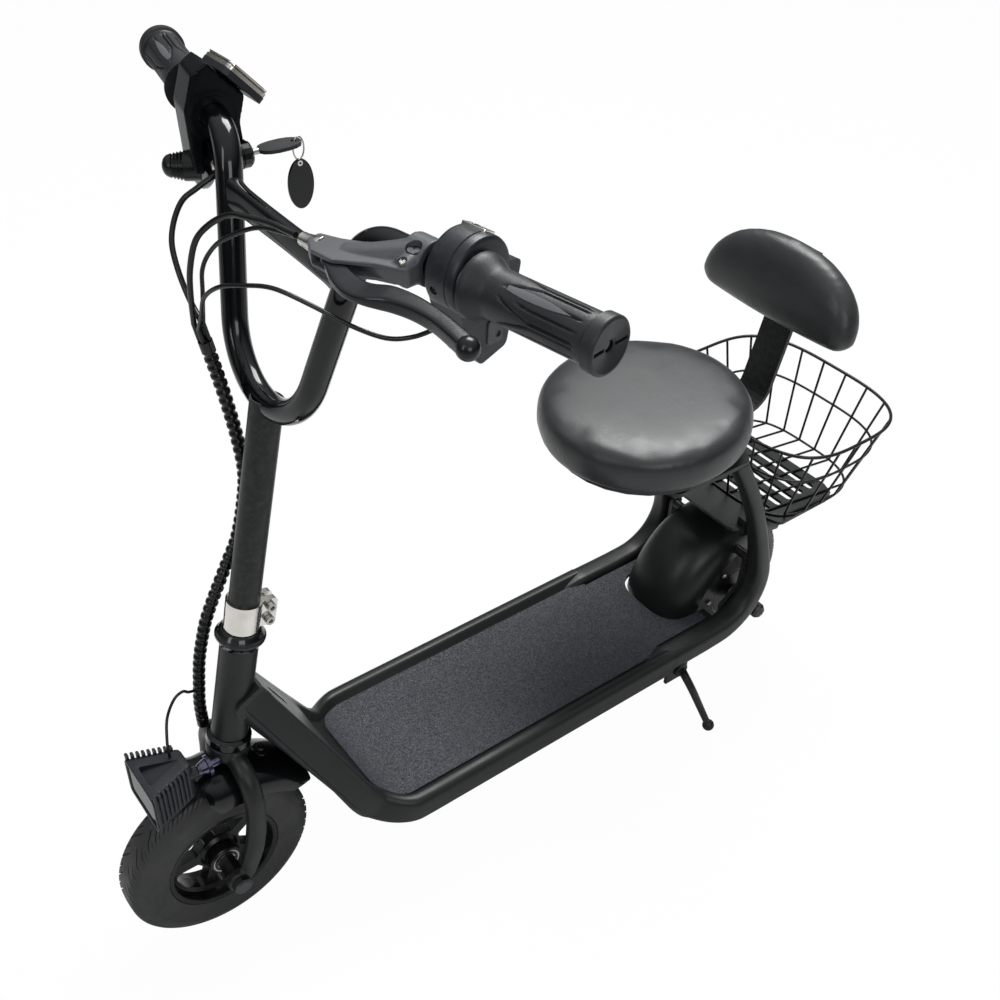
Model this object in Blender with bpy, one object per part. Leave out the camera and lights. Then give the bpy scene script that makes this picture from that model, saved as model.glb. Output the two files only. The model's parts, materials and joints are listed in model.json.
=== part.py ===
"""Seated electric scooter with a U-shaped handlebar, a round seat and a wire basket.

Metres, +Z up, +X forward, +Y to the rider's left. The model is laid out from the front axle
(x = 0 there) and the whole assembly then hangs on one empty, which centres it on the ground.
"""
import bpy
import bmesh
from math import sin, cos, tan, pi, radians, sqrt
from mathutils import Vector, Matrix

# Clearances
GAP = 0.0003
RUN = 0.0005

# Wheels
WHEELBASE = 0.720
WHEEL_FACETS = 28
TYRE_R = 0.100
TYRE_HALF = 0.0218
TREAD_FLAT = 0.0115
RIM_SEAT_R = 0.0580
RIM_FLANGE_R = 0.0605
RIM_FLANGE_IN = 0.0182
RIM_HALF = 0.0205
RIM_BAND = 0.0045
HUB_R = 0.0170
HUB_HALF = 0.0225
WEB_HALF = 0.0065
SPOKES = 5
SPOKE_WIDTH = 0.0120
WINDOW_IN = 0.0250
AXLE_R = 0.0060
NUT_R = 0.0100
MOTOR_R = 0.0490
MOTOR_HALF = 0.0430

# Steering head
RAKE = radians(11.9)
STEERER_R = 0.0127
HEAD_R = 0.0180
HEAD_WALL = 0.0030
CROWN_S = 0.1350
CROWN_R = 0.0213
YOKE_S = 0.1382
LOWER_CUP_S = 0.1495
LOWER_CUP_R = 0.0217
HEAD_S = 0.1615
HEAD_TOP_S = 0.2698
UPPER_CUP_R = 0.0236
BAND_S = 0.2895
BAND_TOP_S = 0.3199
BAND_R = 0.0169
STEM_R = 0.0143
STEERER_TOP_S = 0.3600

# Handlebar
BAR_R = 0.0111
BAR_BOTTOM_S = 0.5220
BAR_U_RADIUS = 0.0670
BAR_CORNER_Y = 0.1017
BAR_CORNER_S = 0.7087
BAR_BEND = 0.0380
BAR_BOTTOM_Y = 0.0515
BAR_SWEEP = 0.03945
BAR_RISE = 0.00903
BAR_END_Y = 0.3080
BRACE_S = 0.6660
BRACE_HEIGHT = 0.0270
BRACE_THICK = 0.0120

# Grips and hand controls, placed by distance along the bar from its corner
GRIP_R = 0.0174
GRIP_FLANGE_R = 0.0201
GRIP_START = 0.1060
GRIP_CAP = 0.0030
GRIP_COLLAR_R = 0.0232
GRIP_COLLAR_LENGTH = 0.0240
GRIP_FLUTES = 8
CLAMP_AT = 0.0560
CLAMP_R = 0.0165
PERCH_THICK = 0.0130
LEVER_PIVOT = (0.0080, 0.0400)
LEVER_PIN_R = 0.0026
LEVER_BALL_R = 0.0080
LEVER_TILT_LEFT = radians(3)
LEVER_TILT_RIGHT = radians(84)
LEVER_OPEN_RIGHT = radians(15)
PERCH_SHIFT_RIGHT = 0.0300
ADJUSTER_LEFT = 0.0195
ADJUSTER_RIGHT = 0.0030
SWITCH_AT = 0.0700
SWITCH_LENGTH = 0.0330
SWITCH_R = 0.0282
SWITCH_OFFSET = (-0.0065, 0.0020)
SWITCH_LOW = 0.0600
ROCKER_TURN = radians(117)
DISPLAY_AT = 0.0375
DISPLAY_LENGTH = 0.0360
DISPLAY_MIDDLE = 0.0500
DISPLAY_ANGLE = radians(47)
DISPLAY_SIZE = (0.0420, 0.0520, 0.0120)
DISPLAY_RISE = 0.0270
DISPLAY_LIFT = 0.0020
LOCK_Y = -0.1205
LOCK_Z = TYRE_R + 0.6650
LOCK_R = 0.0115
LOCK_FRONT_X = -0.1585
LOCK_FACE_X = -0.1710
KEY_HEAD = (0.0400, 0.0210, 0.0032)
KEY_SHANK = 0.0090
TAG_SIZE = (0.0250, 0.0450, 0.0026)

# Front fender, headlight
FENDER_R = 0.1250
FENDER_EDGE_R = 0.0880
FENDER_HALF = 0.0355
FENDER_WALL = 0.0022
FENDER_FROM = radians(84.5)
FENDER_TO = radians(142.8)
FENDER_SCREW_AT = radians(119)
BLADE_R = 0.0100
BLADE_Y = 0.0495
EYE_R = 0.0125
EYE_HALF = 0.0050
LAMP_REAR = (0.0141, TYRE_R + 0.1290)
LAMP_FRONT = (0.0620, TYRE_R + 0.1270)
LAMP_REAR_SIZE = (0.0310, 0.0440)
LAMP_FRONT_SIZE = (0.0660, 0.0480)
LAMP_WALL = 0.0022
LAMP_LENS_DEPTH = 0.0040
LAMP_RIBS = 5
LAMP_BOLT_Y = 0.0120
LAMP_BOLT_Z = TYRE_R + 0.1385

# Deck and frame
DECK_HALF = 0.0975
DECK_TOP_Z = TYRE_R + 0.0296
RIM_WIDTH = 0.0210
RIM_DEPTH = 0.0260
FLOOR_DROP = 0.0094
NECK_FLOOR = 0.0030
PAN_WALL = 0.0020
NECK_TOP = (-0.0645, TYRE_R + 0.2160)
NECK_FOOT = (-0.1570, TYRE_R + 0.0400)
NECK_HALF = 0.0210
NECK_FILLET = 0.0500
PAN_END_X = 0.0720 - WHEELBASE
RIM_END_X = 0.1650 - WHEELBASE
MAT_THICK = 0.0018
MAT_HALF = 0.0755
MAT_FRONT_X = -0.1630
MAT_REAR_X = 0.0820 - WHEELBASE
SLOT_LENGTH = 0.0370
SLOT_WIDTH = 0.0080
SLOT_AT = (-0.0870, TYRE_R + 0.1720)
TUB_WALL = 0.0020
TUB_DEPTH = 0.0520
TUB_FLAT_HALF = 0.0500
NECK_DEPTH = 0.0370
NECK_FOOT_DEPTH = 0.0310
BATTERY_SIZE = (0.2400, 0.0860, 0.0300)
BATTERY_X = -WHEELBASE / 2
TUB_TAIL_X = 0.2200 - WHEELBASE
TUB_END_X = 0.1700 - WHEELBASE

# Rear end
LEG_Y = 0.0828
LEG_WIDTH = 0.0294
LEG_TOP_WIDTH = 0.0215
LEG_DEPTH = 0.0290
LEG_TOP_DEPTH = 0.0190
LEG_ROUTE = ((0.1648, 0.0146), (0.1000, 0.0146), (0.0650, 0.0190), (0.0370, 0.0390),
             (0.0230, 0.0750), (0.0300, 0.1200), (0.0490, 0.1800), (0.0740, 0.2350),
             (0.1020, 0.2840))
LEG_TOP_Z = TYRE_R + 0.2820
BRIDGE_THICK = 0.0060
BRIDGE_FRONT_X = 0.2050 - WHEELBASE
BRIDGE_REAR_X = 0.0600 - WHEELBASE
REAR_FENDER_R = 0.1320
REAR_FENDER_TAIL_R = 0.1150
REAR_FENDER_EDGE_R = 0.0860
REAR_FENDER_HALF = 0.0500
REAR_FENDER_TAIL_HALF = 0.0380
REAR_FENDER_FROM = radians(14)
REAR_FENDER_TO = radians(128)
REAR_FENDER_CUT_HALF = 0.0560
DROPOUT_IN = 0.0625
DROPOUT_THICK = 0.0050
RACK_Z = TYRE_R + 0.1560
RACK_THICK = 0.0040
RACK_HALF = 0.0900
RACK_FRONT_X = 0.0650 - WHEELBASE
RACK_REAR_X = -0.0950 - WHEELBASE
RACK_SLOTS = 5
RACK_STEP_X = 0.0160 - WHEELBASE

# Seat, backrest, basket
SEAT_X = 0.1687 - WHEELBASE
SEAT_R = 0.1176
SEAT_THICK = 0.0520
SEAT_TILT = radians(3.9)
SEAT_BASE_Z = TYRE_R + 0.3045
SEAT_PAN_R = 0.1020
SEAT_PAN_THICK = 0.0080
STRAP_WIDTH = 0.0410
STRAP_THICK = 0.0050
STRAP_CORNER_X = -0.0060 - WHEELBASE
STRAP_TILT = radians(14.5)
STRAP_LENGTH = 0.1900
STRAP_BEND = 0.0300
PAD_HALF = 0.1110
PAD_HEIGHT = 0.0960
PAD_THICK = 0.0400
PAD_LOW_S = 0.1030
BASKET_RIM_X = (0.0400 - WHEELBASE, -0.1600 - WHEELBASE)
BASKET_FLOOR_X = (0.0200 - WHEELBASE, -0.1380 - WHEELBASE)
BASKET_RIM_HALF = 0.1250
BASKET_FLOOR_HALF = 0.0920
BASKET_RIM_Z = TYRE_R + 0.2670
BASKET_MIDDLE = 0.60
WIRE_R = 0.0015

# Side stand
STAND_X = 0.1450 - WHEELBASE
STAND_Y = 0.0905
STAND_Z = TYRE_R - 0.0100
STAND_FOOT = (0.1200 - WHEELBASE, 0.1300, 0.0080)
STAND_FOOT_R = 0.0075
STAND_PIN_R = 0.0040
STAND_STEPS = 11

# Cables
HARNESS_R = 0.0060
HARNESS_RIBS = 20
CABLE_R = 0.0024
THIN_CABLE_R = 0.0018

# Length that centres the whole scooter over its origin, from basket to front tyre
ORIGIN_X = (0.8867 - TYRE_R) / 2

BLACK_SATIN = ((0.022, 0.024, 0.023), 0.42, 0.0)
BLACK_GLOSS = ((0.008, 0.009, 0.010), 0.12, 0.0)
CHROME = ((0.80, 0.78, 0.74), 0.14, 1.0)
STEEL = ((0.55, 0.54, 0.52), 0.30, 1.0)
DARK_STEEL = ((0.060, 0.060, 0.062), 0.35, 1.0)
PLASTIC = ((0.020, 0.023, 0.027), 0.50, 0.0)
RUBBER = ((0.018, 0.018, 0.019), 0.70, 0.0)
VINYL = ((0.030, 0.031, 0.031), 0.45, 0.0)
GRIT = ((0.045, 0.050, 0.060), 0.85, 0.0)
LENS = ((0.65, 0.68, 0.70), 0.10, 0.0)
WIRE = ((0.010, 0.010, 0.010), 0.35, 0.0)


def clear_scene():
    for thing in list(bpy.data.objects):
        bpy.data.objects.remove(thing, do_unlink=True)


def empty(name, point, parent=None):
    """An empty at a point of the layout; everything that hangs on it moves with it."""
    holder = bpy.data.objects.new(name, None)
    holder.empty_display_size = 0.03
    bpy.context.collection.objects.link(holder)
    holder["at"] = tuple(point)
    base = Vector(parent["at"]) if parent else Vector((0, 0, 0))
    holder.parent = parent
    holder.location = Vector(point) - base
    return holder


def paint(thing, look):
    color, roughness, metallic = look
    skin = bpy.data.materials.new("mat_" + thing.name)
    skin.use_nodes = True
    shader = skin.node_tree.nodes["Principled BSDF"]
    shader.inputs["Base Color"].default_value = (*color, 1.0)
    shader.inputs["Roughness"].default_value = roughness
    shader.inputs["Metallic"].default_value = metallic
    thing.data.materials.append(skin)


def hang(thing, parent, point=None):
    """Move the object's origin to a point of the layout and parent it to an empty there."""
    at = Vector(point if point is not None else parent["at"])
    thing.data.transform(Matrix.Translation(-at))
    thing.parent = parent
    thing.location = at - Vector(parent["at"])


def solid(name, form, look, parent, point=None, sharp=35.0):
    """Make one closed body from (verts, faces), facing out, shaded smooth except sharp edges."""
    verts, faces = form
    mesh = bpy.data.meshes.new(name)
    mesh.from_pydata([tuple(v) for v in verts], [], faces)
    work = bmesh.new()
    work.from_mesh(mesh)
    bmesh.ops.remove_doubles(work, verts=work.verts, dist=1e-6)
    bmesh.ops.dissolve_degenerate(work, edges=work.edges, dist=1e-7)
    bmesh.ops.recalc_face_normals(work, faces=work.faces)
    if work.calc_volume(signed=True) < 0:
        bmesh.ops.reverse_faces(work, faces=work.faces)
    work.to_mesh(mesh)
    work.free()
    mesh.shade_smooth()
    mesh.set_sharp_from_angle(angle=radians(sharp))
    thing = bpy.data.objects.new(name, mesh)
    bpy.context.collection.objects.link(thing)
    paint(thing, look)
    hang(thing, parent, point)
    return thing


def helper(name, form):
    """A shape that only cuts or joins another one; it is not a piece of the scooter."""
    thing = solid(name, form, BLACK_SATIN, ROOT)
    thing.hide_render = True
    thing.display_type = "WIRE"
    return thing


def carve(target, operation, *forms):
    for form in forms:
        tool = helper(f"{operation.lower()}_{target.name}_{len(target.modifiers)}", form)
        change = target.modifiers.new(tool.name, "BOOLEAN")
        change.operation = operation
        change.object = tool


def cut(target, *forms):
    carve(target, "DIFFERENCE", *forms)


def add(target, *forms):
    carve(target, "UNION", *forms)


def loft(rings, closed=False):
    """Skin equal rings of points; open lofts get flat ends."""
    count = len(rings[0])
    verts = [tuple(p) for ring in rings for p in ring]
    faces = []
    spans = len(rings) if closed else len(rings) - 1
    for i in range(spans):
        here = i * count
        there = ((i + 1) % len(rings)) * count
        for j in range(count):
            k = (j + 1) % count
            faces.append((here + j, here + k, there + k, there + j))
    if not closed:
        faces.append(tuple(reversed(range(count))))
        faces.append(tuple(range(count * (len(rings) - 1), count * len(rings))))
    return verts, faces


def merged(*forms):
    verts = []
    faces = []
    for more_verts, more_faces in forms:
        base = len(verts)
        verts += list(more_verts)
        faces += [tuple(base + i for i in face) for face in more_faces]
    return verts, faces


def moved(form, matrix):
    verts, faces = form
    return [matrix @ Vector(v) for v in verts], faces


def circle(radius, count, start=0.0):
    return [(radius * cos(start + 2 * pi * i / count), radius * sin(start + 2 * pi * i / count))
            for i in range(count)]


def oval(half_a, half_b, power, count):
    """Superellipse outline: power 1 is an ellipse, smaller is boxier."""
    points = []
    for i in range(count):
        a = 2 * pi * (i + 0.5) / count
        c, s = cos(a), sin(a)
        points.append((half_a * abs(c) ** power * (1 if c > 0 else -1),
                       half_b * abs(s) ** power * (1 if s > 0 else -1)))
    return points


def rounded_box(width, height, radius, steps=3):
    points = []
    for corner, (sx, sy) in enumerate(((1, 1), (-1, 1), (-1, -1), (1, -1))):
        for i in range(steps + 1):
            a = (corner + i / steps) * pi / 2
            points.append((sx * (width / 2 - radius) + radius * cos(a),
                           sy * (height / 2 - radius) + radius * sin(a)))
    return points


def rounded_outline(corners, steps=3):
    """Closed outline of (x, y, radius) corners, each rounded by an arc."""
    points = []
    count = len(corners)
    for i, (x, y, radius) in enumerate(corners):
        here = Vector((x, y))
        to_last = (Vector(corners[i - 1][:2]) - here).normalized()
        to_next = (Vector(corners[(i + 1) % count][:2]) - here).normalized()
        if radius <= 0:
            points.append((x, y))
            continue
        half = to_last.angle(to_next) / 2
        reach = radius / tan(half)
        centre = here + (to_last + to_next).normalized() * radius / sin(half)
        start = here + to_last * reach - centre
        end = here + to_next * reach - centre
        turn = start.angle_signed(end)
        for k in range(steps + 1):
            a = -turn * k / steps
            spun = Vector((start.x * cos(a) - start.y * sin(a), start.x * sin(a) + start.y * cos(a)))
            points.append(tuple(centre + spun))
    return points


def prism(outline, low, high, matrix=Matrix.Identity(4)):
    """Extrude a flat outline from low to high along the matrix's local Z."""
    rings = [[matrix @ Vector((x, y, z)) for x, y in outline] for z in (low, high)]
    return loft(rings)


def block(size, matrix=Matrix.Identity(4), radius=0.0):
    width, depth, height = size
    if radius > 0:
        outline = rounded_box(width, depth, radius)
    else:
        outline = [(-width / 2, -depth / 2), (width / 2, -depth / 2),
                   (width / 2, depth / 2), (-width / 2, depth / 2)]
    return prism(outline, -height / 2, height / 2, matrix)


def frame_at(origin, along, side):
    """Matrix with local Z along a direction and local X close to a side direction."""
    z = Vector(along).normalized()
    x = Vector(side)
    x = (x - z * x.dot(z)).normalized()
    y = z.cross(x)
    turn = Matrix((x, y, z)).transposed().to_4x4()
    return Matrix.Translation(Vector(origin)) @ turn


def turned(profile, matrix, count=32, start=0.0):
    """Revolve a closed (radius, height) profile about the matrix's local Z."""
    rings = []
    for i in range(count):
        a = start + 2 * pi * i / count
        rings.append([matrix @ Vector((r * cos(a), r * sin(a), h)) for r, h in profile])
    return loft(rings, closed=True)


def rod(radius, low, high, matrix, count=20):
    return prism(circle(radius, count), low, high, matrix)


def bore(radius, low, high, matrix, count=12):
    """Cutter whose flats lie at the radius, so that a round piece clears it all round."""
    return rod(radius / cos(pi / count), low, high, matrix, count)


def flow(corners, radii, step=radians(15)):
    """Open path through 3D corners whose bends are arcs of the given radii."""
    points = [Vector(corners[0])]
    for i in range(1, len(corners) - 1):
        here = Vector(corners[i])
        back = (Vector(corners[i - 1]) - here).normalized()
        ahead = (Vector(corners[i + 1]) - here).normalized()
        angle = back.angle(ahead)
        reach = radii[i - 1] / tan(angle / 2)
        centre = here + (back + ahead).normalized() * radii[i - 1] / sin(angle / 2)
        start = here + back * reach - centre
        end = here + ahead * reach - centre
        turn = pi - angle
        steps = max(2, round(turn / step))
        for k in range(steps + 1):
            part = k / steps
            points.append(centre + (start * sin((1 - part) * turn) + end * sin(part * turn)) / sin(turn))
    points.append(Vector(corners[-1]))
    return points


def smooth(points, count):
    """Even Catmull-Rom curve through hand-placed points."""
    knots = [Vector(p) for p in points]
    knots = [knots[0] * 2 - knots[1]] + knots + [knots[-1] * 2 - knots[-2]]
    fine = []
    for i in range(1, len(knots) - 2):
        a, b, c, d = knots[i - 1:i + 3]
        for k in range(24):
            t = k / 24
            fine.append(0.5 * (2 * b + (c - a) * t + (2 * a - 5 * b + 4 * c - d) * t * t
                               + (3 * b - a - 3 * c + d) * t ** 3))
    fine.append(knots[-2])
    lengths = [0.0]
    for p, q in zip(fine, fine[1:]):
        lengths.append(lengths[-1] + (q - p).length)
    even = []
    place = 0
    for i in range(count):
        want = lengths[-1] * i / (count - 1)
        while place < len(fine) - 2 and lengths[place + 1] < want:
            place += 1
        span = lengths[place + 1] - lengths[place]
        even.append(fine[place].lerp(fine[place + 1], (want - lengths[place]) / span))
    return even


def carried_frames(path, side):
    """Frames along a path that turn with it and do not twist."""
    frames = []
    x = Vector(side)
    for i, point in enumerate(path):
        ahead = path[min(i + 1, len(path) - 1)] - path[max(i - 1, 0)]
        frame = frame_at(point, ahead, x)
        x = frame.col[0].to_3d()
        frames.append(frame)
    return frames


def sweep(path, side, section):
    """Carry section(i) along the path; each section is a flat outline across it."""
    rings = []
    for i, frame in enumerate(carried_frames(path, side)):
        rings.append([frame @ Vector((x, y, 0)) for x, y in section(i)])
    return loft(rings)


def pipe(path, radius, count=14, side=(0, 1, 0)):
    return sweep(path, side, lambda i: circle(radius, count))


def cord(name, path, radius, look, parent, resolution=2):
    """A round cable: a poly curve with a bevel and filled ends."""
    curve = bpy.data.curves.new(name, "CURVE")
    curve.dimensions = "3D"
    curve.bevel_depth = radius
    curve.bevel_resolution = resolution
    curve.use_fill_caps = True
    line = curve.splines.new("POLY")
    line.points.add(len(path) - 1)
    for knot, point in zip(line.points, path):
        knot.co = (*point, 1.0)
    thing = bpy.data.objects.new(name, curve)
    bpy.context.collection.objects.link(thing)
    paint(thing, look)
    hang(thing, parent)
    return thing


# Places of the layout
FRONT_AXLE = Vector((0, 0, TYRE_R))
REAR_AXLE = Vector((-WHEELBASE, 0, TYRE_R))
STEER_DIR = Vector((-sin(RAKE), 0, cos(RAKE)))
STEER_FWD = Vector((cos(RAKE), 0, sin(RAKE)))
ACROSS = Vector((0, 1, 0))
UP = Vector((0, 0, 1))


def on_steering(s, forward=0.0, y=0.0):
    """Point at a distance along the steering axis, moved forward and sideways from it."""
    return FRONT_AXLE + STEER_DIR * s + STEER_FWD * forward + ACROSS * y


def steering_frame(s=0.0):
    return frame_at(on_steering(s), STEER_DIR, STEER_FWD)


def bar_corner(side):
    return on_steering(BAR_CORNER_S, 0, side * BAR_CORNER_Y)


def bar_end(side):
    return on_steering(BAR_CORNER_S + BAR_RISE, -BAR_SWEEP, side * BAR_END_Y)


def bar_frame(side, tilt=0.0):
    """Local X runs outward along the grip, local Y forward from it and local Z up."""
    x = (bar_end(side) - bar_corner(side)).normalized()
    level = UP.cross(x)
    level = level.normalized() * (1 if level.x > 0 else -1)
    lift = level.cross(x).normalized()
    lift = lift * (1 if lift.z > 0 else -1)
    y = level * cos(tilt) - lift * sin(tilt)
    z = level * sin(tilt) + lift * cos(tilt)
    turn = Matrix((x, y, z)).transposed().to_4x4()
    return Matrix.Translation(bar_corner(side)) @ turn


def around_bar(side, along):
    """Frame on the bar, local Z outward along it and local X forward."""
    base = bar_frame(side)
    return frame_at(base @ Vector((along, 0, 0)), base.col[0].to_3d(), base.col[1].to_3d())


def grip_length():
    return (bar_end(1) - bar_corner(1)).length


def bar_arm_y(s):
    """Sideways place of the handlebar's rising arm at a height along the steering axis."""
    rise = (BAR_CORNER_Y - BAR_BOTTOM_Y) / (BAR_CORNER_S - BAR_BOTTOM_S)
    return BAR_BOTTOM_Y + (s - BAR_BOTTOM_S) * rise


def bar_path():
    rise = (BAR_CORNER_Y - BAR_BOTTOM_Y) / (BAR_CORNER_S - BAR_BOTTOM_S)
    tip_s = BAR_BOTTOM_S - BAR_BOTTOM_Y / rise
    corners = [bar_end(-1), bar_corner(-1), on_steering(tip_s), bar_corner(1), bar_end(1)]
    return flow(corners, (BAR_BEND, BAR_U_RADIUS, BAR_BEND), radians(17))


# Wheels
def tyre_profile():
    """Outline of the tyre's section: flat tread, round shoulders and bead seats."""
    outer = [(RIM_FLANGE_R + GAP, -RIM_FLANGE_IN + GAP), (RIM_FLANGE_R + GAP, -RIM_HALF),
             (0.0760, -TYRE_HALF), (0.0905, -0.0190), (TYRE_R - 0.0020, -TREAD_FLAT - 0.0020),
             (TYRE_R, -TREAD_FLAT)]
    inner = [(RIM_SEAT_R + GAP, -RIM_FLANGE_IN + GAP)]
    half = inner + outer
    return half + [(r, -y) for r, y in reversed(half)]


def wheel_frame(axle):
    return frame_at(axle, ACROSS, (1, 0, 0))


def wheel_form(profile, axle):
    """Turned wheel piece whose facets lie flat on the ground at the profile's radii."""
    stretch = 1 / cos(pi / WHEEL_FACETS)
    wider = [(r * stretch, h) for r, h in profile]
    return turned(wider, wheel_frame(axle), WHEEL_FACETS, pi / WHEEL_FACETS)


def tyre(name, axle, parent):
    solid(name, wheel_form(tyre_profile(), axle), RUBBER, parent, axle)


def front_rim(parent):
    """Cast wheel: rim band, web with five windows between spokes, and a bearing hub."""
    frame = wheel_frame(FRONT_AXLE)
    well = RIM_SEAT_R - RIM_BAND
    profile = [(AXLE_R + RUN, -HUB_HALF), (HUB_R, -HUB_HALF), (HUB_R + 0.002, -WEB_HALF),
               (well, -WEB_HALF)]
    profile += [(well + 0.002, -RIM_HALF), (RIM_FLANGE_R, -RIM_HALF), (RIM_FLANGE_R, -RIM_FLANGE_IN),
                (RIM_SEAT_R, -RIM_FLANGE_IN)]
    profile = profile + [(r, -h) for r, h in reversed(profile)]
    rim = solid("front_rim", wheel_form(profile, FRONT_AXLE), PLASTIC, parent, FRONT_AXLE)
    windows = []
    for i in range(SPOKES):
        middle = 2 * pi * (i + 0.5) / SPOKES
        outline = []
        for radius, order in ((WINDOW_IN, 1), (well - 0.0015, -1)):
            half = pi / SPOKES - SPOKE_WIDTH / 2 / radius
            arc = [middle + order * half * (k - 1) for k in range(3)]
            outline += [(radius * cos(a), radius * sin(a)) for a in arc]
        windows.append(prism(outline, -0.02, 0.02, frame))
    cut(rim, merged(*windows))


def hub_motor(parent):
    """Motor wheel: rim band fused with a drum and its stepped side covers."""
    half = [(AXLE_R + RUN, MOTOR_HALF), (0.0145, MOTOR_HALF), (0.0160, MOTOR_HALF - 0.005),
            (0.0340, MOTOR_HALF - 0.008), (MOTOR_R, RIM_HALF + 0.004),
            (RIM_FLANGE_R, RIM_HALF), (RIM_FLANGE_R, RIM_FLANGE_IN), (RIM_SEAT_R, RIM_FLANGE_IN)]
    profile = half + [(r, -h) for r, h in reversed(half)]
    solid("rear_hub_motor", wheel_form(profile, REAR_AXLE), DARK_STEEL, parent, REAR_AXLE)


def axle_with_nuts(name, axle, spacer, seat, nut, nut_radius, look, parent):
    """Axle rod with its spacers and nuts: spacer end, outside of the seat, nut length."""
    half = [(AXLE_R, 0.0), (AXLE_R, spacer[0]), (spacer[2], spacer[0]), (spacer[2], spacer[1]),
            (AXLE_R, spacer[1]), (AXLE_R, seat), (nut_radius, seat), (nut_radius, seat + nut * 0.8),
            (nut_radius * 0.75, seat + nut), (0.0, seat + nut * 1.15)]
    profile = [(r, -h) for r, h in reversed(half)][:-1] + half[1:]
    solid(name, spun(profile, wheel_frame(axle), 8), look, parent, axle)


# Steering column
def fork(parent):
    yoke = on_steering(YOKE_S)
    route = []
    for side in (-1, 1):
        leg = [(-0.0040, side * BLADE_Y, TYRE_R), (-0.0120, side * BLADE_Y, TYRE_R + 0.0080),
               (-0.0208, side * BLADE_Y, TYRE_R + 0.0340), (-0.0262, side * BLADE_Y, TYRE_R + 0.0650),
               (-0.0285, side * BLADE_Y, TYRE_R + 0.0900), (yoke.x, side * 0.0470, yoke.z - 0.0242),
               (yoke.x, side * 0.0375, yoke.z - 0.0082), (yoke.x, side * 0.0220, yoke.z - 0.0012)]
        route += leg if side < 0 else list(reversed(leg))
    route.insert(len(route) // 2, tuple(yoke))
    path = smooth(route, 25)

    def section(i):
        near = min(1.0, max(0.0, (path[i].z - TYRE_R - 0.012) / 0.035))
        flat = (EYE_HALF - 0.0003) + (BLADE_R - EYE_HALF + 0.0003) * near
        return oval(BLADE_R, flat, 1.0, 8)

    body = solid("fork", sweep(path, (1, 0, 0), section), BLACK_SATIN, parent)
    frame = steering_frame()
    column = [(0.0, CROWN_S), (CROWN_R - 0.002, CROWN_S), (CROWN_R, CROWN_S + 0.002),
              (CROWN_R, LOWER_CUP_S - GAP), (STEERER_R, LOWER_CUP_S - GAP), (STEERER_R, STEERER_TOP_S),
              (0.0, STEERER_TOP_S)]
    add(body, spun(column, frame, 16))
    for side in (-1, 1):
        eye = frame_at(FRONT_AXLE + ACROSS * side * BLADE_Y, ACROSS, (1, 0, 0))
        add(body, rod(EYE_R, -EYE_HALF, EYE_HALF, eye, 12))
    cut(body, rod(AXLE_R + GAP, -0.07, 0.07, wheel_frame(FRONT_AXLE), 12))


def spun(profile, frame, count):
    """Revolve an open profile that starts and ends on the axis."""
    rings = []
    for i in range(count):
        a = 2 * pi * i / count
        rings.append([frame @ Vector((r * cos(a), r * sin(a), h)) for r, h in profile])
    verts, faces = loft(rings, closed=True)
    size = len(profile)
    faces = [f for f in faces if not {f[0] % size, f[1] % size} == {0, size - 1}]
    return verts, faces


def head_parts(parent):
    frame = steering_frame()
    close = STEERER_R + RUN
    inner = HEAD_R - HEAD_WALL
    head = [(inner, HEAD_S), (HEAD_R, HEAD_S), (HEAD_R, HEAD_TOP_S), (inner, HEAD_TOP_S)]
    solid("head_tube", turned(head, frame, 28), BLACK_SATIN, parent)
    lower = [(close, LOWER_CUP_S), (LOWER_CUP_R - 0.001, LOWER_CUP_S), (LOWER_CUP_R, LOWER_CUP_S + 0.0015),
             (LOWER_CUP_R, HEAD_S - 0.003), (HEAD_R, HEAD_S - GAP), (inner - GAP, HEAD_S - GAP),
             (inner - GAP, HEAD_S + 0.008), (close, HEAD_S + 0.008)]
    solid("headset_cup_lower", turned(lower, frame, 16), BLACK_GLOSS, parent)
    upper = [(close, HEAD_TOP_S - 0.008), (inner - GAP, HEAD_TOP_S - 0.008), (inner - GAP, HEAD_TOP_S + GAP),
             (HEAD_R, HEAD_TOP_S + GAP), (UPPER_CUP_R - 0.001, HEAD_TOP_S + 0.0085),
             (UPPER_CUP_R, HEAD_TOP_S + 0.0110), (UPPER_CUP_R - 0.0015, HEAD_TOP_S + 0.0140),
             (BAND_R + 0.001, BAND_S - RUN), (close, BAND_S - RUN)]
    solid("headset_cup_upper", turned(upper, frame, 16), BLACK_GLOSS, parent)


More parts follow.
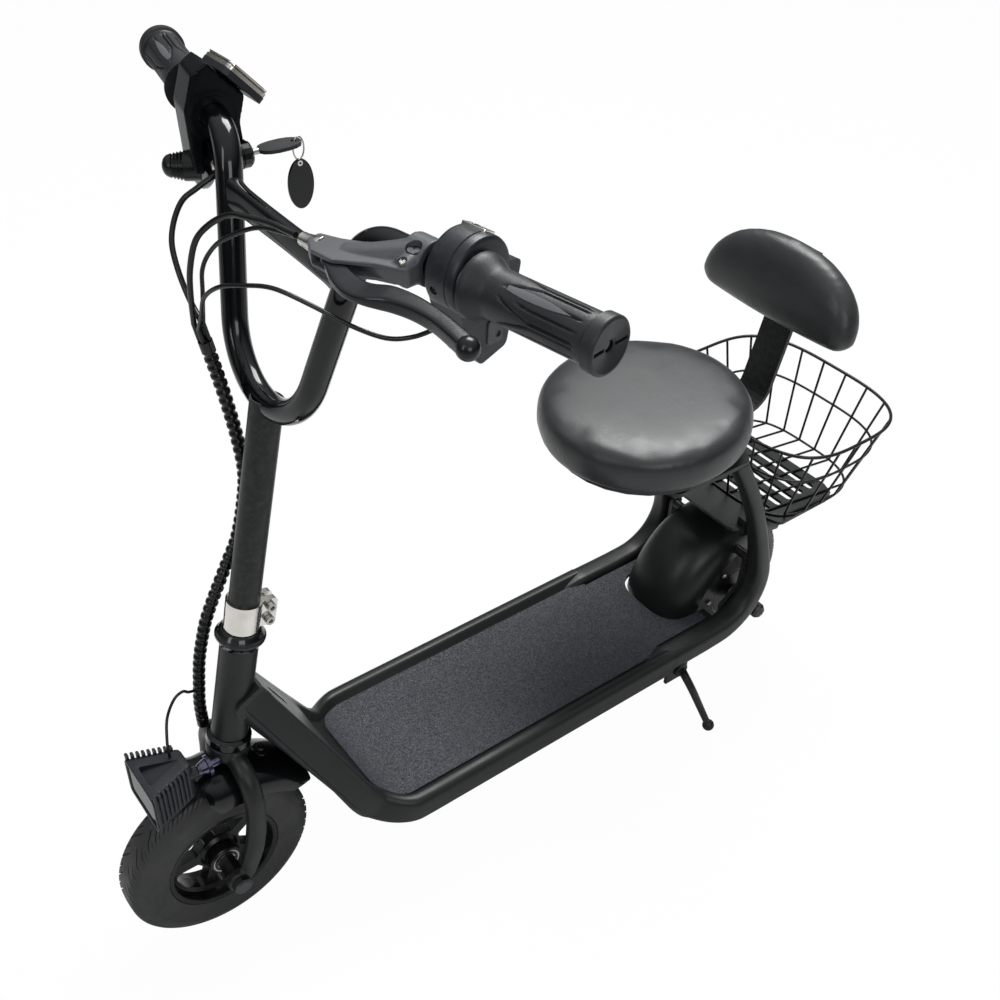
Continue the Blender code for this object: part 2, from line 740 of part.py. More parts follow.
def stem(parent):
    frame = steering_frame()
    fit = STEM_R + GAP
    collar = solid("clamp_collar", turned([(fit, BAND_S), (BAND_R, BAND_S), (BAND_R, BAND_TOP_S),
                                           (fit, BAND_TOP_S)], frame, 16), CHROME, parent)
    middle = (BAND_S + BAND_TOP_S) / 2
    ear_reach = 0.0270
    for y in (-1, 1):
        ear = frame_at(on_steering(middle, -(BAND_R + ear_reach) / 2 + 0.0015, y * 0.0055), ACROSS, STEER_FWD)
        outline = rounded_box(ear_reach - BAND_R + 0.009, BAND_TOP_S - BAND_S - 0.0012, 0.004, 2)
        add(collar, prism(outline, -0.0030, 0.0030, ear))
    slit = frame_at(on_steering(middle, -0.021, 0), STEER_DIR, STEER_FWD)
    cut(collar, block((0.020, 0.0035, 0.05), slit))
    cut(collar, rod(fit, BAND_S - 0.01, BAND_TOP_S + 0.01, frame, 16))
    for name, s in (("clamp_bolt_a", middle - 0.0075), ("clamp_bolt_b", middle + 0.0075)):
        axis = frame_at(on_steering(s, -0.0222, 0), ACROSS, STEER_FWD)
        cut(collar, rod(0.0026 + GAP, -0.02, 0.02, axis, 8))
        ear_out = 0.0085
        bolt = [(0.0, -ear_out - 0.0035), (0.0026, -ear_out - 0.0035), (0.0026, ear_out + GAP),
                (0.0046, ear_out + GAP), (0.0046, ear_out + 0.0050), (0.0024, ear_out + 0.0050),
                (0.0020, ear_out + 0.0025), (0.0, ear_out + 0.0025)]
        solid(name, spun(bolt, axis, 8), STEEL, parent)
    tube = [(STEERER_R + GAP, BAND_S), (STEM_R, BAND_S), (STEM_R, BAR_BOTTOM_S + 0.006),
            (STEERER_R + GAP, BAR_BOTTOM_S + 0.006)]
    column = solid("stem_tube", turned(tube, frame, 16), BLACK_SATIN, parent)
    cut(column, pipe(bar_path(), BAR_R + GAP, 12))


def handlebar(parent):
    solid("handlebar", pipe(bar_path(), BAR_R, 12), BLACK_GLOSS, parent)
    half = bar_arm_y(BRACE_S)
    rings = []
    steps = 7
    for i in range(steps):
        part = 2 * i / (steps - 1) - 1
        height = BRACE_HEIGHT * (0.80 + 0.20 * part * part)
        centre = on_steering(BRACE_S, 0, part * half)
        rings.append([centre + STEER_FWD * x + STEER_DIR * z
                      for x, z in oval(BRACE_THICK / 2, height / 2, 0.75, 12)])
    brace = solid("cross_brace", loft(rings), BLACK_GLOSS, parent)
    cut(brace, pipe(bar_path(), BAR_R + GAP, 12))


def grip_form(side):
    """Fluted rubber grip with an end flange, slipped over the bar's end."""
    length = grip_length() + GRIP_CAP
    frame = around_bar(side, 0)
    flare = GRIP_COLLAR_R - GRIP_R
    collar = [(GRIP_START + GRIP_COLLAR_LENGTH * part, GRIP_R + flare * rise, 0)
              for part, rise in ((0, 1), (0.16, 1), (0.42, 0.50), (0.80, 0.10))]
    stations = [*collar, (GRIP_START + GRIP_COLLAR_LENGTH, GRIP_R, 1),
                (length - 0.030, GRIP_R, 1), (length - 0.020, GRIP_R, 0),
                (length - 0.0075, GRIP_R, 0), (length - 0.0065, GRIP_FLANGE_R, 0),
                (length - 0.0015, GRIP_FLANGE_R, 0), (length, GRIP_FLANGE_R - 0.0015, 0)]
    rings = []
    count = GRIP_FLUTES * 3
    for along, radius, fluted in stations:
        ring = []
        for k in range(count):
            a = 2 * pi * k / count
            r = radius - (0.0011 if fluted and k % 3 == 0 else 0.0)
            ring.append(frame @ Vector((r * cos(a), r * sin(a), along)))
        rings.append(ring)
    return loft(rings)


def grip(name, side, parent):
    body = solid(name, grip_form(side), RUBBER, parent, bar_frame(side) @ Vector((GRIP_START, 0, 0)))
    slack = GAP if side > 0 else RUN
    cut(body, bore(BAR_R + slack, -0.1, grip_length() + GAP, around_bar(side, 0)))


def lever_points(opened):
    """Lever centreline in its own plane: root, knuckle, blade and ball, turned about the pivot."""
    shape = [(0.0080, 0.0400), (0.0200, 0.0465), (0.0340, 0.0535), (0.0490, 0.0575), (0.0620, 0.0555),
             (0.0760, 0.0500), (0.0950, 0.0475), (0.1160, 0.0490), (0.1350, 0.0535), (0.1500, 0.0580)]
    px, py = LEVER_PIVOT
    turned_points = []
    for x, y in shape:
        dx, dy = x - px, y - py
        turned_points.append((px + dx * cos(opened) - dy * sin(opened),
                              py + dx * sin(opened) + dy * cos(opened)))
    return turned_points


def brake_frame(side):
    """Frame of one brake's perch: its tilt about the bar and its place along it."""
    if side > 0:
        return bar_frame(1, LEVER_TILT_LEFT)
    return bar_frame(-1, LEVER_TILT_RIGHT) @ Matrix.Translation((PERCH_SHIFT_RIGHT, 0, 0))


def brake_controls(word, side, opened, adjuster, holder, parent):
    """Perch clamped on the bar, and the lever that turns on the perch's pin."""
    frame = brake_frame(side)
    px, py = LEVER_PIVOT
    clamp = frame_at(frame @ Vector((CLAMP_AT, 0, 0)), frame.col[0].to_3d(), frame.col[1].to_3d())
    arm = rounded_outline([(CLAMP_AT + 0.010, -0.0050, 0.0), (CLAMP_AT + 0.010, 0.0200, 0.004),
                           (CLAMP_AT - 0.012, 0.0330, 0.006), (px + 0.010, py + 0.0085, 0.004),
                           (px - 0.010, py + 0.0085, 0.005), (-0.0150, 0.0400, 0.004),
                           (-0.0150, 0.0290, 0.004), (0.0020, 0.0270, 0.006),
                           (CLAMP_AT - 0.026, 0.0235, 0.006), (CLAMP_AT - 0.010, 0.0205, 0.001),
                           (CLAMP_AT - 0.010, -0.0050, 0.0)], 1)
    perch = solid(word + "_perch", prism(arm, -PERCH_THICK / 2, PERCH_THICK / 2, frame), PLASTIC, parent)
    add(perch, rod(CLAMP_R, -0.0098, 0.0098, clamp, 16))
    cut(perch, bore(BAR_R + GAP, -0.03, 0.03, clamp))
    slot = block((0.064, 0.046, 0.0076), frame @ Matrix.Translation((px + 0.0225, py + 0.0140, 0)))
    cut(perch, slot)
    pin = frame @ Matrix.Translation((px, py, 0))
    add(perch, rod(LEVER_PIN_R, -PERCH_THICK / 2 + 0.001, PERCH_THICK / 2 - 0.001, pin, 8))
    outer = frame @ Vector((-0.0135 - adjuster, 0.0345, 0))
    barrel = frame_at(outer, frame.col[0].to_3d(), frame.col[1].to_3d())
    add(perch, rod(0.0046, 0.0, adjuster + 0.002, barrel, 10))
    points = [Vector((x, y, 0)) for x, y in lever_points(opened)]
    path = smooth(points, 11)
    last = len(path) - 1

    def section(i):
        part = i / last
        thick = 0.0068 if part < 0.24 else min(0.0110, 0.0068 + (part - 0.24) * 0.04)
        wide = 0.0115 if part < 0.45 else 0.0115 - 0.0045 * (part - 0.45) / 0.55
        return oval(wide / 2, thick / 2, 0.55, 10)

    blade = sweep(path, (0, 1, 0), section)
    pivot = frame @ Vector((px, py, 0))
    lever = solid(word + "_lever", moved(blade, frame), PLASTIC, holder, pivot)
    root = rod(0.0072, -0.0033, 0.0033, pin, 14)
    add(lever, root)
    ball_at = frame @ path[-1]
    add(lever, ball(ball_at, LEVER_BALL_R, 8))
    cut(lever, bore(LEVER_PIN_R + GAP, -0.02, 0.02, pin, 8))


def ball(centre, radius, count):
    steps = count // 2
    profile = [(radius * sin(pi * i / steps), -radius * cos(pi * i / steps)) for i in range(steps + 1)]
    profile = [(max(r, 0.0), h) for r, h in profile]
    profile[0] = (0.0, -radius)
    profile[-1] = (0.0, radius)
    return spun(profile, Matrix.Translation(Vector(centre)), count)


def left_switches(parent, horn_holder, light_holder):
    """Barrel round the bar with a block below it, a rocker on its top and a horn button on its rear."""
    frame = around_bar(1, SWITCH_AT)
    flip = -1 if frame.col[1].z < 0 else 1
    cx, cy = SWITCH_OFFSET
    barrel = [(cx + x, flip * (cy + y)) for x, y in circle(SWITCH_R, 28)]
    body = solid("left_switch_housing", prism(barrel, 0, SWITCH_LENGTH, frame), PLASTIC, parent)
    block_outline = rounded_outline([(cx + SWITCH_R - 0.0060, -0.0080, 0.004), (-0.0240, 0.0060, 0.001),
                                     (-0.0465, 0.0010, 0.004), (-0.0400, -0.0330, 0.005),
                                     (-0.0340, -SWITCH_LOW, 0.005), (-0.0080, -SWITCH_LOW - 0.006, 0.005),
                                     (0.0040, -0.0500, 0.006)], 2)
    sides = [(x, flip * y) for x, y in block_outline]
    add(body, prism(sides, 0.0015, SWITCH_LENGTH - 0.0015, frame))
    cut(body, bore(BAR_R + GAP, -0.01, SWITCH_LENGTH + 0.01, frame))
    rear = Vector((-0.0440, flip * -0.0110, SWITCH_LENGTH / 2))
    out = Vector((-0.984, flip * 0.179, 0)).normalized()
    horn = frame @ frame_at(rear, out, (0, 0, 1))
    cut(body, rod(0.0062 + GAP, -0.0050, 0.02, horn, 14))
    button = [(0.0, -0.0030), (0.0062, -0.0030), (0.0062, 0.0030), (0.0050, 0.0042), (0.0, 0.0048)]
    solid("horn_button", spun(button, horn, 14), STEEL, horn_holder, horn.translation)
    lamp = rocker_frame(frame, flip)
    cut(body, block((0.0190, 0.0090, 0.0120), lamp))
    rocker = block((0.0110, 0.0090 - 4 * GAP, 0.0060), lamp @ Matrix.Translation((-0.0025, 0, -0.0024)))
    switch = solid("light_switch", rocker, CHROME, light_holder, lamp.translation)
    add(switch, block((0.0045, 0.0050, 0.0050), lamp @ Matrix.Translation((-0.0025, 0, 0.0020))))


def switch_entry(along):
    """Point on the line where the cable goes into the switch block's inner face."""
    frame = around_bar(1, SWITCH_AT)
    flip = -1 if frame.col[1].z < 0 else 1
    return frame @ Vector((-0.0060, flip * -0.0520, along))


def rocker_frame(frame, flip):
    """Place of the lamp switch on the barrel, local Z out of it and local X along the bar."""
    out = Vector((cos(ROCKER_TURN), flip * sin(ROCKER_TURN), 0))
    middle = Vector((SWITCH_OFFSET[0], flip * SWITCH_OFFSET[1], SWITCH_LENGTH / 2))
    return frame @ frame_at(middle + out * (SWITCH_R - 0.0008), out, (0, 0, 1))


def display_frame():
    base = around_bar(-1, DISPLAY_MIDDLE).translation
    normal = Vector((-sin(DISPLAY_ANGLE), 0, cos(DISPLAY_ANGLE)))
    outward = bar_frame(-1).col[0].to_3d()
    outward = (outward - normal * outward.dot(normal)).normalized()
    down = normal.cross(outward)
    down = down * (1 if down.x < 0 else -1)
    turn = Matrix((down, outward, normal)).transposed().to_4x4()
    return Matrix.Translation(base + Vector((-0.002, 0, 0)) - down * DISPLAY_LIFT) @ turn


def right_controls(parent):
    """Throttle and display housing round the bar, with the display's slab on top."""
    frame = around_bar(-1, DISPLAY_AT)
    flip = -1 if frame.col[1].z < 0 else 1
    outline = rounded_outline([(0.0240, 0.0060, 0.008), (0.0150, 0.0350, 0.006), (0.0020, 0.0440, 0.003),
                               (-0.0267, 0.0140, 0.003), (-0.0210, -0.0080, 0.006),
                               (-0.0230, -0.0380, 0.005), (-0.0080, -0.0380, 0.003),
                               (-0.0065, -0.0185, 0.002), (0.0110, -0.0185, 0.002),
                               (0.0125, -0.0480, 0.003), (0.0215, -0.0480, 0.006)], 2)
    shaped = [(x, flip * y) for x, y in outline]
    body = solid("display_housing", prism(shaped, 0.0, DISPLAY_LENGTH, frame), PLASTIC, parent)
    cut(body, bore(BAR_R + GAP, -0.02, DISPLAY_LENGTH + 0.02, frame))
    slab = display_frame()
    under = DISPLAY_RISE
    size = DISPLAY_SIZE
    cut(body, prism(rounded_box(0.16, 0.16, 0.006), under - GAP, under + 0.08, slab))
    panel = prism(rounded_box(size[0], size[1], 0.006), under, under + size[2] - 0.0035, slab)
    display = solid("display_panel", panel, PLASTIC, parent)
    rim = prism(rounded_box(size[0] - 0.003, size[1] - 0.003, 0.005), under + size[2] - 0.0045,
                under + size[2], slab)
    add(display, rim)
    cut(display, prism(rounded_box(size[0] - 0.012, size[1] - 0.012, 0.003), under + size[2] - 0.0010,
                       under + size[2] + 0.01, slab))


def lock_and_key(parent, key_holder, tag_holder):
    """Key lock barrel along X beside the housing, with its key and a hanging tag."""
    axis = frame_at((LOCK_FACE_X, LOCK_Y, LOCK_Z), (-1, 0, 0), (0, 0, 1))
    deep = LOCK_FACE_X - LOCK_FRONT_X
    barrel = [(0.0, deep), (LOCK_R - 0.001, deep), (LOCK_R - 0.001, -0.008), (LOCK_R, -0.008),
              (LOCK_R, -0.0015), (LOCK_R - 0.0015, 0.0), (0.0, 0.0)]
    lock = solid("key_lock", spun(barrel, axis, 16), CHROME, parent)
    base = around_bar(-1, DISPLAY_AT)
    reach = LOCK_R + 0.0060
    foot = block((0.0130, 0.0130, reach), base @ Matrix.Translation((-0.0155, 0, -GAP - reach / 2)))
    down = LOCK_Z - base.translation.z
    add(lock, moved(foot, Matrix.Translation((0, 0, down))))
    cut(lock, rod(0.0046, -0.010, 0.01, axis, 12))
    shank = [(0.0, -0.0085), (0.0040, -0.0085), (0.0040, -0.0005), (0.0016, 0.0),
             (0.0016, KEY_SHANK + 0.002), (0.0, KEY_SHANK + 0.002)]
    key = solid("key", spun(shank, axis, 10), STEEL, key_holder, axis.translation)
    long, wide, thick = KEY_HEAD
    head_mid = Matrix.Translation((LOCK_FACE_X - KEY_SHANK - long / 2, LOCK_Y, LOCK_Z))
    add(key, prism(oval(long / 2, wide / 2, 0.85, 16), -thick / 2, thick / 2, head_mid))
    head_end = LOCK_FACE_X - KEY_SHANK - long
    hole_x = head_end + 0.0065
    cut(key, rod(0.0026, -0.01, 0.01, Matrix.Translation((hole_x, LOCK_Y, LOCK_Z)), 12))
    ring_wide, ring_tall, wire = 0.0052, 0.0100, 0.0007
    ring_lift = 0.0060
    crossing = ring_wide * sqrt(1 - (ring_lift / ring_tall) ** 2)
    ring_mid = Vector((hole_x - crossing, LOCK_Y, LOCK_Z - ring_lift))
    loops = []
    for i in range(14):
        a = 2 * pi * i / 14
        centre = ring_mid + Vector((ring_wide * cos(a), 0, ring_tall * sin(a)))
        across = Vector((cos(a) * ring_tall, 0, sin(a) * ring_wide)).normalized()
        loops.append([centre + across * (wire * cos(b)) + ACROSS * (wire * sin(b))
                      for b in (2 * pi * k / 5 for k in range(5))])
    hinge = Vector((ring_mid.x, LOCK_Y, LOCK_Z + thick / 2))
    tag = solid("key_tag", loft(loops, closed=True), BLACK_GLOSS, tag_holder, hinge)
    width, height, thick = TAG_SIZE
    tag_mid = frame_at((ring_mid.x, LOCK_Y, ring_mid.z - ring_tall - height / 2 + 0.0006), ACROSS, (1, 0, 0))
    add(tag, prism(oval(width / 2, height / 2, 1.0, 16), -thick / 2, thick / 2, tag_mid))


# Front fender and lamp
def shell_ring(centre, angle, crown, edge, half, wall, power, count=7):
    """Closed section of a fender at one angle round its axle: outer skin, then inner skin."""
    out = Vector((cos(angle), 0, sin(angle)))
    ring = []
    for skin, order in ((0.0, 1), (wall, -1)):
        for k in range(count):
            a = order * (-pi / 2 + pi * k / (count - 1))
            lift = max(cos(a), 0.0) ** power
            y = (half - skin) * sin(a)
            r = edge + (crown - skin - edge) * lift
            ring.append(centre + out * r + ACROSS * y)
    return ring


def fender_form(centre, start, end, steps, crown, edge, half, wall, power):
    rings = []
    for i in range(steps + 1):
        part = i / steps
        angle = start + (end - start) * part
        rings.append(shell_ring(centre, angle, crown(part), edge(part), half(part), wall, power))
    return loft(rings)


def front_fender(parent):
    def edge(part):
        front = FENDER_EDGE_R + 0.022 * max(0.0, 1 - part / 0.12) ** 2
        return front + 0.016 * part + 0.016 * max(0.0, (part - 0.90) / 0.10) ** 2

    form = fender_form(FRONT_AXLE, FENDER_FROM, FENDER_TO, 8, lambda p: FENDER_R, edge,
                       lambda p: FENDER_HALF, FENDER_WALL, 0.80)
    fender = solid("front_fender", form, BLACK_GLOSS, parent)
    add(fender, rod(0.0090, FENDER_R - 0.0015, YOKE_S - BLADE_R - 2 * GAP, steering_frame(), 12))
    out = Vector((cos(FENDER_SCREW_AT), 0, sin(FENDER_SCREW_AT)))
    axis = frame_at(FRONT_AXLE + out * FENDER_R, out, ACROSS)
    add(fender, rod(0.0085, -0.0015, 0.0016, axis, 16))
    cut(fender, rod(0.0022 + GAP, -0.02, 0.02, axis, 12))
    screw = [(0.0, -0.0080), (0.0022, -0.0080), (0.0022, 0.0016 + GAP), (0.0046, 0.0016 + GAP),
             (0.0040, 0.0040), (0.0, 0.0046)]
    solid("fender_screw", spun(screw, axis, 12), DARK_STEEL, parent)


def headlight(parent):
    """Funnel-shaped lamp with ribbed sides and an open mouth that the lens closes."""
    def ring(part, shrink):
        x = LAMP_REAR[0] + (LAMP_FRONT[0] - LAMP_REAR[0]) * part
        z = LAMP_REAR[1] + (LAMP_FRONT[1] - LAMP_REAR[1]) * part
        width = LAMP_REAR_SIZE[0] + (LAMP_FRONT_SIZE[0] - LAMP_REAR_SIZE[0]) * part - 2 * shrink
        height = LAMP_REAR_SIZE[1] + (LAMP_FRONT_SIZE[1] - LAMP_REAR_SIZE[1]) * part - 2 * shrink
        return [Vector((x, y, z + h)) for y, h in rounded_box(width, height, 0.0065 - shrink * 0.8)]

    body = solid("headlight_housing", loft([ring(0, 0.002), ring(0.06, 0), ring(0.94, 0), ring(1, 0.001)]),
                 PLASTIC, parent)
    ribs = []
    for i in range(LAMP_RIBS):
        part = 0.22 + 0.66 * i / (LAMP_RIBS - 1)
        x = LAMP_REAR[0] + (LAMP_FRONT[0] - LAMP_REAR[0]) * part
        half = (LAMP_REAR_SIZE[0] + (LAMP_FRONT_SIZE[0] - LAMP_REAR_SIZE[0]) * part) / 2
        for side in (-1, 1):
            ribs.append(block((0.0034, 0.0052, 0.0260),
                              Matrix.Translation((x, side * (half + 0.0002), LAMP_REAR[1] + 0.004))))
    add(body, merged(*ribs))
    cut(body, loft([ring(0.45, LAMP_WALL), ring(1.1, LAMP_WALL)]))
    wedge_at = Matrix.Translation((0.0455, 0, LAMP_FRONT[1] + 0.0268)) @ Matrix.Rotation(radians(-3), 4, "Y")
    cut(body, prism([(-0.0170, 0.0), (0.0090, -0.0075), (0.0090, 0.0075)], -0.0045, 0.01, wedge_at))
    lens_ring = [ring(part, LAMP_WALL + GAP) for part in (0.975 - LAMP_LENS_DEPTH / 0.048, 0.975)]
    solid("headlight_lens", loft(lens_ring), LENS, parent)
    seat = frame_at((0, 0, 0), (1, 0, 0), ACROSS)
    add(body, rod(0.0055, 0.010, LAMP_REAR[0] + 0.006,
                  Matrix.Translation((0, LAMP_BOLT_Y, LAMP_BOLT_Z)) @ seat, 14))
    crown = on_steering((YOKE_S + LOWER_CUP_S) / 2, CROWN_R)
    mount = [(0.0, crown.x - 0.0045), (0.0050, crown.x - 0.0045), (0.0050, crown.x + 0.0045),
             (0.0105, crown.x + 0.0050), (0.0105, crown.x + 0.0085), (0.0080, crown.x + 0.0090),
             (0.0062, crown.x + 0.0150), (0.0040, 0.0097), (0.0, 0.0097)]
    bolt = solid("headlight_mount", spun(mount, Matrix.Translation((0, LAMP_BOLT_Y, LAMP_BOLT_Z)) @ seat, 18),
                 CHROME, parent)
    cut(bolt, rod(CROWN_R + GAP, 0.12, 0.17, steering_frame(), 32))


# Deck
def neck_line():
    """Side profile of the deck's upper edge: down the neck, round its foot and back."""
    ax, az = NECK_TOP
    bx, bz = NECK_FOOT
    slope = (bz - az) / (bx - ax)
    foot_x = bx + (DECK_TOP_Z - bz) / slope
    corners = [(ax, 0, az), (foot_x, 0, DECK_TOP_Z), (PAN_END_X, 0, DECK_TOP_Z)]
    return flow(corners, (NECK_FILLET,), radians(14))


def deck_stations():
    """Points along the upper edge with their share of the neck's widening."""
    bend = neck_line()
    top, first = bend[0], bend[1]
    points = [top.lerp(first, k / 5) for k in range(5)]
    points += bend[1:-1]
    last_bend = bend[-2]
    points += [Vector((x, 0, DECK_TOP_Z)) for x in (last_bend.x - 0.02, -0.40, PAN_END_X)]
    return points


def half_width(point):
    """Half width of the deck: narrow at the head tube, full from the neck's foot on."""
    drop = (NECK_TOP[1] - point.z) / (NECK_TOP[1] - DECK_TOP_Z)
    back = max(0.0, min(1.0, (NECK_FOOT[0] - 0.005 - point.x) / 0.035))
    width = NECK_HALF + (0.0800 - NECK_HALF) * max(drop, 0.0) ** 1.06
    return width + (DECK_HALF - 0.0800) * sin(back * pi / 2)


def pan_section(half, drop):
    """Pressed pan: floor between two rolled edges, drawn as one closed outline."""
    edge = min(RIM_WIDTH, half * 0.42)
    floor = min(FLOOR_DROP, drop)
    low = -RIM_DEPTH
    side = [(half - edge, -floor), (half - edge * 0.86, -floor * 0.45), (half - edge * 0.66, 0.0),
            (half - edge * 0.30, 0.0), (half - edge * 0.09, -0.0035), (half, -0.0100), (half, low)]
    back = [(half - PAN_WALL, low), (half - PAN_WALL, -0.0105),
            (half - edge * 0.34, -PAN_WALL), (half - edge * 0.62, -PAN_WALL),
            (half - edge * 0.90, -floor - PAN_WALL)]
    right = side + back
    left = [(-y, n) for y, n in reversed(right)]
    return right + left


def along_deck(points, section):
    rings = []
    for i, point in enumerate(points):
        normal = deck_normal(points, i)
        rings.append([point + ACROSS * y + normal * n for y, n in section(i, point)])
    return loft(rings)


def deck_normal(points, i):
    ahead = points[min(i + 1, len(points) - 1)] - points[max(i - 1, 0)]
    normal = Vector((ahead.z, 0, -ahead.x)).normalized()
    return normal * (1 if normal.z > 0 else -1)


def floor_drop(point):
    """Depth of the floor below the rolled edges: nearly flush on the neck."""
    return NECK_FLOOR + (FLOOR_DROP - NECK_FLOOR) * min(1.0, max(0.0, (TYRE_R + 0.10 - point.z) / 0.07))


def rear_fender_hole(margin):
    """Column through the pan where the rear fender stands."""
    reach = sqrt((REAR_FENDER_R + margin) ** 2 - (DECK_TOP_Z - FLOOR_DROP - TYRE_R) ** 2)
    front = -WHEELBASE + reach
    half = REAR_FENDER_CUT_HALF
    return rounded_outline([(front, half, 0.030), (front, -half, 0.030), (-WHEELBASE - 0.08, -half, 0.0),
                            (-WHEELBASE - 0.08, half, 0.0)], 5)


def mat_form(points):
    """Grip mat laid on the pan's floor, between the same stations, with rounded front corners."""
    start = next(i for i, p in enumerate(points) if p.x < MAT_FRONT_X)
    places = [(start, 0.0, 0.0130), (start, 0.25, 0.0040), (start, 0.60, 0.0)]
    places += [(i, 0.0, 0.0) for i in range(start + 1, len(points) - 1)]
    last = len(points) - 2
    places.append((last, (points[last].x - MAT_REAR_X) / (points[last].x - points[last + 1].x), 0.0))
    rings = []
    for i, part, narrow in places:
        ring = []
        for row in (0.0, MAT_THICK):
            ends = []
            for k in (i, min(i + 1, len(points) - 1)):
                half = min(MAT_HALF, half_width(points[k]) - RIM_WIDTH - 0.0005)
                lift = deck_normal(points, k) * (GAP + row - floor_drop(points[k]))
                ends.append((points[k] + lift, half))
            place = ends[0][0].lerp(ends[1][0], part)
            half = ends[0][1] + (ends[1][1] - ends[0][1]) * part - narrow
            order = (-1, 1) if row == 0.0 else (1, -1)
            ring += [place + ACROSS * side * half for side in order]
        rings.append(ring)
    return loft(rings)


def deck(parent):
    points = deck_stations()
    shell = solid("deck_shell", along_deck(points, lambda i, p: pan_section(half_width(p), floor_drop(p))),
                  BLACK_SATIN, parent)
    head = steering_frame()
    cut(shell, rod(HEAD_R + GAP, 0.10, 0.45, head, 28))
    slope = Vector((NECK_TOP[0] - NECK_FOOT[0], 0, NECK_TOP[1] - NECK_FOOT[1])).normalized()
    normal = Vector((-slope.z, 0, slope.x))
    slot = frame_at((SLOT_AT[0], 0, SLOT_AT[1]), normal, slope)
    cut(shell, prism(rounded_box(SLOT_LENGTH, SLOT_WIDTH, SLOT_WIDTH / 2 - 0.0002), -0.02, 0.02, slot))
    cut(shell, prism(rear_fender_hole(GAP * 4), DECK_TOP_Z - 0.08, DECK_TOP_Z + 0.07))
    leg_in = LEG_Y - LEG_WIDTH / 2 - GAP
    sides = []
    for side in (-1, 1):
        centre = (RIM_END_X - 0.06, side * (leg_in + 0.03), DECK_TOP_Z - 0.02)
        sides.append(block((0.12, 0.06, 0.08), Matrix.Translation(centre)))
    cut(shell, merged(*sides))

    mat = solid("deck_mat", mat_form(points), GRIT, parent)
    cut(mat, prism(rear_fender_hole(GAP * 4 + 0.001), DECK_TOP_Z - 0.08, DECK_TOP_Z + 0.07))
    mat_side = LEG_Y - LEG_WIDTH / 2 - 0.002
    trims = []
    for side in (-1, 1):
        trims.append(block((0.12, 0.06, 0.08),
                           Matrix.Translation((RIM_END_X - 0.058, side * (mat_side + 0.03), DECK_TOP_Z - 0.02))))
    cut(mat, merged(*trims))


def tub_section(half, depth, flat):
    """Open channel under the pan: flange, sloping sides and a flat floor."""
    top = -RIM_DEPTH - GAP
    wall = TUB_WALL
    flat = min(flat, half * 0.62)
    lip = min(0.0040, depth * 0.4)
    turn = min(0.0075, depth * 0.7)
    outer = [(half, top), (half, top - lip), (half - 0.0035, top - turn), (flat, top - depth),
             (-flat, top - depth), (-half + 0.0035, top - turn), (-half, top - lip), (-half, top)]
    inner = [(-half + wall, top), (-half + wall, top - lip * 0.8), (-half + 0.0035 + wall, top - turn * 0.75),
             (-flat, top - depth + wall), (flat, top - depth + wall),
             (half - 0.0035 - wall, top - turn * 0.75), (half - wall, top - lip * 0.8), (half - wall, top)]
    return outer + inner


def tub(parent):
    points = deck_stations()
    points = [p for p in points if p.x > TUB_TAIL_X]
    points += [Vector((x, 0, DECK_TOP_Z)) for x in (TUB_TAIL_X, TUB_TAIL_X - 0.015, TUB_END_X)]

    def section(i, point):
        half = half_width(point) - 0.0015
        deep = min(1.0, max(0.0, (NECK_FOOT[0] + 0.02 - point.x) / 0.07))
        tail = min(1.0, max(0.0, (point.x - TUB_END_X) / (TUB_TAIL_X - TUB_END_X)))
        high = min(1.0, max(0.0, (point.z - TYRE_R - 0.08) / 0.10))
        shallow = NECK_FOOT_DEPTH + (NECK_DEPTH - NECK_FOOT_DEPTH) * high - RIM_DEPTH
        depth = shallow + (TUB_DEPTH - RIM_DEPTH + 0.008 - shallow) * deep
        depth = 0.0060 + (depth - 0.0060) * sqrt(tail)
        return tub_section(half, depth, TUB_FLAT_HALF)

    cover = solid("bottom_cover", along_deck(points, section), PLASTIC, parent)
    cut(cover, rod(HEAD_R + GAP, 0.10, 0.45, steering_frame(), 28))
    cut(cover, rod(LOWER_CUP_R + 0.0010, LOWER_CUP_S - 0.02, HEAD_S + 2 * GAP, steering_frame(), 22))
    floor_z = DECK_TOP_Z - RIM_DEPTH - GAP - (TUB_DEPTH - RIM_DEPTH + 0.008) + TUB_WALL
    length, width, height = BATTERY_SIZE
    centre = (BATTERY_X, 0, floor_z + GAP + height / 2)
    solid("battery_pack", block((length, width, height), Matrix.Translation(centre), 0.005), PLASTIC, parent)


# Rear end
def leg_place(index):
    """Place of one point of the leg's route, which is set out from the rear axle."""
    x, z = LEG_ROUTE[index]
    return Vector((x - WHEELBASE, 0, z + TYRE_R))


def leg_route():
    return smooth([leg_place(i) for i in range(len(LEG_ROUTE))], 15)


def rear_leg(name, side, parent):
    path = [Vector((p.x, side * LEG_Y, p.z)) for p in leg_route()]
    last = len(path) - 1

    def section(i):
        part = min(1.0, max(0.0, (i / last - 0.22) / 0.50))
        wide = LEG_WIDTH + (LEG_TOP_WIDTH - LEG_WIDTH) * part
        deep = LEG_DEPTH + (LEG_TOP_DEPTH - LEG_DEPTH) * part
        return oval(deep / 2, wide / 2, 0.60, 10)

    leg = solid(name, sweep(path, (0, 0, 1), section), BLACK_SATIN, parent)
    cut(leg, block((0.2, 0.2, 0.1), Matrix.Translation((leg_place(-1).x, side * LEG_Y, LEG_TOP_Z + 0.05))))


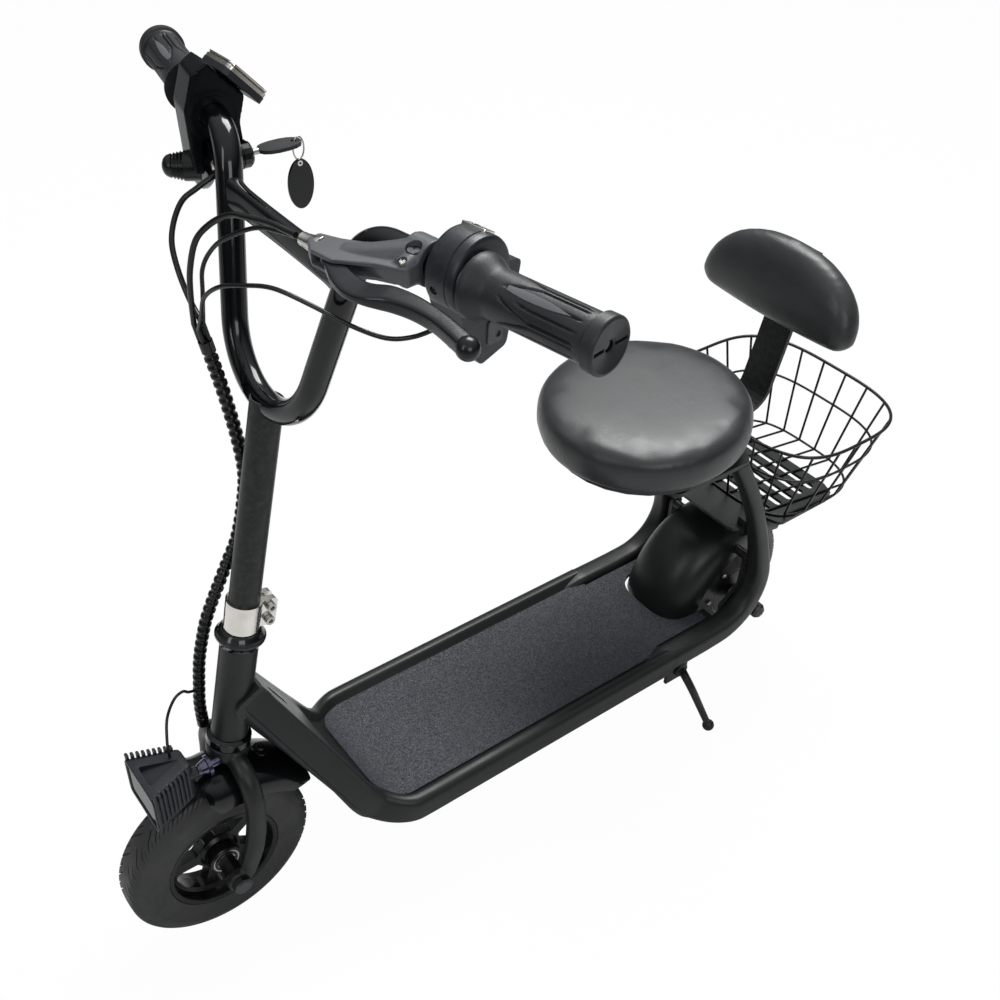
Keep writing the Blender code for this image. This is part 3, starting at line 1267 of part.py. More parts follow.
def dropout(name, side, parent):
    """Plate from the leg's bend down to the axle."""
    ax, az = -WHEELBASE, TYRE_R
    outline = rounded_outline([(ax - 0.0160, az + 0.0060, 0.010), (ax - 0.0080, az - 0.0170, 0.010),
                               (ax + 0.0140, az - 0.0150, 0.008), (ax + 0.0580, az + 0.0120, 0.006),
                               (ax + 0.0600, az + 0.0310, 0.006), (ax + 0.0320, az + 0.0500, 0.010),
                               (ax + 0.0300, az + 0.1020, 0.007), (ax + 0.0140, az + 0.1000, 0.006),
                               (ax + 0.0100, az + 0.0500, 0.020)], 3)
    plane = frame_at((0, 0, 0), (0, -1, 0), (1, 0, 0))
    near = DROPOUT_IN if side > 0 else -DROPOUT_IN
    far = near + side * DROPOUT_THICK
    low, high = sorted((-near, -far))
    plate = solid(name, prism(outline, low, high, plane), BLACK_SATIN, parent)
    cut(plate, rod(AXLE_R + GAP, -0.1, 0.1, wheel_frame(REAR_AXLE), 16))


def rear_fender(parent):
    def crown(part):
        return REAR_FENDER_R + (REAR_FENDER_TAIL_R - REAR_FENDER_R) * max(0.0, part - 0.35) / 0.65

    def half(part):
        return REAR_FENDER_HALF + (REAR_FENDER_TAIL_HALF - REAR_FENDER_HALF) * max(0.0, part - 0.45) / 0.55

    def edge(part):
        return REAR_FENDER_EDGE_R + 0.014 * max(0.0, part - 0.80) / 0.20

    form = fender_form(REAR_AXLE, REAR_FENDER_FROM, REAR_FENDER_TO, 11, crown, edge, half, 0.0024, 0.62)
    fender = solid("rear_fender", form, BLACK_SATIN, parent)
    for side in (-1, 1):
        lug = frame_at(REAR_AXLE + Vector((0.0240, 0, 0.0930)), (0, side, 0), (1, 0, 0))
        add(fender, rod(0.0060, REAR_FENDER_HALF - 0.0080, DROPOUT_IN - GAP, lug, 12))


def rear_rack(parent):
    """Slotted carrier plate between and behind the legs, carrying the basket."""
    inner = LEG_Y - LEG_TOP_WIDTH / 2 - 0.0045
    outline = rounded_outline([(RACK_FRONT_X, inner, 0.010), (RACK_FRONT_X, -inner, 0.010),
                               (RACK_STEP_X, -inner, 0.002), (RACK_STEP_X - 0.008, -RACK_HALF, 0.008),
                               (RACK_REAR_X, -RACK_HALF, 0.022), (RACK_REAR_X, RACK_HALF, 0.022),
                               (RACK_STEP_X - 0.008, RACK_HALF, 0.008), (RACK_STEP_X, inner, 0.002)], 2)
    plate = solid("rear_rack", prism(outline, RACK_Z - RACK_THICK, RACK_Z), BLACK_SATIN, parent)
    slots = []
    for i in range(RACK_SLOTS):
        middle = Matrix.Translation((-WHEELBASE - 0.0190 * i, 0, RACK_Z))
        slots.append(prism(rounded_box(0.0090, 0.130, 0.0042, 2), -0.02, 0.02, middle))
    cut(plate, merged(*slots))
    leg = [Vector((p.x, 0, p.z)) for p in leg_route()]
    beside = min(leg, key=lambda p: abs(p.z - RACK_Z))
    for side in (-1, 1):
        size = (0.0200, 0.0120, 0.0240)
        leg_inner = LEG_Y - leg_half_width(beside) - GAP
        centre = (beside.x, side * (leg_inner - size[1] / 2), RACK_Z - RACK_THICK / 2)
        add(plate, block(size, Matrix.Translation(centre)))


def leg_half_width(point):
    """Half width of the leg's section at a place on its route."""
    path = leg_route()
    index = min(range(len(path)), key=lambda k: (path[k] - point).length)
    part = min(1.0, max(0.0, (index / (len(path) - 1) - 0.22) / 0.50))
    return (LEG_WIDTH + (LEG_TOP_WIDTH - LEG_WIDTH) * part) / 2


def seat_frame(base):
    tilt = Matrix.Rotation(SEAT_TILT, 4, "Y")
    return Matrix.Translation((SEAT_X, 0, base)) @ tilt


def seat(parent):
    bridge_z = LEG_TOP_Z + GAP
    half = LEG_Y + LEG_TOP_WIDTH / 2
    mid = (BRIDGE_FRONT_X + BRIDGE_REAR_X) / 2
    long = BRIDGE_FRONT_X - BRIDGE_REAR_X
    plate = block((long, 2 * half, BRIDGE_THICK), Matrix.Translation((mid, 0, bridge_z + BRIDGE_THICK / 2)), 0.012)
    solid("seat_bridge", plate, BLACK_SATIN, parent)
    top = bridge_z + BRIDGE_THICK
    frame = seat_frame(SEAT_BASE_Z)
    pan = solid("seat_pan", rod(SEAT_PAN_R, -SEAT_PAN_THICK, -GAP, frame, 28), PLASTIC, parent)
    post = block((0.110, 0.120, 0.060), Matrix.Translation((mid + 0.010, 0, top + GAP + 0.030)))
    add(pan, post)
    cut(pan, rod(0.3, -GAP, 0.2, frame, 8))


def cushion_profile():
    """Half section of the round seat: drawn-in sides, welt and a low crown."""
    r, t = SEAT_R, SEAT_THICK
    return [(0.0, 0.0), (r * 0.86, 0.0), (r * 0.935, 0.0035), (r * 0.975, 0.0115), (r, t * 0.42),
            (r * 0.996, t * 0.60), (r * 0.965, t * 0.76), (r * 0.905, t * 0.875), (r * 0.80, t * 0.945),
            (r * 0.55, t * 0.99), (0.0, t)]


def cushion(parent):
    solid("seat_cushion", spun(cushion_profile(), seat_frame(SEAT_BASE_Z), 32), VINYL, parent, sharp=80)


def strap_path():
    """Backrest strap: back under the seat bridge, then up behind the pad."""
    z = LEG_TOP_Z - STRAP_THICK / 2
    rise = Vector((-sin(STRAP_TILT), 0, cos(STRAP_TILT)))
    corner = Vector((STRAP_CORNER_X, 0, z))
    start = Vector((0.1300 - WHEELBASE, 0, z))
    return flow([start, corner, corner + rise * STRAP_LENGTH], (STRAP_BEND,), radians(12))


def strap(parent):
    path = strap_path()
    outline = [(-STRAP_WIDTH / 2, -STRAP_THICK / 2), (STRAP_WIDTH / 2, -STRAP_THICK / 2),
               (STRAP_WIDTH / 2, STRAP_THICK / 2), (-STRAP_WIDTH / 2, STRAP_THICK / 2)]
    solid("backrest_bracket", sweep(path, ACROSS, lambda i: outline), BLACK_SATIN, parent)


def pad(parent):
    """Half-moon backrest pad: padded face, drawn-in rim, flat back against the strap."""
    rise = Vector((-sin(STRAP_TILT), 0, cos(STRAP_TILT)))
    corner = Vector((STRAP_CORNER_X, 0, LEG_TOP_Z - STRAP_THICK / 2))
    face = Vector((cos(STRAP_TILT), 0, sin(STRAP_TILT)))
    base = corner + rise * PAD_LOW_S + face * (STRAP_THICK / 2 + GAP)
    frame = frame_at(base, face, ACROSS)
    flip = 1 if frame.col[1].z > 0 else -1

    def outline(inset):
        half = PAD_HALF - inset
        foot = 0.016 + inset * 0.72
        points = []
        arc = 18
        for k in range(arc + 1):
            a = pi * k / arc
            squash = abs(cos(a)) ** 0.92 * (1 if cos(a) > 0 else -1)
            points.append((half * squash, foot + (PAD_HEIGHT - foot - inset) * sin(a) ** 0.86))
        for k in range(1, 8):
            part = 2 * k / 8 - 1
            points.append((half * 0.965 * part, 0.004 + inset * 0.9 - 0.004 * (1 - part * part)))
        return points

    t = PAD_THICK
    layers = ((0.0, 0.010), (t * 0.10, 0.004), (t * 0.30, 0.0005), (t * 0.50, 0.0), (t * 0.68, 0.0022),
              (t * 0.84, 0.0080), (t * 0.94, 0.0190), (t, 0.0340))
    rings = [[frame @ Vector((x, flip * y, h)) for x, y in outline(inset)] for h, inset in layers]
    solid("backrest_pad", loft(rings), VINYL, parent, sharp=80)


def basket(parent):
    """Wire basket: a flared tub of cells turned into wires by a wireframe."""
    around = 20
    base_z = RACK_Z + GAP + WIRE_R

    def ring(part):
        front = BASKET_FLOOR_X[0] + (BASKET_RIM_X[0] - BASKET_FLOOR_X[0]) * part
        rear = BASKET_FLOOR_X[1] + (BASKET_RIM_X[1] - BASKET_FLOOR_X[1]) * part
        half = BASKET_FLOOR_HALF + (BASKET_RIM_HALF - BASKET_FLOOR_HALF) * part
        mid, long = (front + rear) / 2, (front - rear) / 2
        z = base_z + (BASKET_RIM_Z - base_z) * part
        return [Vector((mid + x, y, z)) for x, y in oval(long, half, 0.62, around)]

    mesh = bpy.data.meshes.new("basket")
    work = bmesh.new()
    loops = []
    for part in (0.0, BASKET_MIDDLE, 1.0):
        loops.append([work.verts.new(p) for p in ring(part)])
    for low, high in zip(loops, loops[1:]):
        for k in range(around):
            j = (k + 1) % around
            work.faces.new((low[k], low[j], high[j], high[k]))
    floor = loops[0]
    quarter = around // 4
    front = [floor[(quarter - 1 - k)] for k in range(quarter)] + [floor[-1 - k] for k in range(quarter)]
    rear = [floor[quarter + k] for k in range(quarter)] + [floor[2 * quarter + k] for k in range(quarter)]
    for k in range(2 * quarter - 1):
        work.faces.new((front[k], rear[k], rear[k + 1], front[k + 1]))
    bmesh.ops.recalc_face_normals(work, faces=work.faces)
    work.to_mesh(mesh)
    work.free()
    thing = bpy.data.objects.new("basket", mesh)
    bpy.context.collection.objects.link(thing)
    paint(thing, WIRE)
    hang(thing, parent)
    wires = thing.modifiers.new("wires", "WIREFRAME")
    wires.thickness = 2 * WIRE_R
    wires.use_boundary = True
    wires.use_even_offset = True
    wires.use_replace = True


def side_stand(parent, holder):
    """Stand leg with its pivot eye and ball foot, and the bracket under the left rail."""
    pivot = Vector((STAND_X, STAND_Y, STAND_Z))
    foot = Vector(STAND_FOOT)
    knee = Vector((STAND_X - 0.004, STAND_Y + 0.020, STAND_Z - 0.020))
    path = smooth([pivot + Vector((0, 0.004, 0)), knee, knee.lerp(foot, 0.5), foot], STAND_STEPS)

    def section(i):
        swell = 0.0010 if i % 2 else 0.0
        return circle(0.0046 + swell - 0.0010 * i / STAND_STEPS, 8)

    leg = solid("kickstand", sweep(path, (1, 0, 0), section), BLACK_SATIN, holder, pivot)
    axis = frame_at(pivot, ACROSS, (1, 0, 0))
    add(leg, rod(0.0095, -0.0035, 0.0035, axis, 12), ball(foot, STAND_FOOT_R, 8))
    cut(leg, bore(STAND_PIN_R + GAP, -0.05, 0.05, axis, 10))


def stand_bracket(parent):
    pivot = Vector((STAND_X, STAND_Y, STAND_Z))
    axis = frame_at(pivot, ACROSS, (1, 0, 0))
    leg_low = leg_place(0).z - LEG_DEPTH / 2
    plate_top = leg_low - GAP
    inside = -0.0035 - RUN
    body = solid("kickstand_bracket",
                 block((0.034, 0.0040, 0.0300), Matrix.Translation((STAND_X, STAND_Y + inside - 0.0020,
                                                                  plate_top - 0.0150))),
                 DARK_STEEL, parent)
    add(body, block((0.034, 0.0180, 0.0040),
                    Matrix.Translation((STAND_X, STAND_Y + inside - 0.0090, plate_top - 0.0020))))
    add(body, rod(STAND_PIN_R, inside - 0.001, 0.0060, axis, 10))


# Cables
def above_axle(places):
    """Route whose typed points have heights from the axle; worked-out points stay as they are."""
    return [p if isinstance(p, Vector) else Vector(p) + UP * TYRE_R for p in places]


def cables(parent):
    harness_route = [(-0.0765, -0.0350, 0.5620), (-0.0817, -0.0335, 0.5330), (-0.0859, -0.0310, 0.5050),
                     (-0.0900, -0.0270, 0.4660), (-0.0905, -0.0228, 0.4320), (-0.0860, -0.0232, 0.4000),
                     (-0.0770, -0.0245, 0.3640), (-0.0660, -0.0265, 0.3390), (-0.0549, -0.0270, 0.3170),
                     (-0.0400, -0.0290, 0.2830), (-0.0325, -0.0310, 0.2559), (-0.0265, -0.0315, 0.2298),
                     (-0.0222, -0.0310, 0.2000), (-0.0195, -0.0305, 0.1759), (-0.0195, -0.0300, 0.1480)]
    count = HARNESS_RIBS * 2
    path = smooth(above_axle(harness_route), count)

    def section(i):
        plain = i < 2 or i > count - 3
        swell = 0.0 if plain or i % 2 else 0.0008
        return circle(HARNESS_R - 0.0008 + swell, 7)

    solid("wiring_harness", sweep(path, (0, 1, 0), section), RUBBER, parent)
    top = path[0]
    into = (path[0] - path[1]).normalized()
    side = into.cross(ACROSS).normalized()
    across = into.cross(side).normalized()

    def entry(a, b, reach):
        return top + into * (GAP * 2 + reach) + side * a + across * b

    near = HARNESS_R * 0.47
    left = brake_frame(1)
    perch = left @ Vector((-0.0135 - ADJUSTER_LEFT - GAP, 0.0345, 0))
    inward = -left.col[0].to_3d()
    right = brake_frame(-1)
    far_perch = right @ Vector((-0.0135 - ADJUSTER_RIGHT - GAP, 0.0345, 0))
    far_inward = -right.col[0].to_3d()
    routes = {
        "brake_cable_left": (CABLE_R, [perch, perch + inward * 0.006,
                                       (-0.0985, 0.0520, 0.6930), (-0.0904, 0.0330, 0.6917),
                                       (-0.0857, 0.0180, 0.6885), (-0.0780, 0.0010, 0.6770),
                                       (-0.0700, -0.0110, 0.6610), (-0.0665, -0.0200, 0.6358),
                                       (-0.0670, -0.0275, 0.6107), entry(-near, near, 0.016),
                                       entry(-near, near, 0)]),
        "sensor_cable_left": (THIN_CABLE_R, [(-0.1210, 0.0905, 0.6830), (-0.1130, 0.0700, 0.6850),
                                             (-0.0990, 0.0350, 0.6820), (-0.0850, 0.0060, 0.6650),
                                             (-0.0800, -0.0120, 0.6480), (-0.0775, -0.0240, 0.6290),
                                             (-0.0775, -0.0290, 0.6080), entry(near, -near, 0.016),
                                             entry(near, -near, 0)]),
        "brake_cable_right": (CABLE_R, [far_perch, far_perch + far_inward * 0.005,
                                        (-0.1330, -0.1100, 0.6575), (-0.1180, -0.1120, 0.6500),
                                        (-0.1060, -0.1130, 0.6430), (-0.0940, -0.1060, 0.6320),
                                        (-0.0840, -0.0930, 0.6200), (-0.0790, -0.0760, 0.6060),
                                        (-0.0780, -0.0600, 0.5890), entry(near, near, 0.018),
                                        entry(near, near, 0)]),
        "switch_cable": (THIN_CABLE_R, [switch_entry(0.0012), switch_entry(-0.0070),
                                        (-0.1530, 0.1480, 0.6310), (-0.1400, 0.1330, 0.6270),
                                        (-0.1250, 0.1100, 0.6310), (-0.1100, 0.0830, 0.6390),
                                        (-0.0955, 0.0550, 0.6440),
                                        (-0.0830, 0.0330, 0.6400), (-0.0735, 0.0120, 0.6320),
                                        (-0.0690, -0.0070, 0.6160), (-0.0700, -0.0190, 0.5960),
                                        entry(-near, -near, 0.012), entry(-near, -near, 0)]),
        "headlight_cable": (THIN_CABLE_R * 0.8, [(-0.0155, -0.0309, 0.1960), (-0.0105, -0.0309, 0.1975),
                                                 (-0.0050, -0.0315, 0.2010),
                                                 (0.0050, -0.0300, 0.1970), (0.0160, -0.0250, 0.1830),
                                                 (0.0235, -0.0140, 0.1680), (0.0260, -0.0080, 0.1590),
                                                 (0.0260, -0.0080, 0.1514)])}
    for name, (radius, places) in routes.items():
        route = above_axle(places)
        length = sum((Vector(b) - Vector(a)).length for a, b in zip(route, route[1:]))
        middle = smooth(route[1:-1], max(9, round(length / 0.018)))
        cord(name, [route[0], *middle, route[-1]], radius, RUBBER, parent)


clear_scene()
ROOT = empty("scooter_origin", (0, 0, 0))
STEERING = empty("steering_pivot", on_steering(HEAD_S), ROOT)
FRONT_WHEEL = empty("front_wheel_pivot", FRONT_AXLE, STEERING)
REAR_WHEEL = empty("rear_wheel_pivot", REAR_AXLE, ROOT)

head_parts(ROOT)
deck(ROOT)
tub(ROOT)
for word, sign in (("l", 1), ("r", -1)):
    rear_leg("rear_leg_" + word, sign, ROOT)
    dropout("dropout_" + word, sign, ROOT)
rear_fender(ROOT)
rear_rack(ROOT)
axle_with_nuts("rear_axle", REAR_AXLE, (MOTOR_HALF + RUN, DROPOUT_IN - GAP, 0.0095),
               DROPOUT_IN + DROPOUT_THICK + GAP, 0.0170, NUT_R, STEEL, ROOT)
seat(ROOT)
cushion(ROOT)
strap(ROOT)
pad(ROOT)
basket(ROOT)
stand_bracket(ROOT)
side_stand(ROOT, ROOT)
tyre("rear_tyre", REAR_AXLE, REAR_WHEEL)
hub_motor(REAR_WHEEL)

fork(STEERING)
stem(STEERING)
handlebar(STEERING)
front_fender(STEERING)
headlight(STEERING)
axle_with_nuts("front_axle", FRONT_AXLE, (HUB_HALF + RUN, BLADE_Y - EYE_HALF - GAP, 0.0095),
               BLADE_Y + EYE_HALF + GAP, 0.0070, NUT_R, STEEL, STEERING)
grip("left_grip", 1, STEERING)
grip("throttle_grip", -1, STEERING)
brake_controls("left", 1, 0.0, ADJUSTER_LEFT, STEERING, STEERING)
brake_controls("right", -1, LEVER_OPEN_RIGHT, ADJUSTER_RIGHT, STEERING, STEERING)
left_switches(STEERING, STEERING, STEERING)
right_controls(STEERING)
lock_and_key(STEERING, STEERING, STEERING)
cables(STEERING)
tyre("front_tyre", FRONT_AXLE, FRONT_WHEEL)
front_rim(FRONT_WHEEL)

ROOT.location.x += ORIGIN_X
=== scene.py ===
"""Dressed model of the seated electric scooter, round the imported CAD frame.

The shapes repeat the part's own values, with finer sections, and add what the plain solids lack.
They are laid out from the front axle and moved by ORIGIN_X, as the part is.
"""
import bpy
import bmesh
import json
from math import sin, cos, tan, pi, radians, sqrt
from mathutils import Vector, Matrix

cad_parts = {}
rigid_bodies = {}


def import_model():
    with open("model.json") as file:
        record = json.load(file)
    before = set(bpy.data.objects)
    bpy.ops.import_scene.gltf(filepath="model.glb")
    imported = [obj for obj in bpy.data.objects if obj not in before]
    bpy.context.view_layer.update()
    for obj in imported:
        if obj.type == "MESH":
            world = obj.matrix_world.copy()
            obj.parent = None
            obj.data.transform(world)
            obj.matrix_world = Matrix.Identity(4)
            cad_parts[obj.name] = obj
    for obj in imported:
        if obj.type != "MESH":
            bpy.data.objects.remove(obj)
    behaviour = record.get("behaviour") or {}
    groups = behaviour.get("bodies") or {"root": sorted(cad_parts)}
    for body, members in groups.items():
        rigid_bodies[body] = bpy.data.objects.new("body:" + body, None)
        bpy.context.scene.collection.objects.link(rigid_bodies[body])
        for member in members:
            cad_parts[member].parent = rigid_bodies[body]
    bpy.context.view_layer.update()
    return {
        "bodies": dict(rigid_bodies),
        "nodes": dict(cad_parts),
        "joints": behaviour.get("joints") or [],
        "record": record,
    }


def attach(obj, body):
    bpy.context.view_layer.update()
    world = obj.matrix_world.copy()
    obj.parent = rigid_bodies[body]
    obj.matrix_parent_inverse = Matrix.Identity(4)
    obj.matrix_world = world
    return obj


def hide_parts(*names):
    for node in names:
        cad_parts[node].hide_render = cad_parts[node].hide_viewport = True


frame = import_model()


# Clearances
GAP = 0.0003
RUN = 0.0005

# Wheels
WHEELBASE = 0.720
TYRE_R = 0.100
TYRE_HALF = 0.0218
TREAD_FLAT = 0.0115
RIM_SEAT_R = 0.0580
RIM_FLANGE_R = 0.0605
RIM_FLANGE_IN = 0.0182
RIM_HALF = 0.0205
RIM_BAND = 0.0045
HUB_R = 0.0170
HUB_HALF = 0.0225
WEB_HALF = 0.0065
SPOKES = 5
SPOKE_WIDTH = 0.0120
WINDOW_IN = 0.0250
AXLE_R = 0.0060
MOTOR_R = 0.0490
MOTOR_HALF = 0.0430

# Steering head
RAKE = radians(11.9)
STEERER_R = 0.0127
HEAD_R = 0.0180
HEAD_WALL = 0.0030
CROWN_S = 0.1350
CROWN_R = 0.0213
YOKE_S = 0.1382
LOWER_CUP_S = 0.1495
LOWER_CUP_R = 0.0217
HEAD_S = 0.1615
HEAD_TOP_S = 0.2698
UPPER_CUP_R = 0.0236
BAND_S = 0.2895
BAND_TOP_S = 0.3199
BAND_R = 0.0169
STEM_R = 0.0143
STEERER_TOP_S = 0.3600

# Handlebar
BAR_R = 0.0111
BAR_BOTTOM_S = 0.5220
BAR_U_RADIUS = 0.0670
BAR_CORNER_Y = 0.1017
BAR_CORNER_S = 0.7087
BAR_BEND = 0.0380
BAR_BOTTOM_Y = 0.0515
BAR_SWEEP = 0.03945
BAR_RISE = 0.00903
BAR_END_Y = 0.3080
BRACE_S = 0.6660
BRACE_HEIGHT = 0.0270
BRACE_THICK = 0.0120

# Grips and hand controls, placed by distance along the bar from its corner
GRIP_R = 0.0174
GRIP_FLANGE_R = 0.0201
GRIP_START = 0.1060
GRIP_CAP = 0.0030
GRIP_COLLAR_R = 0.0232
CLAMP_AT = 0.0560
CLAMP_R = 0.0165
PERCH_THICK = 0.0130
LEVER_PIVOT = (0.0080, 0.0400)
LEVER_LINE = ((0.0080, 0.0400), (0.0200, 0.0465), (0.0340, 0.0535), (0.0490, 0.0575), (0.0620, 0.0555),
              (0.0760, 0.0500), (0.0950, 0.0475), (0.1160, 0.0490), (0.1350, 0.0535), (0.1500, 0.0580))
LEVER_BALL_R = 0.0080
LEVER_TILT_LEFT = radians(3)
LEVER_TILT_RIGHT = radians(84)
LEVER_OPEN_RIGHT = radians(15)
PERCH_SHIFT_RIGHT = 0.0300
ADJUSTER_LEFT = 0.0195
ADJUSTER_RIGHT = 0.0030
SWITCH_AT = 0.0700
SWITCH_LENGTH = 0.0330
SWITCH_R = 0.0282
SWITCH_OFFSET = (-0.0065, 0.0020)
SWITCH_LOW = 0.0600
ROCKER_TURN = radians(117)
DISPLAY_AT = 0.0375
DISPLAY_LENGTH = 0.0360
DISPLAY_MIDDLE = 0.0500
DISPLAY_ANGLE = radians(47)
DISPLAY_SIZE = (0.0420, 0.0520, 0.0120)
DISPLAY_RISE = 0.0270
DISPLAY_LIFT = 0.0020
LOCK_Y = -0.1205
LOCK_Z = TYRE_R + 0.6650
LOCK_R = 0.0115
LOCK_FACE_X = -0.1710
KEY_HEAD = (0.0400, 0.0210, 0.0032)
KEY_SHANK = 0.0090
TAG_SIZE = (0.0250, 0.0450, 0.0026)

# Front fender, headlight
FENDER_R = 0.1250
FENDER_EDGE_R = 0.0880
FENDER_HALF = 0.0355
FENDER_WALL = 0.0022
FENDER_FROM = radians(84.5)
FENDER_TO = radians(142.8)
FENDER_SCREW_AT = radians(119)
BLADE_R = 0.0100
BLADE_Y = 0.0495
EYE_R = 0.0125
EYE_HALF = 0.0050
LAMP_REAR = (0.0141, TYRE_R + 0.1290)
LAMP_FRONT = (0.0620, TYRE_R + 0.1270)
LAMP_REAR_SIZE = (0.0310, 0.0440)
LAMP_FRONT_SIZE = (0.0660, 0.0480)
LAMP_WALL = 0.0022
LAMP_LENS_DEPTH = 0.0040
LAMP_BOLT_Y = 0.0120
LAMP_BOLT_Z = TYRE_R + 0.1385

# Deck and frame
DECK_HALF = 0.0975
WAIST_HALF = 0.0800
DECK_TOP_Z = TYRE_R + 0.0296
RIM_WIDTH = 0.0210
RIM_DEPTH = 0.0260
FLOOR_DROP = 0.0094
NECK_FLOOR = 0.0030
PAN_WALL = 0.0020
NECK_TOP = (-0.0645, TYRE_R + 0.2160)
NECK_FOOT = (-0.1570, TYRE_R + 0.0400)
NECK_HALF = 0.0210
NECK_FILLET = 0.0500
PAN_END_X = 0.0720 - WHEELBASE
RIM_END_X = 0.1650 - WHEELBASE
MAT_THICK = 0.0018
MAT_HALF = 0.0755
MAT_FRONT_X = -0.1630
MAT_REAR_X = 0.0820 - WHEELBASE
SLOT_LENGTH = 0.0370
SLOT_WIDTH = 0.0080
SLOT_AT = (-0.0870, TYRE_R + 0.1720)
TUB_WALL = 0.0020
TUB_DEPTH = 0.0520
TUB_FLAT_HALF = 0.0500
NECK_DEPTH = 0.0370
NECK_FOOT_DEPTH = 0.0310
TUB_TAIL_X = 0.2200 - WHEELBASE
TUB_END_X = 0.1700 - WHEELBASE

# Rear end
LEG_Y = 0.0828
LEG_WIDTH = 0.0294
LEG_TOP_WIDTH = 0.0215
LEG_DEPTH = 0.0290
LEG_TOP_DEPTH = 0.0190
LEG_ROUTE = ((0.1648, 0.0146), (0.1000, 0.0146), (0.0650, 0.0190), (0.0370, 0.0390),
             (0.0230, 0.0750), (0.0300, 0.1200), (0.0490, 0.1800), (0.0740, 0.2350),
             (0.1020, 0.2840))
LEG_TOP_Z = TYRE_R + 0.2820
BRIDGE_THICK = 0.0060
BRIDGE_FRONT_X = 0.2050 - WHEELBASE
BRIDGE_REAR_X = 0.0600 - WHEELBASE
REAR_FENDER_R = 0.1320
REAR_FENDER_TAIL_R = 0.1150
REAR_FENDER_EDGE_R = 0.0860
REAR_FENDER_HALF = 0.0500
REAR_FENDER_TAIL_HALF = 0.0380
REAR_FENDER_FROM = radians(14)
REAR_FENDER_FIRST = radians(7.6)
REAR_FENDER_TO = radians(128)
DROPOUT_IN = 0.0625
RACK_Z = TYRE_R + 0.1560

# Seat, backrest, basket
SEAT_X = 0.1687 - WHEELBASE
SEAT_R = 0.1176
SEAT_THICK = 0.0520
SEAT_TILT = radians(3.9)
SEAT_BASE_Z = TYRE_R + 0.3045
STRAP_WIDTH = 0.0410
STRAP_THICK = 0.0050
STRAP_CORNER_X = -0.0060 - WHEELBASE
STRAP_TILT = radians(14.5)
PAD_HALF = 0.1110
PAD_HEIGHT = 0.0960
PAD_THICK = 0.0400
PAD_LOW_S = 0.1030
BASKET_RIM_X = (0.0400 - WHEELBASE, -0.1600 - WHEELBASE)
BASKET_FLOOR_X = (0.0200 - WHEELBASE, -0.1380 - WHEELBASE)
BASKET_RIM_HALF = 0.1250
BASKET_FLOOR_HALF = 0.0920
BASKET_RIM_Z = TYRE_R + 0.2670
BASKET_MIDDLE = 0.60
WIRE_R = 0.0015

# Side stand
STAND_X = 0.1450 - WHEELBASE
STAND_Y = 0.0905
STAND_Z = TYRE_R - 0.0100
STAND_FOOT = (0.1200 - WHEELBASE, 0.1300, 0.0080)
STAND_FOOT_R = 0.0075
STAND_PIN_R = 0.0040

# Cables
HARNESS_R = 0.0060
CABLE_R = 0.0024
THIN_CABLE_R = 0.0018
HARNESS_RIBS = 52

# Length that centres the whole scooter over its origin, from basket to front tyre
ORIGIN_X = (0.8867 - TYRE_R) / 2


def hold(value):
    """Value held between 0 and 1."""
    return min(1.0, max(0.0, value))


def ease(value):
    """Smooth step from 0 to 1."""
    value = hold(value)
    return value * value * (3 - 2 * value)


def between(low, high, part):
    return low + (high - low) * part


def bent(value, power):
    """Value raised to a power with its sign kept."""
    return abs(value) ** power * (1 if value > 0 else -1)


def polar(radius, angle, height=0.0):
    return Vector((radius * cos(angle), radius * sin(angle), height))


def loft(rings, closed=False):
    """Skin equal rings of points; open lofts get flat ends."""
    count = len(rings[0])
    verts = [tuple(p) for ring in rings for p in ring]
    faces = []
    for i in range(len(rings) if closed else len(rings) - 1):
        here, there = i * count, (i + 1) % len(rings) * count
        for j in range(count):
            k = (j + 1) % count
            faces.append((here + j, here + k, there + k, there + j))
    if not closed:
        faces += [tuple(reversed(range(count))), tuple(range(len(verts) - count, len(verts)))]
    return verts, faces


def merged(*forms):
    verts = []
    faces = []
    for more_verts, more_faces in forms:
        base = len(verts)
        verts += list(more_verts)
        faces += [tuple(base + i for i in face) for face in more_faces]
    return verts, faces


def moved(form, matrix):
    verts, faces = form
    return [matrix @ Vector(v) for v in verts], faces


def circle(radius, count):
    return [(radius * cos(2 * pi * i / count), radius * sin(2 * pi * i / count)) for i in range(count)]


def oval(half_a, half_b, power, count):
    """Superellipse outline: power 1 is an ellipse, smaller is boxier."""
    turns = [2 * pi * (i + 0.5) / count for i in range(count)]
    return [(half_a * bent(cos(a), power), half_b * bent(sin(a), power)) for a in turns]


def rounded_box(width, height, radius, steps=3):
    points = []
    for corner, (sx, sy) in enumerate(((1, 1), (-1, 1), (-1, -1), (1, -1))):
        for i in range(steps + 1):
            a = (corner + i / steps) * pi / 2
            points.append((sx * (width / 2 - radius) + radius * cos(a),
                           sy * (height / 2 - radius) + radius * sin(a)))
    return points


def rounded_outline(corners, steps=3):
    """Closed outline of (x, y, radius) corners, each rounded by an arc."""
    points = []
    count = len(corners)
    for i, (x, y, radius) in enumerate(corners):
        here = Vector((x, y))
        to_last = (Vector(corners[i - 1][:2]) - here).normalized()
        to_next = (Vector(corners[(i + 1) % count][:2]) - here).normalized()
        if radius <= 0:
            points.append((x, y))
            continue
        half = to_last.angle(to_next) / 2
        reach = radius / tan(half)
        centre = here + (to_last + to_next).normalized() * radius / sin(half)
        start = here + to_last * reach - centre
        end = here + to_next * reach - centre
        turn = start.angle_signed(end)
        for k in range(steps + 1):
            a = -turn * k / steps
            spoke = Vector((start.x * cos(a) - start.y * sin(a), start.x * sin(a) + start.y * cos(a)))
            points.append(tuple(centre + spoke))
    return points


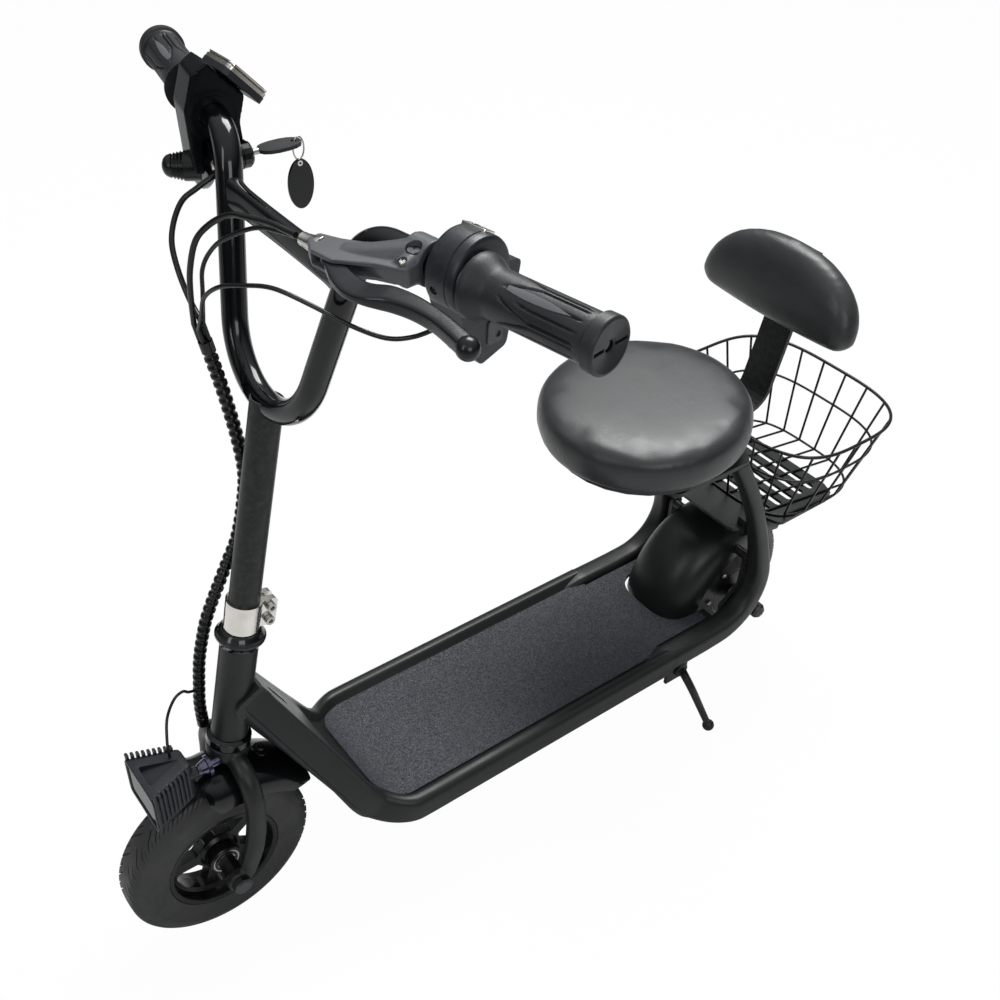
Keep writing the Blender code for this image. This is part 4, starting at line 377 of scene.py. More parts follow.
def prism(outline, low, high, matrix=Matrix.Identity(4)):
    """Extrude a flat outline from low to high along the matrix's local Z."""
    rings = [[matrix @ Vector((x, y, z)) for x, y in outline] for z in (low, high)]
    return loft(rings)


def block(size, matrix=Matrix.Identity(4), radius=0.0):
    width, depth, height = size
    if radius > 0:
        outline = rounded_box(width, depth, radius)
    else:
        outline = [(sx * width / 2, sy * depth / 2) for sx, sy in ((-1, -1), (1, -1), (1, 1), (-1, 1))]
    return prism(outline, -height / 2, height / 2, matrix)


def axes_at(origin, x, y, z):
    """Matrix with its local axes along three directions."""
    return Matrix.Translation(Vector(origin)) @ Matrix((x, y, z)).transposed().to_4x4()


def frame_at(origin, along, side):
    """Matrix with local Z along a direction and local X close to a side direction."""
    z = Vector(along).normalized()
    x = Vector(side)
    x = (x - z * x.dot(z)).normalized()
    return axes_at(origin, x, z.cross(x), z)


def turned(profile, matrix, count=32):
    """Revolve a closed (radius, height) profile about the matrix's local Z."""
    turns = [2 * pi * i / count for i in range(count)]
    return loft([[matrix @ polar(r, a, h) for r, h in profile] for a in turns], closed=True)


def hollow(inner, outer, low, high, matrix, count):
    """Plain tube between two radii and two heights."""
    return turned([(inner, low), (outer, low), (outer, high), (inner, high)], matrix, count)


def rod(radius, low, high, matrix, count=20):
    return prism(circle(radius, count), low, high, matrix)


def spun(profile, matrix, count):
    """Revolve an open profile that starts and ends on the axis."""
    verts, faces = turned(profile, matrix, count)
    size = len(profile)
    return verts, [f for f in faces if {f[0] % size, f[1] % size} != {0, size - 1}]


def flow(corners, radii, step=radians(15)):
    """Open path through 3D corners whose bends are arcs of the given radii."""
    points = [Vector(corners[0])]
    for i in range(1, len(corners) - 1):
        here = Vector(corners[i])
        back = (Vector(corners[i - 1]) - here).normalized()
        ahead = (Vector(corners[i + 1]) - here).normalized()
        angle = back.angle(ahead)
        reach = radii[i - 1] / tan(angle / 2)
        centre = here + (back + ahead).normalized() * radii[i - 1] / sin(angle / 2)
        start = here + back * reach - centre
        end = here + ahead * reach - centre
        turn = pi - angle
        steps = max(2, round(turn / step))
        for k in range(steps + 1):
            part = k / steps
            points.append(centre + (start * sin((1 - part) * turn) + end * sin(part * turn)) / sin(turn))
    points.append(Vector(corners[-1]))
    return points


def smooth(points, count):
    """Even Catmull-Rom curve through given points."""
    knots = [Vector(p) for p in points]
    knots = [knots[0] * 2 - knots[1]] + knots + [knots[-1] * 2 - knots[-2]]
    fine = []
    for i in range(1, len(knots) - 2):
        a, b, c, d = knots[i - 1:i + 3]
        for k in range(24):
            t = k / 24
            fine.append(0.5 * (2 * b + (c - a) * t + (2 * a - 5 * b + 4 * c - d) * t * t
                               + (3 * b - a - 3 * c + d) * t ** 3))
    fine.append(knots[-2])
    lengths = [0.0]
    for p, q in zip(fine, fine[1:]):
        lengths.append(lengths[-1] + (q - p).length)
    even = []
    place = 0
    for i in range(count):
        want = lengths[-1] * i / (count - 1)
        while place < len(fine) - 2 and lengths[place + 1] < want:
            place += 1
        span = lengths[place + 1] - lengths[place]
        even.append(fine[place].lerp(fine[place + 1], (want - lengths[place]) / span))
    return even


def carried_frames(path, side):
    """Frames along a path that turn with it and do not twist."""
    frames = []
    x = Vector(side)
    for i, point in enumerate(path):
        ahead = path[min(i + 1, len(path) - 1)] - path[max(i - 1, 0)]
        frame = frame_at(point, ahead, x)
        x = frame.col[0].to_3d()
        frames.append(frame)
    return frames


def sweep(path, side, section):
    """Carry section(i) along the path; each section is a flat outline across it."""
    rings = []
    for i, frame in enumerate(carried_frames(path, side)):
        rings.append([frame @ Vector((x, y, 0)) for x, y in section(i)])
    return loft(rings)


def pipe(path, radius, count=14, side=(0, 1, 0)):
    return sweep(path, side, lambda i: circle(radius, count))


FRONT_AXLE = Vector((0, 0, TYRE_R))
REAR_AXLE = Vector((-WHEELBASE, 0, TYRE_R))
STEER_DIR = Vector((-sin(RAKE), 0, cos(RAKE)))
STEER_FWD = Vector((cos(RAKE), 0, sin(RAKE)))
ACROSS = Vector((0, 1, 0))
UP = Vector((0, 0, 1))


def on_steering(s, forward=0.0, y=0.0):
    """Point at a distance along the steering axis, moved forward and sideways from it."""
    return FRONT_AXLE + STEER_DIR * s + STEER_FWD * forward + ACROSS * y


def steering_frame(s=0.0):
    return frame_at(on_steering(s), STEER_DIR, STEER_FWD)


def bar_corner(side):
    return on_steering(BAR_CORNER_S, 0, side * BAR_CORNER_Y)


def bar_end(side):
    return on_steering(BAR_CORNER_S + BAR_RISE, -BAR_SWEEP, side * BAR_END_Y)


def bar_frame(side, tilt=0.0):
    """Local X runs outward along the grip, local Y forward from it and local Z up."""
    x = (bar_end(side) - bar_corner(side)).normalized()
    level = UP.cross(x)
    level = level.normalized() * (1 if level.x > 0 else -1)
    lift = level.cross(x).normalized()
    lift = lift * (1 if lift.z > 0 else -1)
    y = level * cos(tilt) - lift * sin(tilt)
    z = level * sin(tilt) + lift * cos(tilt)
    return axes_at(bar_corner(side), x, y, z)


def facing_up(place):
    """1 where a frame's local Y points up and -1 where it points down."""
    return -1 if place.col[1].z < 0 else 1


def around_bar(side, along):
    """Frame on the bar, local Z outward along it and local X forward."""
    base = bar_frame(side)
    return frame_at(base @ Vector((along, 0, 0)), base.col[0].to_3d(), base.col[1].to_3d())


def grip_length():
    return (bar_end(1) - bar_corner(1)).length


def bar_arm_y(s):
    """Sideways place of the handlebar's rising arm at a height along the steering axis."""
    rise = (BAR_CORNER_Y - BAR_BOTTOM_Y) / (BAR_CORNER_S - BAR_BOTTOM_S)
    return BAR_BOTTOM_Y + (s - BAR_BOTTOM_S) * rise


def wheel_frame(axle):
    return frame_at(axle, ACROSS, (1, 0, 0))


def lever_points(opened):
    """Lever centreline in its own plane, turned about the pivot."""
    px, py = LEVER_PIVOT
    c, s = cos(opened), sin(opened)
    return [(px + (x - px) * c - (y - py) * s, py + (x - px) * s + (y - py) * c) for x, y in LEVER_LINE]


def brake_frame(side):
    """Frame of one brake's perch: its tilt about the bar and its place along it."""
    if side > 0:
        return bar_frame(1, LEVER_TILT_LEFT)
    return bar_frame(-1, LEVER_TILT_RIGHT) @ Matrix.Translation((PERCH_SHIFT_RIGHT, 0, 0))


def ball(centre, radius, count):
    steps = count // 2
    profile = [(radius * sin(pi * i / steps), -radius * cos(pi * i / steps)) for i in range(1, steps)]
    return spun([(0.0, -radius), *profile, (0.0, radius)], Matrix.Translation(Vector(centre)), count)


def switch_entry(along):
    """Point on the line where the cable goes into the switch block's inner face."""
    here = around_bar(1, SWITCH_AT)
    return here @ Vector((-0.0060, facing_up(here) * -0.0520, along))


def rocker_frame(frame, flip):
    """Place of the lamp switch on the barrel, local Z out of it and local X along the bar."""
    out = Vector((cos(ROCKER_TURN), flip * sin(ROCKER_TURN), 0))
    middle = Vector((SWITCH_OFFSET[0], flip * SWITCH_OFFSET[1], SWITCH_LENGTH / 2))
    return frame @ frame_at(middle + out * (SWITCH_R - 0.0008), out, (0, 0, 1))


def display_frame():
    base = around_bar(-1, DISPLAY_MIDDLE).translation
    normal = Vector((-sin(DISPLAY_ANGLE), 0, cos(DISPLAY_ANGLE)))
    outward = bar_frame(-1).col[0].to_3d()
    outward = (outward - normal * outward.dot(normal)).normalized()
    down = normal.cross(outward)
    down = down * (1 if down.x < 0 else -1)
    return axes_at(base + Vector((-0.002, 0, 0)) - down * DISPLAY_LIFT, down, outward, normal)


def shell_ring(centre, angle, crown, edge, half, wall, power, count=7):
    """Closed section of a fender at one angle round its axle: outer skin, then inner skin."""
    out = Vector((cos(angle), 0, sin(angle)))
    ring = []
    for skin, order in ((0.0, 1), (wall, -1)):
        for k in range(count):
            a = order * (-pi / 2 + pi * k / (count - 1))
            lift = max(cos(a), 0.0) ** power
            y = (half - skin) * sin(a)
            r = edge + (crown - skin - edge) * lift
            ring.append(centre + out * r + ACROSS * y)
    return ring


def half_width(point):
    """Half width of the deck: narrow at the head tube, full from the neck's foot on."""
    drop = (NECK_TOP[1] - point.z) / (NECK_TOP[1] - DECK_TOP_Z)
    back = hold((NECK_FOOT[0] - 0.005 - point.x) / 0.035)
    width = between(NECK_HALF, WAIST_HALF, max(drop, 0.0) ** 1.06)
    return width + (DECK_HALF - WAIST_HALF) * sin(back * pi / 2)


def deck_normal(points, i):
    ahead = points[min(i + 1, len(points) - 1)] - points[max(i - 1, 0)]
    normal = Vector((ahead.z, 0, -ahead.x)).normalized()
    return normal * (1 if normal.z > 0 else -1)


def along_deck(points, section):
    rings = []
    for i, point in enumerate(points):
        normal = deck_normal(points, i)
        rings.append([point + ACROSS * y + normal * n for y, n in section(i, point)])
    return loft(rings)


def floor_drop(point):
    """Depth of the floor below the rolled edges: nearly flush on the neck."""
    return between(NECK_FLOOR, FLOOR_DROP, hold((TYRE_R + 0.10 - point.z) / 0.07))


def leg_place(index):
    """Place of one point of the leg's route, which is set out from the rear axle."""
    x, z = LEG_ROUTE[index]
    return Vector((x - WHEELBASE, 0, z + TYRE_R))


def seat_frame(base):
    return Matrix.Translation((SEAT_X, 0, base)) @ Matrix.Rotation(SEAT_TILT, 4, "Y")


def above_axle(places):
    """Route whose typed points have heights from the axle; worked-out points stay as they are."""
    return [p if isinstance(p, Vector) else Vector(p) + UP * TYRE_R for p in places]


# Making pieces
SHIFT = Vector((ORIGIN_X, 0, 0))


def placed(name, data):
    """New object of the scene."""
    thing = bpy.data.objects.new(name, data)
    bpy.context.collection.objects.link(thing)
    return thing


def shaded(thing, sharp):
    """Smooth shading, broken at edges that turn more than an angle in degrees."""
    thing.data.shade_smooth()
    thing.data.set_sharp_from_angle(angle=radians(sharp))
    return thing


def shape(name, form, sharp=35.0):
    """Object from (verts, faces), cleaned, facing out and moved to the row's frame."""
    verts, faces = form
    mesh = bpy.data.meshes.new(name)
    mesh.from_pydata([tuple(Vector(v) + SHIFT) for v in verts], [], faces)
    work = bmesh.new()
    work.from_mesh(mesh)
    bmesh.ops.remove_doubles(work, verts=work.verts, dist=1e-6)
    bmesh.ops.dissolve_degenerate(work, edges=work.edges, dist=1e-7)
    bmesh.ops.recalc_face_normals(work, faces=work.faces)
    if work.calc_volume(signed=True) < 0:
        bmesh.ops.reverse_faces(work, faces=work.faces)
    work.to_mesh(mesh)
    work.free()
    return shaded(placed(name, mesh), sharp)


def altered(thing, kind, **values):
    """Give a piece a modifier with its values."""
    made = thing.modifiers.new(kind.lower(), kind)
    for key, value in values.items():
        setattr(made, key, value)
    return thing


def settle(thing, sharp=35.0):
    """Apply the object's modifiers to its mesh."""
    graph = bpy.context.evaluated_depsgraph_get()
    graph.update()
    mesh = bpy.data.meshes.new_from_object(thing.evaluated_get(graph))
    thing.modifiers.clear()
    thing.data = mesh
    return shaded(thing, sharp)


def joined(thing, adds, cuts, sharp):
    """Join forms to a piece, cut others out of it and apply all its modifiers."""
    tools = []
    for operation, forms in (("UNION", adds), ("DIFFERENCE", cuts)):
        for form in forms:
            tools.append(shape("tool", form))
            altered(thing, "BOOLEAN", operation=operation, object=tools[-1])
    settle(thing, sharp)
    for tool in tools:
        bpy.data.objects.remove(tool, do_unlink=True)
    return thing


def carved(name, form, adds=(), cuts=(), sharp=35.0):
    """Shape joined with some forms, then cut by others, as one clean mesh."""
    return joined(shape(name, form, sharp), adds, cuts, sharp)


def fused(name, forms, voxel, rounds, cuts=()):
    """Forms melted into one casting, with soft fillets where they meet."""
    thing = altered(shape(name, merged(*forms)), "REMESH", mode="VOXEL", voxel_size=voxel)
    return joined(altered(thing, "SMOOTH", factor=0.5, iterations=rounds), (), cuts, 50)


def soften(thing, width, segments=2, angle=30.0):
    """Round the edges that turn more than an angle."""
    return altered(thing, "BEVEL", width=width, segments=segments, limit_method="ANGLE",
                   angle_limit=radians(angle), harden_normals=True)


def finish(thing, look):
    thing.data.materials.clear()
    thing.data.materials.append(look)
    return thing


def dress(thing, look, body, slot, *nodes):
    """Give a piece its material and body, and hide the CAD nodes that it stands for; the slot is not used."""
    finish(thing, look)
    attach(thing, body)
    if nodes:
        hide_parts(*nodes)
    return thing


def keep(node, look, width, angle=32.0):
    """A CAD node that stays, with a finished material and rounded edges."""
    soften(shaded(finish(frame["nodes"][node], look), angle), width, 2, angle)


# Materials
def fill(made, **sockets):
    """Set a shader node's inputs by name."""
    for key, value in sockets.items():
        made.inputs[key.replace("_", " ")].default_value = value
    return made


class Skin:
    """A node material built up from the object's own coordinates."""

    def __init__(self, name, color, roughness, metallic=0.0):
        self.material = bpy.data.materials.new(name)
        self.material.use_nodes = True
        self.tree = self.material.node_tree
        self.shader = self.tree.nodes["Principled BSDF"]
        self.color = color
        self.set(Base_Color=(*color, 1.0), Roughness=roughness, Metallic=metallic)
        self.place = self.node("ShaderNodeTexCoord").outputs["Object"]
        self.bump_out = None

    def node(self, kind, **values):
        made = self.tree.nodes.new(kind)
        for key, value in values.items():
            setattr(made, key, value)
        return made

    def link(self, a, b):
        self.tree.links.new(a, b)

    def set(self, **sockets):
        fill(self.shader, **sockets)
        return self

    def noise(self, scale, detail=4.0, rough=0.55, stretch=None):
        texture = fill(self.node("ShaderNodeTexNoise"), Scale=scale, Detail=detail, Roughness=rough)
        source = self.place
        if stretch:
            fit = fill(self.node("ShaderNodeMapping"), Scale=stretch)
            self.link(source, fit.inputs["Vector"])
            source = fit.outputs["Vector"]
        self.link(source, texture.inputs["Vector"])
        return texture.outputs["Fac"]

    def cells(self, scale, feature="F1", output="Distance"):
        texture = fill(self.node("ShaderNodeTexVoronoi", feature=feature), Scale=scale)
        self.link(self.place, texture.inputs["Vector"])
        return texture.outputs[output]

    def span(self, source, low, high, to_low, to_high):
        fit = fill(self.node("ShaderNodeMapRange"), From_Min=low, From_Max=high, To_Min=to_low, To_Max=to_high)
        self.link(source, fit.inputs["Value"])
        return fit.outputs["Result"]

    def mix(self, factor, second):
        """Blend the colour so far towards a second by a factor."""
        blend = self.node("ShaderNodeMix", data_type="RGBA")
        base = self.shader.inputs["Base Color"]
        if base.links:
            self.link(base.links[0].from_socket, blend.inputs[6])
        else:
            blend.inputs[6].default_value = (*self.color, 1.0)
        blend.inputs[7].default_value = (*second, 1.0)
        self.link(factor, blend.inputs[0])
        self.link(blend.outputs[2], base)

    def tint(self, source, low, high, amount, tone):
        """Blend towards a tone as a texture's value runs from low to high."""
        self.mix(self.span(source, low, high, 0.0, amount), tone)

    def rough(self, source, low, high, to_low, to_high):
        self.link(self.span(source, low, high, to_low, to_high), self.shader.inputs["Roughness"])

    def bump(self, source, distance, strength=1.0):
        ridge = fill(self.node("ShaderNodeBump"), Distance=distance, Strength=strength)
        self.link(source, ridge.inputs["Height"])
        if self.bump_out:
            self.link(self.bump_out, ridge.inputs["Normal"])
        self.bump_out = ridge.outputs["Normal"]
        self.link(self.bump_out, self.shader.inputs["Normal"])

    def wear(self, amount, tone):
        """Lighter handling marks on edges that stand proud."""
        edge = self.span(self.node("ShaderNodeNewGeometry").outputs["Pointiness"], 0.53, 0.60, 0.0, amount)
        broken = self.node("ShaderNodeMath", operation="MULTIPLY")
        self.link(edge, broken.inputs[0])
        self.link(self.span(self.noise(180.0, 6.0), 0.45, 0.65, 0.0, 1.0), broken.inputs[1])
        self.mix(broken.outputs["Value"], tone)


def painted(name, color, rough, spread, grain, grain_scale, coat=0.0, specular=0.30):
    """Painted or coated metal: soft tone drift, smudged gloss, orange peel and worn edges."""
    skin = Skin(name, color, rough)
    skin.tint(skin.noise(7.0, 5.0), 0.35, 0.70, 1.0, tuple(c * 1.30 + 0.001 for c in color))
    skin.rough(skin.noise(22.0, 5.0), 0.30, 0.70, rough - spread, rough + spread)
    skin.bump(skin.noise(grain_scale, 3.0), grain)
    skin.wear(0.35, tuple(c * 3.2 + 0.01 for c in color))
    skin.set(Specular_IOR_Level=specular)
    if coat:
        skin.set(Coat_Weight=coat, Coat_Roughness=0.06, Coat_IOR=1.35)
    return skin.material


def moulded(name, color, rough, spread=0.07, grain=0.00010, grain_scale=1600.0):
    """Moulded plastic or rubber with a fine spark-eroded grain."""
    skin = Skin(name, color, rough)
    skin.tint(skin.noise(16.0, 4.0), 0.35, 0.70, 1.0, tuple(c * 1.28 for c in color))
    skin.rough(skin.noise(60.0, 5.0), 0.30, 0.70, rough - spread, rough + spread)
    skin.bump(skin.cells(grain_scale), grain, 0.6)
    skin.wear(0.30, tuple(c * 2.6 + 0.008 for c in color))
    skin.set(Specular_IOR_Level=0.35)
    return skin.material


def metal(name, color, rough, spread):
    """Bare or plated metal with fine brushing along its length."""
    skin = Skin(name, color, rough, 1.0)
    skin.tint(skin.noise(45.0, 6.0), 0.40, 0.75, 1.0, tuple(c * 0.80 for c in color))
    skin.rough(skin.noise(110.0, 6.0), 0.30, 0.70, max(rough - spread, 0.03), rough + spread)
    skin.bump(skin.noise(420.0, 5.0, 0.6, (1.0, 1.0, 0.08)), 0.00004)
    return skin.material


SATIN = painted("satin_powder_coat", (0.0085, 0.0090, 0.0088), 0.40, 0.06, 0.00006, 1500.0)
REAR_SATIN = painted("rear_satin_coat", (0.0060, 0.0064, 0.0064), 0.36, 0.06, 0.00006, 1500.0)
GLOSS = painted("gloss_paint", (0.0016, 0.0018, 0.0026), 0.14, 0.03, 0.00002, 260.0, 0.35)
FENDER_GLOSS = painted("fender_gloss", (0.0024, 0.0027, 0.0034), 0.20, 0.04, 0.00002, 320.0, 0.25)
WIRE_COAT = painted("coated_wire", (0.0030, 0.0032, 0.0034), 0.30, 0.06, 0.00005, 700.0, 0.1)
CONTROL = moulded("control_plastic", (0.0105, 0.0125, 0.0155), 0.36)
BODY = moulded("body_plastic", (0.0090, 0.0100, 0.0115), 0.42)
RIM_BLACK = painted("cast_rim", (0.0030, 0.0032, 0.0036), 0.26, 0.07, 0.00012, 900.0)
GRIP_RUBBER = moulded("grip_rubber", (0.0125, 0.0132, 0.0145), 0.44, 0.08, 0.00012, 1300.0)
CABLE_RUBBER = moulded("cable_rubber", (0.0022, 0.0024, 0.0027), 0.25, 0.06, 0.00003, 1900.0)
LEVER_LOOK = painted("lever_coat", (0.0046, 0.0056, 0.0072), 0.24, 0.05, 0.00003, 600.0, 0.15)
CASTING_LOOK = painted("grey_casting", (0.0620, 0.0660, 0.0700), 0.38, 0.06, 0.00008, 900.0)
# Pale grey: the lamp's emitter and the display button are this colour; on the grips' upper leaves it is a painted
# highlight
PALE_GREY_AND_HIGHLIGHT_LOOK = moulded("grip_inlay", (0.0900, 0.0930, 0.0980), 0.40)
GLOSS_PLASTIC = painted("gloss_housing", (0.0022, 0.0026, 0.0034), 0.24, 0.05, 0.00003, 700.0,
                        specular=0.12)
BRONZE_LOOK = metal("bronze_band", (0.22, 0.16, 0.12), 0.34, 0.06)
CHROME_LOOK = metal("bright_chrome", (0.80, 0.77, 0.72), 0.10, 0.05)
STEEL_LOOK = metal("zinc_steel", (0.50, 0.49, 0.46), 0.30, 0.08)
DARK_STEEL_LOOK = metal("dark_steel", (0.075, 0.075, 0.078), 0.36, 0.08)


def tyre_look():
    skin = Skin("tyre_rubber", (0.0180, 0.0182, 0.0186), 0.56)
    skin.tint(skin.noise(26.0, 6.0, 0.62), 0.42, 0.72, 0.8, (0.030, 0.0295, 0.029))
    skin.rough(skin.noise(48.0, 5.0), 0.30, 0.70, 0.46, 0.64)
    skin.bump(skin.noise(900.0, 5.0, 0.65), 0.00014)
    skin.wear(0.35, (0.050, 0.048, 0.045))
    return skin.material


def vinyl_look():
    """Satin vinyl: pebbled leather grain, soft creases and a faint sheen."""
    skin = Skin("seat_vinyl", (0.0130, 0.0140, 0.0150), 0.38)
    skin.tint(skin.noise(9.0, 5.0), 0.35, 0.70, 1.0, (0.0165, 0.0172, 0.0178))
    skin.rough(skin.noise(30.0, 5.0), 0.30, 0.70, 0.33, 0.45)
    skin.bump(skin.cells(950.0, "SMOOTH_F1"), 0.00016, 0.55)
    skin.bump(skin.noise(38.0, 4.0, 0.5), 0.00050, 0.45)
    skin.set(Sheen_Weight=0.06, Sheen_Roughness=0.5)
    return skin.material


def grit_look():
    """Grip tape: dark slate grains, with a scatter of bright specks painted into the colour as glints."""
    skin = Skin("grit_mat", (0.0100, 0.0122, 0.0170), 0.60)
    skin.tint(skin.cells(760.0, "F1", "Color"), 0.20, 0.95, 1.0, (0.0380, 0.0430, 0.0530))
    # Painted glints: bright specks in the colour stand in for the sparkle of the grains
    skin.tint(skin.noise(520.0, 3.0, 0.8), 0.62, 0.72, 0.8, (0.1700, 0.1850, 0.2100))
    skin.tint(skin.noise(8.0, 4.0), 0.40, 0.75, 0.45, (0.0085, 0.0100, 0.0135))
    skin.rough(skin.noise(600.0, 2.0), 0.35, 0.65, 0.45, 0.92)
    skin.bump(skin.cells(760.0), 0.00045, 0.9)
    return skin.material


def lens_look():
    skin = Skin("clear_lens", (0.006, 0.007, 0.008), 0.05)
    skin.set(Transmission_Weight=0.05, Specular_IOR_Level=0.04)
    skin.rough(skin.noise(300.0, 3.0), 0.3, 0.7, 0.03, 0.09)
    skin.bump(skin.noise(240.0, 2.0, 0.5, (1.0, 1.0, 0.05)), 0.00006)
    return skin.material


def screen_look():
    skin = Skin("screen_glass", (0.0060, 0.0068, 0.0082), 0.09)
    skin.tint(skin.noise(30.0, 4.0), 0.45, 0.75, 0.6, (0.0120, 0.0130, 0.0150))
    skin.rough(skin.noise(140.0, 6.0), 0.40, 0.70, 0.06, 0.16)
    skin.set(Coat_Weight=0.5, Coat_Roughness=0.04)
    return skin.material


def bolt_look():
    """Chrome of the lamp's bolt, with blue reflections painted into its colour."""
    # Painted reflection: the purplish base colour and the blue patches stand in for blue surroundings mirrored in the
    # chrome
    skin = Skin("chrome_with_painted_reflection", (0.16, 0.15, 0.18), 0.14, 1.0)
    skin.tint(skin.noise(70.0, 3.0), 0.44, 0.66, 1.0, (0.05, 0.05, 0.17))
    skin.rough(skin.noise(120.0, 5.0), 0.3, 0.7, 0.08, 0.20)
    skin.bump(skin.noise(380.0, 4.0), 0.00004)
    return skin.material


TYRE = tyre_look()
VINYL_LOOK = vinyl_look()
GRIT_LOOK = grit_look()
LENS_LOOK = lens_look()
SCREEN = screen_look()
# Chrome with a painted blue reflection, for the lamp's bolt
PAINTED_REFLECTION_CHROME = bolt_look()


# Wheels
TREAD_PITCHES = 26
TREAD_DEPTH = 0.0017
TREAD_HALF = 0.0186
TREAD_ROWS = 15
VALVE_TURN = 0.9


def tyre_section():
    """Half section of the tyre from the tread's middle to the bead, as (radius, side, tread row)."""
    rows = []
    for i in range(TREAD_ROWS + 1):
        y = TREAD_HALF * i / TREAD_ROWS
        if y < TREAD_FLAT:
            r = TYRE_R - 0.0006 * (y / TREAD_FLAT) ** 2
        else:
            r = TYRE_R - 0.0006 - 0.0082 * ((y - TREAD_FLAT) / (TREAD_HALF - TREAD_FLAT)) ** 1.7
        rows.append((r, y, True))
    wall = smooth([(0.0912, TREAD_HALF, 0), (0.0880, 0.0202, 0), (0.0830, 0.0214, 0), (0.0770, TYRE_HALF, 0),
                   (0.0700, 0.0214, 0), (0.0640, 0.0207, 0), (RIM_FLANGE_R + GAP, 0.0204, 0)], 15)[1:]
    for k, p in enumerate(wall):
        rib = 0.00035 if k in (2, 3, 10, 11) else 0.0
        rows.append((p.x, min(p.y + rib, TYRE_HALF), False))
    rows += [(RIM_FLANGE_R + GAP, RIM_FLANGE_IN - GAP, False), (RIM_SEAT_R + GAP, RIM_FLANGE_IN - GAP, False)]
    return rows


def tread_cut(row_y, kind):
    """Depth of a groove of one kind where it crosses a row."""
    low, high = ((0.0022, 0.0168), (0.0078, 0.0182), (0.0125, 0.0182))[kind]
    inside = min((row_y - low) / 0.0012, (high - row_y) / 0.0012)
    return TREAD_DEPTH * hold(inside) * (1.0, 0.9, 0.7)[kind]


def tyre_form(axle):
    columns = []
    for middle, kind, half in ((0.10, 0, 0.036), (0.36, 2, 0.020), (0.60, 1, 0.032), (0.84, 2, 0.020)):
        columns += [(middle - half - 0.012, None), (middle - half, kind), (middle + half, kind),
                    (middle + half + 0.012, None)]
    half_rows = tyre_section()
    section = [(r, -y, t) for r, y, t in reversed(half_rows)] + half_rows[1:]
    frame_here = wheel_frame(axle)
    rings = []
    for pitch in range(TREAD_PITCHES):
        for place, kind in columns:
            ring = []
            for r, y, tread in section:
                across = abs(y) / TREAD_HALF
                lean = 1.05 * min(across, 1.0) ** 1.25 + (0.5 if y < 0 else 0.0) * min(1.0, across / 0.12)
                angle = 2 * pi * (pitch + place + lean) / TREAD_PITCHES
                depth = tread_cut(abs(y), kind) if tread and kind is not None else 0.0
                ring.append(frame_here @ polar(r - depth, angle, y))
            rings.append(ring)
    return loft(rings, closed=True)


def wheel_front():
    here = wheel_frame(FRONT_AXLE)
    well = RIM_SEAT_R - RIM_BAND
    profile = [(AXLE_R + RUN, -HUB_HALF), (HUB_R - 0.001, -HUB_HALF), (HUB_R, -HUB_HALF + 0.001),
               (HUB_R + 0.0008, -WEB_HALF - 0.003), (HUB_R + 0.004, -WEB_HALF), (well - 0.004, -WEB_HALF),
               (well, -WEB_HALF - 0.003), (well + 0.0015, -RIM_HALF + 0.001), (well + 0.0025, -RIM_HALF),
               (RIM_FLANGE_R - 0.0006, -RIM_HALF), (RIM_FLANGE_R, -RIM_HALF + 0.0006),
               (RIM_FLANGE_R, -RIM_FLANGE_IN), (RIM_SEAT_R, -RIM_FLANGE_IN)]
    profile = profile + [(r, -h) for r, h in reversed(profile)]
    windows = []
    for i in range(SPOKES):
        middle = 2 * pi * (i + 0.5) / SPOKES
        corners = []
        for radius, order, rounding in ((WINDOW_IN, 1, 0.004), (well - 0.002, -1, 0.006)):
            half = pi / SPOKES - SPOKE_WIDTH / 2 / radius
            for k in ((-1, 0, 1) if radius > 0.03 else (-1, 1)):
                a = middle + order * half * k
                corners.append((radius * cos(a), radius * sin(a), rounding if k else 0.03))
        windows.append(prism(rounded_outline(corners, 4), -0.03, 0.03, here))
    rim = carved("front_rim_cast", turned(profile, here, 96), cuts=[merged(*windows)])
    dress(soften(rim, 0.0007, 2), RIM_BLACK, "front_wheel", "rim_black", "front_rim")
    rings = []
    for side in (-1, 1):
        face = side * (HUB_HALF - 0.0002)
        low, high = sorted((face, face + side * 0.0006))
        rings += [hollow(inner, outer, low, high, here, 48)
                  for inner, outer in ((AXLE_R + RUN + 0.0002, 0.0098), (0.0128, 0.0142))]
    dress(shape("front_bearing_rings", merged(*rings)), STEEL_LOOK, "front_wheel", "steel")
    out = Vector((cos(VALVE_TURN), 0, sin(VALVE_TURN)))
    valve = frame_at(FRONT_AXLE + out * 0.040, out, ACROSS)
    stem = [(0.0, -0.010), (0.0028, -0.010), (0.0028, -0.002), (0.0034, 0.0), (0.0038, 0.0135), (0.0, 0.0135)]
    dress(shape("front_valve", spun(stem, valve, 20)), CABLE_RUBBER, "front_wheel", "tyre")


